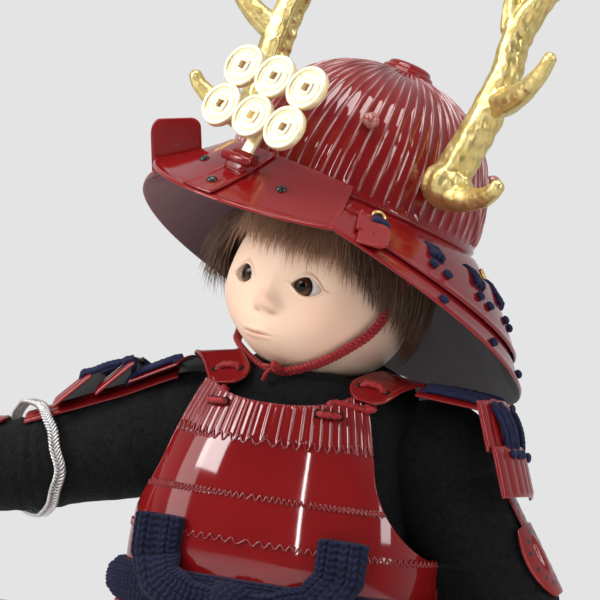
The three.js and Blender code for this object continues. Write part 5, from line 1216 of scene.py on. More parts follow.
def makeAntler(side, sign):
    a = radians(antlers["angle"]) * sign
    scale = sqrt(1 - (antlers["height"] / bowl["height"]) ** 2)
    out = array([sin(a), -cos(a), 0])
    foot = helmetAt(a, scale, antlers["height"]) + out * antlers["burr"] * 0.72
    size = array([antlers["spread"] * sign, -1, antlers["rise"]])
    t = linspace(0, 1, antlers["points"])
    lines, patches = {}, []
    for name, branch in antlerBranches.items():
        lines[name] = smoothPath(foot + array(branch["route"]) * size, len(t))
        low, high, power = branch["taper"]
        root = 1 if name == "beam" else sqrt(clip(t / 0.14, 0.1, 1))
        tip = sqrt(clip((1 - t) / 0.05, 0.03, 1)) * root
        radius = antlers["beam"] * mix(low, high, t**power) * tip
        patches.append(tubePatch(lines[name], radius, 28, branch["facing"], relief=antlerReliefs[name]))
    aside = array([-0.72 * sign, -0.62, 0])
    ridge = lines["beam"] + antlers["beam"] * mix(1.0, 0.42, t)[:, None] * aside
    patches.append(tubePatch(ridge[3:-4], antlers["ridge"] * mix(1, 0.6, t[3:-4]), 10, (0, -1, 0)))
    turn, rise = roundSteps(40), ballRise(21)
    r = antlers["burr"]
    knobbly = 1 + 0.06 * cos(9 * turn) * cos(rise) ** 2
    burr = ballRings(rise, turn, r * 0.95 * knobbly, r * knobbly, r * 0.86)
    patches.append(moved(ringPatch(burr), frameAt(foot)))
    name = "antler_" + side
    piece = makePiece("antlerCarved_" + side, patches, helmetFrame, name, giltMetal, name)
    remesh = piece.modifiers.new("melt", "REMESH")
    remesh.mode, remesh.voxel_size, remesh.use_smooth_shade = "VOXEL", antlers["voxel"], True
    soft = piece.modifiers.new("soften", "SMOOTH")
    soft.factor, soft.iterations = 0.5, 5
    for label, grain, depth in antlers["carving"]:
        carve = bpy.data.textures.new(label + "_" + side, "CLOUDS")
        carve.noise_scale, carve.noise_depth = grain, 1
        rough = piece.modifiers.new(label, "DISPLACE")
        rough.texture, rough.strength, rough.mid_level = carve, depth, 0.5


for side, sign in bothSides:
    makeAntler(side, sign)
print("antlers made")


# head

headForm = {
    "half": 37.0, "front": 36.0, "back": 39.0, "up": 38.0, "down": 37.0,
    "eye": (-4.8, 24.6), "eyeOpening": (6.1, 3.7, 3.1), "mouth": (-41.0, -7.5, 12.5),
    "neck": ((0.1, -44), (12.6, -44), (13, -43), (13, -30), (12, -20), (0.1, -18)),
}
# hills of the head: height and turn in degrees, size in millimetres, spread in degrees, and width to height
headHills = {
    "all": (
        (-22, 46, 3.8, 25, 1), (-22, -46, 3.8, 25, 1), (-48, 0, 2.0, 15, 1),
        (-4.8, 24.6, -1.6, 11, 1), (-4.8, -24.6, -1.6, 11, 1),
    ),
    "plain": ((-17, 0, 4.6, 8.5, 1), (-31, 0, 1, 7, 1)),
    "fine": (
        (-18, 1.5, 4.2, 6.5, 1.15), (-9, 1, 1.4, 7, 0.8), (-20.5, 8, 1.2, 4.2, 1), (-20.5, -6, 1.2, 4.2, 1),
        (-37, -1, 2.4, 15, 1.3), (-24.8, 6.5, -0.8, 2.2, 1.6), (-24.8, -5, -0.8, 2.2, 1.6),
    ),
}


# where a point lies about the mouth: a share of its reach aside, degrees above its bowed line,
# and a fade to its ends
def aboutMouth(lat, lon):
    middle, turn, reach = headForm["mouth"]
    side = (np.degrees(lon) - turn) / reach
    gap = np.degrees(lat) - (middle - 0.2 * side**2 - 0.3 * bell(side, 0.35))
    return side, gap, exp(-np.abs(side) ** 4)


# a parting line between two lips, and the dip above the upper one
def mouthLift(lat, lon):
    side, gap, wide = aboutMouth(lat, lon)
    upper = 0.6 * bell(gap - 2.6, 1.9) * (1 - 0.3 * bell(side, 0.2))
    lips = wide * (upper + 0.7 * bell(gap + 2.8, 2.0) - bell(gap, 0.8))
    return lips - 0.5 * bell(side, 0.16) * bell(gap - 7, 3)


# a round child's head: an oval with full cheeks, a small nose, a soft muzzle and a chin, by height and turn
def headAt(lat, lon, offset=0.0, fine=False):
    lat, lon = broadcast_arrays(np.asarray(lat, float), np.asarray(lon, float))
    below = lat < 0
    level = maximum(cos(lat), 0) ** where(below, 0.56, 1)
    grow = offset
    for up, turn, size, spread, wide in headHills["all"] + headHills["fine" if fine else "plain"]:
        aside = (lon - radians(turn)) * level / wide
        grow = grow + size * bell(np.hypot(lat - radians(up), aside), radians(spread))
    if fine:
        grow = grow + mouthLift(lat, lon)
    h, ahead = sin(lat), cos(lon)
    jaw = where(below, 1 - 0.12 * h * h, 1)
    depth = where(ahead > 0, headForm["front"], headForm["back"])
    x = (headForm["half"] * jaw + grow) * level * sin(lon)
    y = -(depth + grow) * level * ahead
    z = (where(below, headForm["down"], headForm["up"]) + offset) * h
    return stack([x, y, z], -1)


# how far a point is from an eye's opening, where under 1 is inside it, and how far above its middle
def eyeOpening(lat, lon, sign):
    eyeLat, eyeLon = headForm["eye"]
    x = (lon - radians(sign * eyeLon)) * cos(lat) * headForm["half"] * sign
    y = (lat - radians(eyeLat)) * headForm["half"]
    w, up, down = headForm["eyeOpening"]
    tall = where(y > 0, up, down) * clip(1 - 0.8 * (np.abs(x) / w) ** 2, 0.06, 1) ** 0.6
    return sqrt((x / w) ** 2 + ((y + 0.03 * x) / tall) ** 2), y


# the face is sunk and edged at each eye; tone darkens lash lines, nostrils and mouth, and the lid creases as
# painted shade, and rim reddens lips and cheeks
def makeHead():
    t = linspace(-1, 1, 281)[:-1]
    rows = concatenate([linspace(-88, -60, 26), linspace(-59, 12, 150), linspace(14, 88, 38)])
    lat, lon = np.meshgrid(radians(rows), pi * (0.5 * t + 0.5 * t**3), indexing="ij")
    up, turn = np.degrees(lat), np.degrees(lon)
    lift, dark = 0.0, np.zeros_like(lat)
    for _, sign in bothSides:
        gap, y = eyeOpening(lat, lon, sign)
        front = np.abs(turn) < 70
        lid = 0.75 * bell(gap - 1.2, 0.2) * smoothStep(0.9, 1.1, gap)
        crease = bell(gap - 1.62, 0.09) * smoothStep(0.5, 2.5, y)
        lift = lift + where(front, lid - 3.2 * smoothStep(1.04, 0.9, gap) - 0.28 * crease, 0)
        lash = bell(gap - 1.0, 0.07) * (0.35 + 0.65 * smoothStep(-0.5, 1.5, y))
        # the crease's share of the dark is painted shade
        dark = maximum(dark, where(front, lash + 0.16 * crease, 0))
    _, gap, wide = aboutMouth(lat, lon)
    wide = wide * (np.abs(lon) < 0.7)
    pink = maximum(0, wide * (0.42 * bell(gap - 1.2, 1.7) + 0.38 * bell(gap + 2.2, 1.9)))
    dark = maximum(dark, 0.55 * wide * bell(gap, 0.7))
    for nostril in (6.5, -5):
        dark = maximum(dark, 0.35 * bell(np.hypot(up + 24.6, (turn - nostril) / 1.7), 1.6))
    for place, aside, strength, spread in ((-24, 44, 0.26, 17), (-24, -44, 0.26, 17), (-19, 1.5, 0.2, 6)):
        pink = maximum(pink, strength * bell(np.hypot(up - place, turn - aside), spread))
    points, flat = headAt(lat, lon, lift, fine=True), headAt(lat, lon, 0.0, fine=True)
    points[..., 2] = flat[..., 2] + (points[..., 2] - flat[..., 2]) * 0.4
    face = {**ringPatch(points), "tone": withPoles(dark), "rim": withPoles(pink)}
    makePiece("headSkin", [face, lathePatch(headForm["neck"], 40)], headFrame, "head", skin, "head")


def makeSkin():
    material, tree, shader, tone = finish("skin", {
        "colour": (0.96, 0.675, 0.50), "deep": (0.94, 0.64, 0.46), "driftScale": 28, "rough": (0.42, 0.54),
        "roughScale": 160, "grain": 0.03, "grainScale": 900, "subsurface": 0.12,
        "coat": 0.05, "specular": 0.35,
    })
    pink, dark = attribute(tree, "rim"), attribute(tree, "tone")
    blush = colourMix(tree, {"B": (0.72, 0.26, 0.18, 1)})
    lined = colourMix(tree, {"B": (0.06, 0.022, 0.014, 1)})
    wire(
        tree,
        (pink, "Fac", blush, "Factor"), (tone, "Colour", blush, "A"),
        (dark, "Fac", lined, "Factor"), (blush, "Result", lined, "A"),
        (lined, "Result", shader, "Base Color"),
    )
    return material


skin = makeSkin()
makeHead()


# eyes: balls whose tone value grows from the middle of the iris outwards

eyes = {
    "radius": 7.0, "inset": 6.05, "iris": 4.2, "gaze": {1: -17.0, -1: -3.0}, "white": (0.97, 1.06),
    "stops": (
        (0.0, (0.003, 0.002, 0.002)), (0.4, (0.003, 0.002, 0.002)), (0.47, (0.035, 0.013, 0.006)),
        (0.8, (0.05, 0.018, 0.008)), (0.9, (0.01, 0.005, 0.003)), (1.0, (0.008, 0.004, 0.003)),
    ),
}


def makeEyeMaterial():
    material, tree, shader, tone = finish("glassEye", {
        "colour": (0.8, 0.78, 0.74), "deep": (0.74, 0.72, 0.7), "driftScale": 80, "rough": (0.05, 0.09),
        "grain": 0.0, "specular": 0.22,
    })
    reach, glow = attribute(tree, "tone"), attribute(tree, "rim")
    iris = node(tree, "ValToRGB")
    stops = iris.color_ramp.elements
    for at, colour in eyes["stops"]:
        stop = stops[0] if at == 0 else stops[-1] if at == 1 else stops.new(at)
        stop.color = opaque(colour)
    low, high = eyes["white"]
    # painted light: rim adds a warm glow to the lower iris
    lit = colourMix(tree, {"B": (0.16, 0.06, 0.02, 1)}, blend_type="ADD")
    white = node(tree, "MapRange", {"From Min": low, "From Max": high})
    whole = colourMix(tree)
    wire(
        tree,
        (reach, "Fac", iris, "Fac"), (glow, "Fac", lit, "Factor"), (iris, "Color", lit, "A"),
        (reach, "Fac", white, "Value"), (white, "Result", whole, "Factor"),
        (lit, "Result", whole, "A"), (tone, "Colour", whole, "B"), (whole, "Result", shader, "Base Color"),
    )
    return material


glassEye = makeEyeMaterial()


# a ball with a raised cornea, looking out of the face and turned by its gaze; rim adds painted light to the
# iris from below
def makeEye(side, sign):
    lat, lon = radians(headForm["eye"][0]), radians(sign * headForm["eye"][1])
    out = array([cos(lat) * sin(lon), -cos(lat) * cos(lon), sin(lat)])
    centre = headAt(lat, lon, 0.0, fine=True) - out * eyes["inset"]
    axes = lyingOn(centre, turned(0, 0, eyes["gaze"][sign]) @ out, (0, 0, 1))
    reach = concatenate([linspace(0.01, 0.62, 44), linspace(0.66, pi - 0.02, 26)])[:, None]
    turn = roundSteps(64)
    size = eyes["radius"] * (1 + 0.05 * exp(-((reach / 0.45) ** 4)))
    ball = ballRings(pi / 2 - reach, turn, size, size, size)
    tone = broadcast_to(sin(minimum(reach, pi / 2)) * eyes["radius"] / eyes["iris"], ball.shape[:2])
    low = clip(-cos(turn), 0, 1) ** 1.5 * bell(tone - 0.68, 0.18)
    shell = {**ringPatch(ball), "tone": withPoles(tone, 0, 2), "rim": withPoles(low)}
    makePiece("eyeBall_" + side, moved(shell, axes), headFrame, "head", glassEye, "eye_" + side)


for side, sign in bothSides:
    makeEye(side, sign)
print("head made")


# hair: a dark cap and thin tapered strands that fall from under the helmet

hair = {
    "strands": 5600, "points": 9, "width": 0.25, "standoff": 2.0, "inFront": 0.62, "frontHalf": 1.25,
    # the strands' tip colour; the fringe over the brow reaches it as painted light, the other strands at most
    # half of it
    "tip": (0.52, 0.27, 0.16, 1),
    "edge": (
        (-180, -34), (-110, -30), (-92, -22), (-75, -9), (-60, -3), (-45, 20), (-25, 20), (-10, 17.5),
        (0, 15.5), (16, 13.5), (36, 12), (49, 6.5), (62, -2), (75, -11), (92, -22), (110, -30), (180, -34),
    ),
}


# the height in degrees that the hair reaches down to, by the turn from straight ahead
def hairEdge(lon):
    turn = np.degrees(np.mod(lon + pi, 2 * pi) - pi)
    return interp(turn, *array(hair["edge"]).T)


# one over the brow, fading to nothing at the temples
def overBrow(lon):
    return smoothStep(-0.95, -0.6, lon) * smoothStep(0.95, 0.6, lon)


def makeHairMaterial():
    material, tree, shader, tone = finish("hairStrand", {
        "colour": (0.036, 0.017, 0.010), "deep": (0.014, 0.007, 0.0045), "driftScale": 300,
        "rough": (0.32, 0.5), "grain": 0.1, "grainScale": 1500, "specular": 0.4,
    })
    light, tip = attribute(tree, "tone"), colourMix(tree, {"B": hair["tip"]})
    wire(
        tree,
        (light, "Fac", tip, "Factor"), (tone, "Colour", tip, "A"), (tip, "Result", shader, "Base Color"),
    )
    return material


hairStrand = makeHairMaterial()


# a thin shell over the skull, with a ragged lower edge
def makeHairCap():
    lon = linspace(-pi, pi, 181)[:-1]
    rise = linspace(0, 1, 24)[:, None]
    edge = hairEdge(lon) + 8 + 16 * overBrow(lon) + 1.5 * sin(lon * 37) + 1.2 * sin(lon * 61)
    lat = mix(radians(edge), radians(84), rise)
    outer = headAt(lat, lon, 0.7 + 1.8 * smoothStep(0, 0.25, rise))
    cap = loopedPatch(concatenate([outer, headAt(lat[::-1], lon, 0.5)]))
    makePiece("hairCap", cap, headFrame, "head", hairStrand, "hair")


# each strand is a thin tube of three sides, lifted off the skull, from a root to a tip that strays aside
def makeStrands():
    count, k = hair["strands"], hair["points"]
    t = linspace(0, 1, k)
    share = rng.random(count)
    half = hair["frontHalf"]
    front = rng.uniform(-half, half, count)
    behind = np.mod(rng.uniform(half, 2 * pi - half, count) + pi, 2 * pi) - pi
    lon = where(share < hair["inFront"], front, behind)
    layer = rng.random(count)
    fringe = overBrow(lon)
    clump = 0.035 * sin(lon * 90) + 0.03 * sin(lon * 41 + 2)
    parted = 0.10 * np.sign(lon) * smoothStep(0.5, 1.0, np.abs(lon)) * (np.abs(lon) < 2.2)
    tipLon = lon + clump + rng.normal(0, 0.07, count) + parted
    waves = 2.4 * sin(lon * 23 + 1) + 2.0 * sin(lon * 57) + 3.4 * sin(lon * 131)
    ragged = rng.normal(0, 2.2, count) + waves
    shorter = (12 + 15 * fringe) * rng.random(count) ** 1.3
    tipLat = radians(hairEdge(tipLon) + ragged + shorter - 3)
    rootLat = maximum(radians(rng.uniform(30, 52, count)), tipLat + radians(16))
    lat = mix(rootLat[:, None], tipLat[:, None], t**1.1)
    turn = mix(lon[:, None], tipLon[:, None], t**1.5)
    deep = 1 - layer[:, None]
    lift = hair["standoff"] + 1.1 * (1 - deep)
    lift = lift + (1.6 - 0.9 * deep) * sin(pi * t) ** 0.8 - 1.2 * t**3 * deep
    flare = 14.0 * bell(lon + 1.12, 0.3) + 3.0 * smoothStep(0.8, 1.2, lon)
    path = headAt(lat, turn, lift + (flare * (0.15 + 0.85 * rng.random(count)))[:, None] * t**1.3)
    along = unit(gradient(path, axis=1))
    aside = unit(cross(along, unit(path * array([1, 1, 0.6]))))
    out = cross(aside, along)
    thin = rng.uniform(0.7, 1.3, count) * (1 - 0.25 * fringe)
    width = hair["width"] * thin[:, None] * sqrt(clip(1 - t, 0.0, 1)) ** 0.9 + 0.02
    angles = radians([90, 210, 330])[:, None]
    ring = aside[:, :, None] * cos(angles) + out[:, :, None] * sin(angles)
    points = (path[:, :, None] + width[:, :, None, None] * ring).reshape(count, -1, 3)
    # tone: darker towards the root and random by strand; the fringe over the brow is painted much lighter, as
    # painted light
    dim, start = 0.15 + 0.7 * fringe, 0.22 + 0.65 * fringe
    bright = (0.5 + 0.5 * fringe) * (dim + (1 - dim) * rng.random(count) ** 1.3)
    shade = repeat(bright[:, None] * (start[:, None] + (1 - start[:, None]) * t), 3, axis=1)
    around = gridFaces(arange(k * 3).reshape(k, 3), wrapV=True)
    ends = array([[0, 1, 2], [k * 3 - 1, k * 3 - 2, k * 3 - 3]])
    firsts = (arange(count // 2) * k * 3)[:, None, None]
    faces = [(around + firsts).reshape(-1, 4), (ends + firsts).reshape(-1, 3)]
    for name, some in (("hairFallA", slice(count // 2)), ("hairFallB", slice(count // 2, count))):
        strands = patch(points[some], faces, tone=shade[some])
        makePiece(name, strands, headFrame, "head", hairStrand)


makeHairCap()
makeStrands()
print("hair made")


# chin cord: three strands plaited along a route from the rim, over the side lock and under the chin

chinCord = {
    "overSkin": 3.1, "overHair": 8.5, "plait": (1.2, 0.55, 0.98, 5.6), "tied": (92, -110),
    "knot": 2.4, "tail": 0.85, "tails": ((-5.5, 2.0), (-4.0, -3.5)),
}


# strands that change places along a path: each swings from side to side, and up and down twice as often
def plaitPatches(path, facing, width, height, strand, period, count=3, closed=False):
    across, up = acrossPath(path, facing, closed)
    way = wayAlong(path)
    if closed:
        whole = way[-1] + np.linalg.norm(path[0] - path[-1])
        period = whole / round(whole / period)
    patches = []
    for k in range(count):
        phase = 2 * pi * (way / period + k / count)
        line = path + across * (width * sin(phase))[:, None] + up * (height * sin(2 * phase))[:, None]
        patches.append(tubePatch(line, strand, 6, up, closed=closed, flat=0.85))
    return patches


def makeChinCord():
    on = lambda down, around, lift: headAt(radians(-down), radians(around), lift)
    rim = lambda around: helmetAt(radians(around), 1.0, -bowl["band"] + 2, -bowl["wall"] - 2.5)
    leftEnd, rightEnd = (inFrame(helmetInHead, rim(around)) for around in chinCord["tied"])
    skinLift, hairLift = chinCord["overSkin"], chinCord["overHair"]
    path = smoothPath(array([
        leftEnd, on(-6, 80, 4.4), on(18, 70, 3.2), on(36, 57, skinLift - 0.4), on(56, 38, skinLift - 0.6),
        on(69, -4, skinLift + 0.6), on(52, -62, skinLift), on(38, -86, skinLift + 2.6),
        on(16, -98, hairLift + 0.6), on(-8, -102, hairLift), rightEnd,
    ]), 520)
    out = unit(path - array([0, 0, -8.0]))
    cords = plaitPatches(path, out, *chinCord["plait"])
    knot = on(60, 10, skinLift + 1.2)
    cords.append(knotPatch(chinCord["knot"], lyingOn(knot, knot, (0, 0, 1))))
    for reach, drop in chinCord["tails"]:
        tail = [knot, knot + [reach * 0.5, -1.8, drop * 0.4 - 1], knot + [reach, -1.0, drop - 2.5]]
        cords.append(cordPatch(tail, 14, chinCord["tail"], 7, out[0], 0.12, 3))
    makePiece("chinPlait", cords, headFrame, "head", redCord, "chin_cord")


makeChinCord()


# trunk: a stuffed black body that rises to a soft collar under the jaw; heights and two half widths

trunk = {"power": 2.4, "fill": 0.85, "sections": (
    (-12.6, 0.2, 0.2), (-12.6, 52, 39), (-11, 55, 42), (-6.5, 57.8, 44.8), (0, 58.8, 45.8),
    (16.8, 55.9, 46.9), (30, 47, 44.8), (61, 45, 38.5), (76, 46, 30), (81, 44, 28), (85, 40, 26),
    (88.5, 30, 23.5), (90.5, 22, 20), (90.2, 17, 16), (89, 0.2, 0.2),
)}


# columns of a table read off at even steps through its rows
def betweenRows(table, count):
    key = array(table, float)
    t = linspace(0, len(key) - 1, count)
    return column_stack([interp(t, arange(len(key)), key[:, k]) for k in range(key.shape[1])])


# each value is drawn towards its two neighbours, and the ends stay
def evened(values, times):
    for k in range(times):
        values[1:-1] = (values[:-2] + 2 * values[1:-1] + values[2:]) / 4
    return values


def makeTrunk():
    levels = evened(betweenRows(trunk["sections"], 84), 2)
    rings = stack([ovalRing(z, a, b, 120, trunk["power"]) for z, a, b in levels])
    high = smoothStep(70, 90, rings[..., 2])
    rings[..., 2] += high * (9 * smoothStep(-6, 16, rings[..., 1]) + 0.8 * drift(rings, 18, 4))
    rings[..., :2] *= 1 + 0.012 * high[..., None] * drift(rings, 13, 8)[..., None]
    cloth = ringPatch(rings)
    piece = makePiece("bodyCloth", cloth, trunkFrame, "torso", blackCloth, "trunk_body")


makeTrunk()


# arms: sleeves drawn over stuffed arms, bent at the elbow; drops and forward turns in degrees

arms = {
    "shoulder": {"right": (-49, 4, 61), "left": (49, 11, 61)},
    "upper": {"right": (19, 12), "left": (52, -15)}, "fore": {"right": (14, 16), "left": (52, 62)},
    "lengths": (65.0, 54.0), "radii": (23.5, 19.0), "fill": 0.85,
    "sections": (
        (-5, 20.7), (2, 23.5), (22.75, 22.4), (45.5, 20.0), (58, 19.3), (65, 19.0), (72, 18.7), (83.9, 17.9),
        (105.5, 15.15), (117.8, 13.5), (118.4, 12.6), (118.5, 9.0),
    ),
}


def armDirection(side, drop, forward):
    d, f = radians(drop), radians(forward)
    return array([side * cos(d) * cos(f), -cos(d) * sin(f), -sin(d)])


def armBones(name, side):
    shoulder = array(arms["shoulder"][name], float)
    upper, fore = armDirection(side, *arms["upper"][name]), armDirection(side, *arms["fore"][name])
    elbow = shoulder + upper * arms["lengths"][0]
    ends = {"shoulder": shoulder, "elbow": elbow, "wrist": elbow + fore * arms["lengths"][1]}
    return {"name": name, "side": side, "upper": upper, "fore": fore, **ends}


bones = {name: armBones(name, side) for name, side in bothSides}


# points that the cuirass covers are drawn in behind its plates
def underPlates(points, gap=1.2):
    z = clip(points[..., 2], 0, cuirass["height"])
    x, y = (np.abs(points[..., k]) / (throughHeights(k, z) - gap) for k in range(2))
    power = cuirass["roundness"]
    f = (x**power + y**power) ** (1 / power)
    angle = np.arctan2(x ** (power / 2), maximum(y, 1e-6) ** (power / 2))
    covered = (angle < plateSpan(z) + 0.04) & (f > 1) & (f < 1.25) & (points[..., 2] < cuirass["height"] + 6)
    points[..., :2] = where(covered[..., None], points[..., :2] / f[..., None], points[..., :2])
    return points


# a tube that turns at the elbow, creased there and softly uneven, and a ball for the shoulder
def makeSleeve(bone):
    upper = arms["lengths"][0]
    way, radius = array(arms["sections"]).T
    s = linspace(way[0], way[-1], 150)
    s[-6:] = linspace(way[-1] - 1.6, way[-1], 6)
    line = bone["shoulder"] + bone["upper"] * s[:, None]
    bent = bone["elbow"] + bone["fore"] * (s[:, None] - upper)
    line = mix(line, bent, smoothStep(upper - 9, upper + 9, s)[:, None])
    right, up = acrossPath(line, (0, 0, 1))
    turn = roundSteps(84)
    r = interp(s, way, radius)[:, None]
    aside, rise = (r * cos(turn))[..., None], (r * sin(turn))[..., None]
    tube = line[:, None] + right[:, None] * aside + up[:, None] * rise
    crease = bell(s - upper, 12)[:, None] * sin(s[:, None] * 0.9 + 1.5 * sin(turn))
    swell = 0.35 * drift(tube, 26, 11) + 0.2 * drift(tube, 9, 12) + 0.7 * crease * drift(tube, 30, 14)
    tube = underPlates(tube + unit(tube - line[:, None]) * swell[..., None])
    full = 5 if bone["side"] > 0 else 0
    cap = arms["radii"][0] + full * 0.3
    ball = ballRings(ballRise(29)[1:-1], turn, cap, cap, cap - 2.5)
    ball = ball + bone["shoulder"] + [(full - 2) * bone["side"], 0, 3.5]
    ball = underPlates(ball + unit(ball - ball.mean((0, 1))) * (0.3 * drift(ball, 20, 15))[..., None])
    name = bone["name"]
    nodes = ("upper_sleeve_" + name, "fore_sleeve_" + name)
    cloth = [ringPatch(tube), ringPatch(ball)]
    piece = makePiece("sleeve_" + name, cloth, trunkFrame, "torso", blackCloth, nodes)


# a fist's sections: the way along it, and shares of its width and thickness
handForm = {
    "width": 22.0, "thick": 17.0, "power": 2.6, "fingerGaps": (-5, 0, 5), "knuckle": 19.5, "thumb": 3.1,
    "thumbRoute": ((7.9, -3.4, 9.7), (7.0, -7.4, 15), (4.4, -8.9, 20.5)),
    "sections": (
        (0.4, 0.46, 0.52), (2, 0.52, 0.6), (5.9, 0.6, 0.66), (11.3, 0.95, 0.92), (15, 1, 1), (18.9, 1, 1),
        (22, 0.98, 0.94), (24.3, 0.92, 0.84), (26, 0.8, 0.66), (27, 0.6, 0.42),
    ),
}


# the hand's frame at the wrist: Z runs on along the forearm
def handFrame(bone):
    along = bone["fore"]
    right = unit(cross((0, 0, 1), along))
    return within(trunkFrame, frameAt(bone["wrist"], column_stack([right, cross(along, right), along])))


def makeHand(bone):
    way, wide, thick = array(handForm["sections"]).T
    along = concatenate([linspace(way[0], 24, 30), linspace(24.4, way[-1], 9)])
    w = interp(along, way, wide) * handForm["width"] / 2
    t = interp(along, way, thick) * handForm["thick"] / 2
    rings = stack([ovalRing(z, a, b, 96, handForm["power"]) for z, a, b in zip(along, w, t)])
    grooves = sum(bell(rings[..., 0] - x, 0.55) for x in handForm["fingerGaps"])
    grooves = grooves * smoothStep(12, 17, rings[..., 2])
    bend = 0.35 * bell(rings[..., 2] - handForm["knuckle"], 0.8)
    rings = rings - unit(rings * array([1, 1, 0])) * (0.8 * grooves + bend)[..., None]
    taper = handForm["thumb"] * sqrt(clip(1 - (linspace(0, 1, 24) - 0.1) ** 4, 0.06, 1))
    thumb = tubePatch(smoothPath(handForm["thumbRoute"], 24), taper, 20, (0, -1, 0))
    name = "hand_" + bone["name"]
    makePiece("fist_" + bone["name"], [ringPatch(rings), thumb], handFrame(bone), name, skin, name)


for bone in bones.values():
    makeSleeve(bone)
    makeHand(bone)
print("body made")


# armour and padding that stay with the torso
def torsoPiece(name, patches, stands=(), material=redLacquer):
    return makePiece(name, patches, trunkFrame, "torso", material, stands)


# arm armour

armPlates = {
    "start": 0.45, "end": 0.92, "span": 62.0, "ribs": 5, "rib": 0.6, "lift": 0.4, "plate": 1.2,
    "elbow": (10.0, 26.0, 80.0), "elbowRadius": 18.94, "spots": (0.95, 1.0, 0.8),
}


# a patch of a sleeve: turned about the arm by u and along it by v
def sleevePatch(start, direction, alongAt, radiusAt, span, facing):
    up = unit(array(facing) - np.dot(facing, direction) * direction)
    right = cross(direction, up)

    def surface(u, v):
        angle = radians(span) * (u - 0.5)
        out = up * cos(angle)[..., None] + right * sin(angle)[..., None]
        return start + direction * alongAt(v)[..., None] + out * radiusAt(v)[..., None]
    return surface


def stripRadius(v):
    return mix(*arms["radii"], mix(0.42, 1, v)) + 0.3


# a small dark disc that reads as a punched hole
def holeOn(surface, u, v, radius, lift, flip=False):
    profile = [(0.03, -0.2), (radius, -0.2), (radius, 0.04), (radius * 0.7, 0.06), (0.03, 0.06)]
    return moved(lathePatch(profile, 12), spotOn(surface, u, v, lift, flip))


# holes along a ring round a place on a plate
def holeRing(surface, middle, reach, angles, radius, lift):
    places = [(middle[0] + reach[0] * cos(a), middle[1] + reach[1] * sin(a)) for a in angles]
    return [holeOn(surface, u, v, radius, lift) for u, v in places]


# an oval boss that rises from a plate
def bossRelief(middle, half, height):
    def relief(u, v):
        inside = 1 - ((u - middle[0]) / half[0]) ** 2 - ((v - middle[1]) / half[1]) ** 2
        return height * clip(inside, 0, 1) ** 0.6
    return relief


# the right arm's strip is ribbed from end to end
def rightStrip(bone, facing):
    along = lambda v: arms["lengths"][0] * mix(-0.02, 1.0, v)
    radius = lambda v: stripRadius(mix(-0.9, 1.1, v)) + 1.6 * smoothStep(0.4, 0, v)
    strip = sleevePatch(bone["shoulder"], bone["upper"], along, radius, armPlates["span"], facing)
    ribs = lambda u, v: armPlates["rib"] * (0.5 - 0.5 * cos(2 * pi * armPlates["ribs"] * u)) ** 0.6
    return [platePatch(strip, (24, 64), (70, 40), armPlates["plate"], ribs, lift=armPlates["lift"])], []


# the left arm has a narrow strip with two rows of holes, then a round plate with a boss and a ring of holes
def leftStrip(bone, facing):
    along = lambda v: arms["lengths"][0] * mix(armPlates["start"], armPlates["end"], v)
    strip = sleevePatch(bone["shoulder"], bone["upper"], along, stripRadius, armPlates["span"], facing)
    narrow = lambda u, v: strip(mix(0.22, 0.62, u), mix(-0.12, 0.75, v))
    oval = lambda v: sqrt(clip(1 - (1.7 * v - 0.78) ** 2, 0.08, 1))
    wide = lambda u, v: strip(0.5 + (u - 0.5) * oval(v), mix(0.32, 1.3, v))
    boss = bossRelief((0.56, 0.42), (0.13, 0.27), 1.3)
    lift = armPlates["lift"]
    shell = [
        platePatch(narrow, (9, 21), (20, 30), 0.9, lift=lift),
        platePatch(wide, (20, 22), (40, 40), armPlates["plate"], boss, lift=lift + 0.7),
    ]
    small, large = armPlates["spots"][:2]
    holes = [holeOn(narrow, 0.28 + 0.44 * (k % 2), 0.05 + 0.09 * k, small, 1.3) for k in range(7)]
    return shell, holes + holeRing(wide, (0.5, 0.46), (0.36, 0.38), linspace(0.3, 6.0, 13), large, 2.3)


def makeArmArmour(bone):
    name, side = bone["name"], bone["side"]
    shell, holes = (leftStrip if side > 0 else rightStrip)(bone, (side * 0.35, -0.2, 1))
    torsoPiece("armStrip_" + name, shell, "arm_plate_" + name)
    start, length, span = armPlates["elbow"]
    facing = (side, 0.6 if side > 0 else -0.3, 0.5)
    along, radius = lambda v: start + length * v, lambda v: armPlates["elbowRadius"] + 0 * v
    cuff = sleevePatch(bone["elbow"], bone["fore"], along, radius, span, facing)
    oval = lambda v: sqrt(clip(1 - (1.8 * v - 0.9) ** 2, 0.15, 1))
    shaped = lambda u, v: cuff(0.5 + (u - 0.5) * oval(v), v)
    boss = bossRelief((0.5, 0.5), (0.14, 0.25), 1.2)
    plate = platePatch(shaped, (26, 26), (40, 36), armPlates["plate"], boss, lift=armPlates["lift"])
    torsoPiece("elbowShell_" + name, plate, "elbow_plate_" + name)
    holes += holeRing(shaped, (0.5, 0.5), (0.38, 0.38), linspace(0.2, 5.9, 10), armPlates["spots"][2], 1.62)
    torsoPiece("armHoles_" + name, holes, material=blackRivet)


armBand = {
    "radius": 23.2, "slant": 30.0, "along": 1.5, "lift": 2.0, "plait": (1.9, 0.6, 0.52, 7.6), "strands": 5,
}


# a slanted ring round the elbow, a little wavy, with five strands plaited along it
def makeArmBand():
    turn = roundSteps(420)
    r, slant = armBand["radius"], radians(armBand["slant"])
    out = stack([cos(turn), sin(turn), 0 * turn], -1)
    along = armBand["along"] - arms["lengths"][1] - r * np.tan(slant) * cos(turn)
    waves = 0.5 * sin(5 * turn) + 0.4 * sin(9 * turn + 1)
    ring = stack([r * cos(turn), r * sin(turn) + armBand["lift"], along + waves], -1)
    strands = plaitPatches(ring, out, *armBand["plait"], count=armBand["strands"], closed=True)
    spot = handFrame(bones["right"])
    makePiece("armPlait_right", strands, spot, "torso", silverBraid, "arm_band_right")


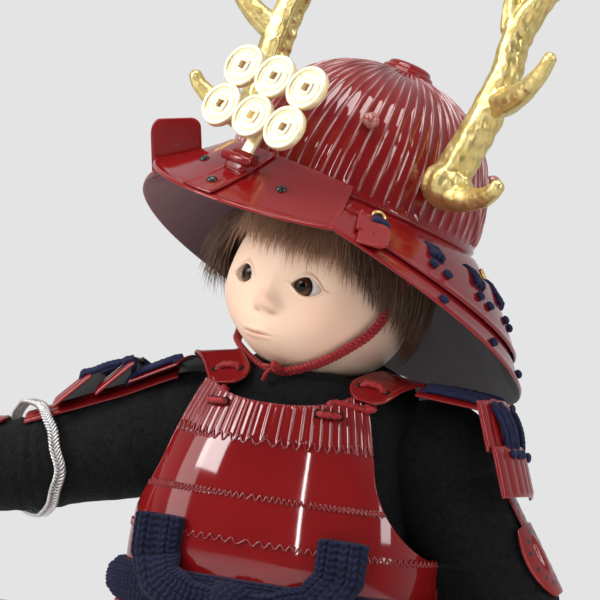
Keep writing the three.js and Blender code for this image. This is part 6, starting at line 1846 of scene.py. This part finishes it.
for bone in bones.values():
    makeArmArmour(bone)
makeArmBand()
print("arm armour made")


# shoulder straps with their ties, pads and hanging guards

straps = {
    "width": 19.0, "spacing": 78.0, "top": 92.0, "reach": 31.0, "drop": 9.0, "slope": 0.15, "plate": 1.2,
    "length": 70, "inward": {1: 5.0, -1: 15.0}, "arch": {1: 0.0, -1: 3.0},
}
strapTies = {
    "around": 24.4, "slotAt": 74.6, "cord": 1.25, "knot": 2.2, "holes": (0.22, 0.78), "holeRadius": 1.6,
    "slotHalf": 0.115, "slotRadius": 1.6, "slotFlat": 0.3,
    "through": ((-0.1, 0.2), (-0.06, 2.5), (0.06, 2.5), (0.1, 0.2)),
    "across": ((0.24, 0.2), (0.36, 2.3), (0.64, 2.3), (0.76, 0.2)),
}


# a strap runs from front to back over the shoulder, bowed down at both ends and rounded off there
def strapSurface(side):
    def surface(u, v):
        y = mix(-straps["reach"], straps["reach"] + 2, v)
        z = straps["top"] - straps["drop"] * (y / straps["reach"]) ** 2
        rounded = lambda past, length: sqrt(clip(1 - (clip(past, 0, 1) / length) ** 2, 0.05, 1))
        o = (u - 0.5) * straps["width"] * rounded(0.13 - v, 0.14) * rounded(v - 0.9, 0.12)
        arch = straps["arch"][side] * bell(v - 0.26, 0.13) - 2 * smoothStep(0.14, 0, v)
        x = straps["spacing"] / 2 + o - straps["inward"][side] * smoothStep(0.4, 0.02, v)
        return stack([side * x, y, z + arch - straps["slope"] * o], -1)
    return surface


# three short cords, through the slot in the breast plate, across the strap's end and below it, and a knot
def tiePatches(surface, low):
    onEnd = lambda u, v, h: surface(array(u), array(v)) + array([0, -0.3, 1.0]) * h
    knot = onEnd(0.62, 0.02, -2.6)
    through = [cuirassAt(low + a, strapTies["slotAt"], h) for a, h in strapTies["through"]]
    across = [onEnd(u, 0.1, h) for u, h in strapTies["across"]]
    below = [cuirassAt(low, 76.0, -1.4), cuirassAt(low * 1.08, 79.5, 0.2), knot, onEnd(0.5, 0.1, -1.2)]
    routes = (through, across, below)
    cords = [cordPatch(line, 30, strapTies["cord"], 12, (0, -1, 0.4), 0.16, 2.4) for line in routes]
    return cords + [knotPatch(strapTies["knot"], lyingOn(knot, (0, -0.9, 0.3), (1, 0, 0)))]


def makeStraps():
    width = straps["width"]
    roll = lambda u, v: 0.35 * bell(minimum(u, 1 - u) * width - 1.0, 0.7)
    for name, side in bothSides:
        surface, over = strapSurface(side), side < 0
        plate = platePatch(surface, (width, straps["length"]), (28, 70), straps["plate"], roll, flip=over)
        torsoPiece("strapPlate_" + name, plate, "shoulder_strap_" + name)
        low = radians(side * strapTies["around"])
        ties = tiePatches(surface, low)
        makePiece("strapTie_" + name, ties, trunkFrame, "torso", redCord, "strap_cord_" + name)
        half = strapTies["slotHalf"]
        line = stack([cuirassAt(low + a, strapTies["slotAt"], 1.5) for a in linspace(-half, half, 18)])
        out = unit(line * array([1, 1, 0]))
        slit = tubePatch(line, strapTies["slotRadius"], 12, out, flat=strapTies["slotFlat"])
        torsoPiece("breastSlot_" + name, slit, material=blackCloth)
        holes = [holeOn(surface, u, 0.1, strapTies["holeRadius"], 1.22, over) for u in strapTies["holes"]]
        torsoPiece("strapHoles_" + name, holes, material=blackCloth)


# pads: a length out from the shoulder and a slope in degrees
pads = {
    "start": 49.5, "width": 38.0, "top": 90.775, "left": (26.0, 5.0), "right": (20.0, 26.0), "plate": 1.2,
    "ties": (0.06, 0.13, 0.2, 0.76, 0.83, 0.9),
    "tieRoute": ((0.1, 1.2), (0.16, 2.6), (0.5, 2.9), (0.9, 2.7), (1.02, 2.0), (1.1, -0.6)),
}


def padSurface(side, length, slope):
    def surface(u, v):
        y, out = pads["width"] * (v - 0.5), length * u
        z = pads["top"] - out * np.tan(radians(slope)) - y**2 / 75
        return stack([side * (pads["start"] + out), y, z], -1)
    return surface


def makePads():
    roll = lambda u, v: 0.3 * bell((1 - u) * 26 - 1.1, 0.7)
    for name, side in bothSides:
        length, slope = pads[name]
        surface = padSurface(side, length, slope)
        pad = platePatch(surface, (length, pads["width"]), (26, 34), pads["plate"], roll, flip=side < 0)
        torsoPiece("padPlate_" + name, pad, "shoulder_pad_" + name)
        ties = []
        for v in pads["ties"]:
            line = [surface(array(u), array(v)) + array([0, 0, h]) for u, h in pads["tieRoute"]]
            ties.append(cordPatch(line, 22, guards["cord"], 8, (0, 0, 1), 0.14, 3))
        torsoPiece("padLacing_" + name, ties, material=navyCord)


guards = {
    "width": 40.0, "height": 20.0, "forward": 3.0, "overlap": 2.5, "curve": 46.0, "ribs": 7, "rib": 0.6,
    "plate": 1.2, "leftLean": 20.0, "leftReach": 3.3, "rightLean": 27.0, "rightFeet": (34.0, 52.0),
    "cord": 1.05, "knot": 1.7, "rightTies": (-15.5, -13.0, -10.5, 10.5, 13.0, 15.5),
    "leftCords": (((13.5, 11.0, 8.5, 6.0, 3.5), -3.0), ((-10.5, -13.0, -15.5, -17.6), -1.0)),
    "leftCordRun": (3, 22.0, 2.2),
}
rightKnots = ((-14.5, 2.4), (-11.0, 2.8), (12.0, 2.4), (15.0, 2.8))
guardKnots = {
    "left_upper": ((12.6, 2.6), (8.0, 2.8), (-12.0, 2.6), (-16.0, 2.8)),
    "left_lower": ((10.2, 3.6), (5.6, 3.8), (1.6, 3.8), (-13.6, 3.8), (-17.0, 4.0)),
    "right_upper": rightKnots, "right_lower": rightKnots,
}


# how far a guard's face bows back at a distance from its middle
def guardBow(x):
    return -(x**2) / (2 * guards["curve"])


def guardSurface(u, v):
    x = guards["width"] * (u - 0.5)
    return stack([x, guards["height"] * v, guardBow(x)], -1)


# round ribs that end short of the upper and lower edges
def guardRelief(u, v):
    rib = np.abs(sin(pi * guards["ribs"] * u)) ** 0.7
    return guards["rib"] * rib * smoothStep(0.03, 0.1, v) * smoothStep(0.03, 0.1, 1 - v)


# columns: along the hinge, down the plate, and out of its face
def hangingFrame(place, hang, outward):
    hang = unit(hang)
    hinge = unit(cross(hang, outward))
    return frameAt(place, column_stack([hinge, hang, cross(hinge, hang)]))


# the left guards hang from the pad's edge, and the right ones lie along the arm's strip
def guardFrames():
    lean = radians(guards["leftLean"])
    hang = array([sin(lean), 0, -cos(lean)])
    length, slope = pads["left"]
    edge = pads["top"] - length * np.tan(radians(slope))
    upper = array([pads["start"] + length + guards["leftReach"], -guards["forward"], edge + 0.5])
    lower = upper + hang * (guards["height"] - guards["overlap"]) + [2.2 / cos(lean), 0, 0]
    places = (("left_upper", upper), ("left_lower", lower))
    frames = {name: hangingFrame(place, hang, (1, 0, 0)) for name, place in places}
    bone = bones["right"]
    rise = unit(array([0, 0, 1]) - bone["upper"] * bone["upper"][2])
    lean = radians(guards["rightLean"])
    hang = bone["upper"] * cos(lean) - rise * sin(lean)
    for name, foot in zip(("right_upper", "right_lower"), guards["rightFeet"]):
        v = (foot / arms["lengths"][0] - armPlates["start"]) / (armPlates["end"] - armPlates["start"])
        onStrip = bone["shoulder"] + bone["upper"] * foot + rise * (stripRadius(v) + 2.6)
        place = onStrip - hang * guards["height"]
        frames[name] = hangingFrame(place, hang, rise)
    return frames


# a group of cords that hang over a plate side by side, bowed out from it
def hangingCords(xs, lean):
    start, end, bow = guards["leftCordRun"]
    t = linspace(0, 1, 9)
    patches = []
    for k, x in enumerate(xs):
        across = x + lean * t
        out = guardBow(across) + 1.7 + bow * sin(pi * t) ** 0.7 + 0.25 * (k % 2)
        line = stack([across, mix(start, end, t), out], -1)
        patches.append(cordPatch(line, 26, guards["cord"], 8, (0, 0, 1), 0.12, 3.4, k))
    return patches


# a right guard's cords, parted at its hinge: lengths on the plate, and others up to far that stay above
def partedCords(far):
    onPlate, above = [], []
    for x in guards["rightTies"]:
        sag = guardBow(x)
        near, knee = array([x, 3.0, 1.6 + sag]), array([x, 0.0, 1.1 + sag])
        away = far * [0, 1, 1] + [x * 0.9, 0, sag]
        down = [near + [0, 2, -0.4], near + [0, 0, 0.9], knee + [0, 1.2, 0.9], knee]
        up = [knee, mix(knee, away, 0.5) + [0.04 * x, 0, 1.0], away + [0, 1.5, 1.2], away + [0, 3.0, 0.2]]
        for cords, line in ((onPlate, down), (above, up)):
            cords.append(cordPatch(line, 22, guards["cord"], 8, (0, 0.3, 1), 0.14, 3))
    return onPlate, above


def makeGuards():
    frames = guardFrames()
    underPad = array([-pads["start"] - pads["right"][0], -6, pads["top"] - 6])
    above = {
        "right_upper": ("torso", underPad), "right_lower": ("guard_right_upper", frames["right_upper"][0]),
    }
    size = (guards["width"], guards["height"])
    for name, (place, axes) in frames.items():
        spot, cadName = within(trunkFrame, (place, axes)), "guard_" + name
        plate = platePatch(guardSurface, size, (150, 26), guards["plate"], guardRelief)
        makePiece("guardPlate_" + name, plate, spot, cadName, redLacquer, cadName)
        lacing = []
        if name == "left_upper":
            lacing = [cord for xs, lean in guards["leftCords"] for cord in hangingCords(xs, lean)]
        elif name in above:
            carrier, target = above[name]
            lacing, ties = partedCords((target - place) @ axes + [0, 2.0, 1.2])
            makePiece("guardTie_" + name, ties, spot, carrier, navyCord)
        for x, y in guardKnots[name]:
            lacing.append(knotPatch(guards["knot"], frameAt((x, y, 2.4 + guardBow(x)))))
        makePiece("guardLacing_" + name, lacing, spot, cadName, navyCord)


makeStraps()
makePads()
makeGuards()
print("shoulder armour made")


# sash: a knitted band round the waist and a bow at the front

sash = {
    "bottom": -7.0, "width": 16.0, "thick": 6.0, "standoff": 2.1, "bow": (2.0, 37.0), "loopTop": 29.0,
    "loopWidth": 20.0, "loopThick": 7.0, "knot": 9.5, "stitch": (4.4, 2.7, 1.15), "fill": 0.5,
    "section": ((0, 0.02), (0.02, 0.35), (0.25, 0.9), (0.5, 1), (0.75, 0.9), (0.98, 0.35), (1, 0.02)),
    "loop": ((0, -0.08, 0), (0.45, -0.04, 0.1), (0.85, 0.16, 0.55), (1, 0.5, 0.92), (1, 0.8, 1), (1, 1, 1)),
}


# knit: slanted stitches meet in the middle of each column and leave a groove on both sides of it
def knitRelief(across, along):
    wide, long, deep = sash["stitch"]
    c = np.abs(np.mod(across / wide, 1) - 0.5)
    lobe = 0.5 + 0.5 * cos(2 * pi * (along / long - 0.85 * c))
    groove = (1 - 0.9 * bell(0.5 - c, 0.10)) * (1 - 0.55 * bell(c, 0.07))
    return deep * ((0.3 + 0.7 * lobe) * groove - 0.35)


# painted shade in the knit's grooves: one where the knit is deepest
def knitShade(relief):
    return clip(0.62 - relief / sash["stitch"][2], 0, 1) ** 1.2


def knitPiece(name, patches, stands):
    makePiece(name, patches, trunkFrame, "torso", navyKnit, stands)


# a band whose round section is carried along the waist, with a plain back
def makeSashBand():
    turn, v = roundSteps(760), linspace(0, 1, 62)[:, None]
    bulge = interp(v, *array(sash["section"]).T)
    base = cuirassAt(turn, np.zeros_like(v), sash["standoff"] + sash["thick"] * bulge)
    base[..., 2] = sash["bottom"] + sash["width"] * v
    relief = knitRelief(v * 26, turn * 58)
    raised = (relief + 0.5 * drift(base, 34, 6)) * minimum(1, bulge * 3)
    outer = base + unit(base * array([1, 1, 0])) * raised[..., None]
    back = cuirassAt(turn, np.zeros((6, 1)), sash["standoff"])
    back[..., 2] = sash["bottom"] + sash["width"] * linspace(0.98, 0.02, 6)[:, None]
    shade = concatenate([knitShade(relief).ravel(), np.ones(back[..., 0].size)])
    knitPiece("sashKnit", loopedPatch(concatenate([outer, back]), rim=shade), "sash_band")


# how far forward the cuirass stands at a place, with an offset
def frontAt(x, z, offset):
    share = minimum(np.abs(x) / (throughHeights(0, z) + offset), 0.95)
    power = cuirass["roundness"]
    return -(throughHeights(1, z) + offset) * (1 - share**power) ** (1 / power)


# one loop: along the band from the knot, then upright against the breast plate
def bowLoop(side):
    aside, reach = sash["bow"]
    half = sash["loopThick"] / 2
    count = 240
    t = linspace(0, len(sash["loop"]) - 1, count)
    across, rise, bend = evened(betweenRows(sash["loop"], count), 12).T
    x, z = aside + side * reach * across, sash["loopTop"] * rise
    low = clip(1 - z / 13, 0, 1)
    y = frontAt(x, maximum(z, 0), 2.2 + sash["thick"] * low) - half
    turn = pi / 2 * bend
    flat = stack([-side * sin(turn), 0 * turn, cos(turn)], -1)
    width = (sash["loopWidth"] * mix(0.62, 1, minimum(1, t / 3)) / 2)[:, None]
    closed = lambda past: sqrt(clip(1 - clip(past, 0, 1) ** 2, 0.02, 1))[:, None]
    end = closed((t - 4.82) / 0.18) * closed((0.15 - t) / 0.15)
    around = roundSteps(168)
    sx, sy = squared(cos(around), 3), squared(sin(around), 3)
    way = wayAlong(stack([x, z], -1))[:, None]
    relief = knitRelief(sx * width + 30, way) * (np.abs(sy) > 0.3)
    fold = 0.9 * bell(sx, 0.35) * smoothStep(1.5, 3.2, t)[:, None] * (sy > 0)
    depth = sy * (half * end + relief - fold)
    aside = flat[:, None] * (sx * width * (0.4 + 0.6 * end))[..., None]
    points = stack([x, y, z], -1)[:, None] + aside + array([0, -1.0, 0]) * depth[..., None]
    return {**ringPatch(points), "rim": withPoles(knitShade(relief), 0.5, 0.5)}


def makeSashBow():
    aside, r = sash["bow"][0], sash["knot"]
    knot = ballRings(ballRise(74)[1:-1], roundSteps(120), r, 0.62 * r, 0.88 * r)
    slant = knot[..., 0] * 0.6 + knot[..., 2] * 0.8
    over = knot[..., 2] * 0.6 - knot[..., 0] * 0.8
    relief = knitRelief(slant + 30, over)
    knot = knot * (1 + (relief / r + 0.07 * sin(slant * 0.7))[..., None])
    knot = knot + [aside, frontAt(aside, 0.0, 7.2) - 5.2, 0]
    ball = {**ringPatch(knot), "rim": withPoles(knitShade(relief), 0.5, 0.5)}
    knitPiece("sashBowKnit", [bowLoop(-1), bowLoop(1), ball], "sash_bow")


makeSashBand()
makeSashBow()
print("sash made")


# skirt: hanging panels, each of three stepped plates

skirts = {
    "names": ("front_left", "side_left", "back_left", "back_right", "side_right", "front_right"),
    "height": 50.0, "top": -7.4, "flare": 13.0, "gap": 2.35, "standoff": 2.2, "plate": 1.6, "size": (58, 50),
    "lames": 3, "step": 0.45, "flutes": 14, "cord": 0.8,
    "cordsAt": (0.14, 0.32, 0.5, 0.68, 0.86), "cordRuns": ((0.72, 0.62), (0.39, 0.29)),
    "cordRoute": ((0, 1.2), (0.25, 2.5), (0.75, 2.2), (1, 0.9)),
}


# a sixth of the waist's oval, growing wider downwards
def skirtSurface(k):
    middle, half = (k + 0.5) * 60, 30 - skirts["gap"]

    def surface(u, v):
        down = 1 - v
        angle = radians(middle + half * (2 * u - 1))
        p = cuirassAt(angle, 0 * v, skirts["flare"] * down + skirts["standoff"])
        return stack([p[..., 0], p[..., 1], skirts["top"] - skirts["height"] * down], -1)
    return surface


# each lower plate is set a step behind the one above it, with a raised edge and fine upright flutes
def skirtRelief(u, v):
    down = (1 - v) * skirts["lames"]
    lame = minimum(np.floor(down), skirts["lames"] - 1)
    into = down - lame
    ends = smoothStep(0.12, 0.2, into) * smoothStep(0.12, 0.2, 1 - into)
    flute = 0.3 * np.abs(sin(pi * skirts["flutes"] * u)) * ends
    return flute - skirts["step"] * lame - 0.25 * smoothStep(0.9, 1.0, into) + 0.35 * bell(1 - into, 0.06)


def makeSkirts():
    for k, name in enumerate(skirts["names"]):
        surface, cadName = skirtSurface(k), "skirt_" + name
        panel = platePatch(surface, skirts["size"], (104, 58), skirts["plate"], skirtRelief)
        makePiece("skirtPanel_" + name, panel, trunkFrame, cadName, redLacquer, cadName)
        raised = lambda u, v, h: surface(u, v) + normalsOf(surface, u, v) * h
        cords = []
        for u in skirts["cordsAt"]:
            for top, low in skirts["cordRuns"]:
                line = [raised(array(u), array(mix(top, low, t)), h) for t, h in skirts["cordRoute"]]
                cords.append(tubePatch(smoothPath(line, 12), skirts["cord"], 7, (0, 0, 1)))
        makePiece("skirtLacing_" + name, cords, trunkFrame, cadName, navyCord)


makeSkirts()
print("skirt made")


# legs: trousers gathered above the shin, shin guards and boots; sections give heights and radii

legs = {
    "foot": 38.0, "hip": 26.5, "toeOut": 14.0, "low": 20.25, "high": 147.0, "fill": 0.8,
    "sections": (
        (20.25, 0.2), (20.25, 9), (21, 10), (27, 11.4), (47.9, 12.8), (62, 12), (65, 14), (71, 20.5),
        (80, 23.8), (89.6, 25), (110, 25), (126.5, 24.5), (142, 23), (146.5, 21), (147, 0.2),
    ),
}


# how far out a leg's middle stands at a height
def legMiddle(z):
    return mix(legs["foot"], legs["hip"], (z - legs["low"]) / (legs["high"] - legs["low"]))


def makeLeg(name, sign):
    z, r = betweenRows(legs["sections"], 130).T
    r[1:-1] = evened(r[1:-1], 4)
    x = maximum(legMiddle(z), r + 1) * sign
    turn = roundSteps(110)
    axis = stack([x, 0 * x, z], -1)[:, None]
    rings = axis + r[:, None, None] * stack([cos(turn), sin(turn), 0 * turn], -1)
    gather = (smoothStep(64, 70, z) * smoothStep(100, 76, z))[:, None] * sin(17 * turn + 2 * sin(3 * turn))
    pleat = 0.9 * gather + 0.6 * smoothStep(70, 90, z)[:, None] * drift(rings, 40, 21)
    cloth = ringPatch(rings + unit(rings - axis) * minimum(pleat, 0.7)[..., None])
    cadName = "trouser_leg_" + name
    piece = makePiece("trouser_" + name, cloth, figureFrame, "torso", blackCloth, cadName)


# a boot's rings: heights, and shares of its length and width
boots = {
    "length": 66.0, "width": 31.0, "heel": 19.8, "power": 2.4,
    "rings": (
        (0, 0.05, 0.05), (0, 0.96, 0.92), (1.2, 1, 1), (8.1, 1, 1), (14.85, 0.82, 0.96), (21.6, 0.6, 0.98),
        (26, 0.55, 1.0), (27, 0.53, 0.97), (27, 0.42, 0.8), (24, 0.4, 0.78),
    ),
}


# ovals set back to the heel, with a shaggy skin between the sole and the top edge
def makeBoot(name, sign):
    count, half, last = 100, boots["length"] / 2, len(boots["rings"]) - 1
    rows = betweenRows(boots["rings"], count)
    setBack = lambda share: [0, boots["heel"] - half * max(share, 0.4), 0]
    oval = lambda z, long, wide: ovalRing(z, boots["width"] / 2 * wide, half * long, 120, boots["power"])
    rings = stack([oval(*row) + setBack(row[1]) for row in rows])
    shag = minimum(0.5 * drift(rings, 4.5, 31) + 0.4 * drift(rings, 2.4, 32), 0.25)
    belowEdge = smoothStep(last - 1.2, last - 2.2, linspace(0, last, count))
    pile = smoothStep(0.8, 3, rows[:, 0])[:, None] * belowEdge[:, None] * shag
    outward = unit((rings - rings.mean(1, keepdims=True)) * array([1, 1, 0]))
    spot = frameAt((sign * legs["foot"], 0, 0), turned(0, 0, sign * legs["toeOut"]))
    pelt = ringPatch(rings + outward * pile[..., None])
    makePiece("furBoot_" + name, pelt, spot, "torso", bootPile, "boot_" + name)


shinGuards = {
    "radius": 13.3, "half": 75.0, "low": 28.0, "height": 32.0, "plate": 1.2, "size": (36, 34),
    "splints": 9, "splint": 0.5,
}


# a part of a tube in front of the shin, raised to a peak at the middle of its top, with upright splints
def makeShinGuard(name, sign):
    def surface(u, v):
        angle = radians(shinGuards["half"]) * (2 * u - 1)
        r = shinGuards["radius"] + 0.8 * v * v
        z = shinGuards["low"] + shinGuards["height"] * v + 4 * cos(angle) * smoothStep(0.6, 1.0, v)
        return stack([legMiddle(z) * sign + r * sin(angle), -r * cos(angle), z], -1)

    def splints(u, v):
        ends = smoothStep(0.05, 0.1, v) * smoothStep(0.05, 0.1, 1 - v)
        return shinGuards["splint"] * np.abs(sin(pi * shinGuards["splints"] * u)) ** 0.6 * ends
    plate = platePatch(surface, shinGuards["size"], (110, 30), shinGuards["plate"], splints)
    cadName = "shin_guard_" + name
    makePiece("shinPlate_" + name, plate, figureFrame, "torso", redLacquer, cadName)


for name, sign in bothSides:
    makeLeg(name, sign)
    makeBoot(name, sign)
    makeShinGuard(name, sign)
print("legs made")

bpy.context.view_layer.update()
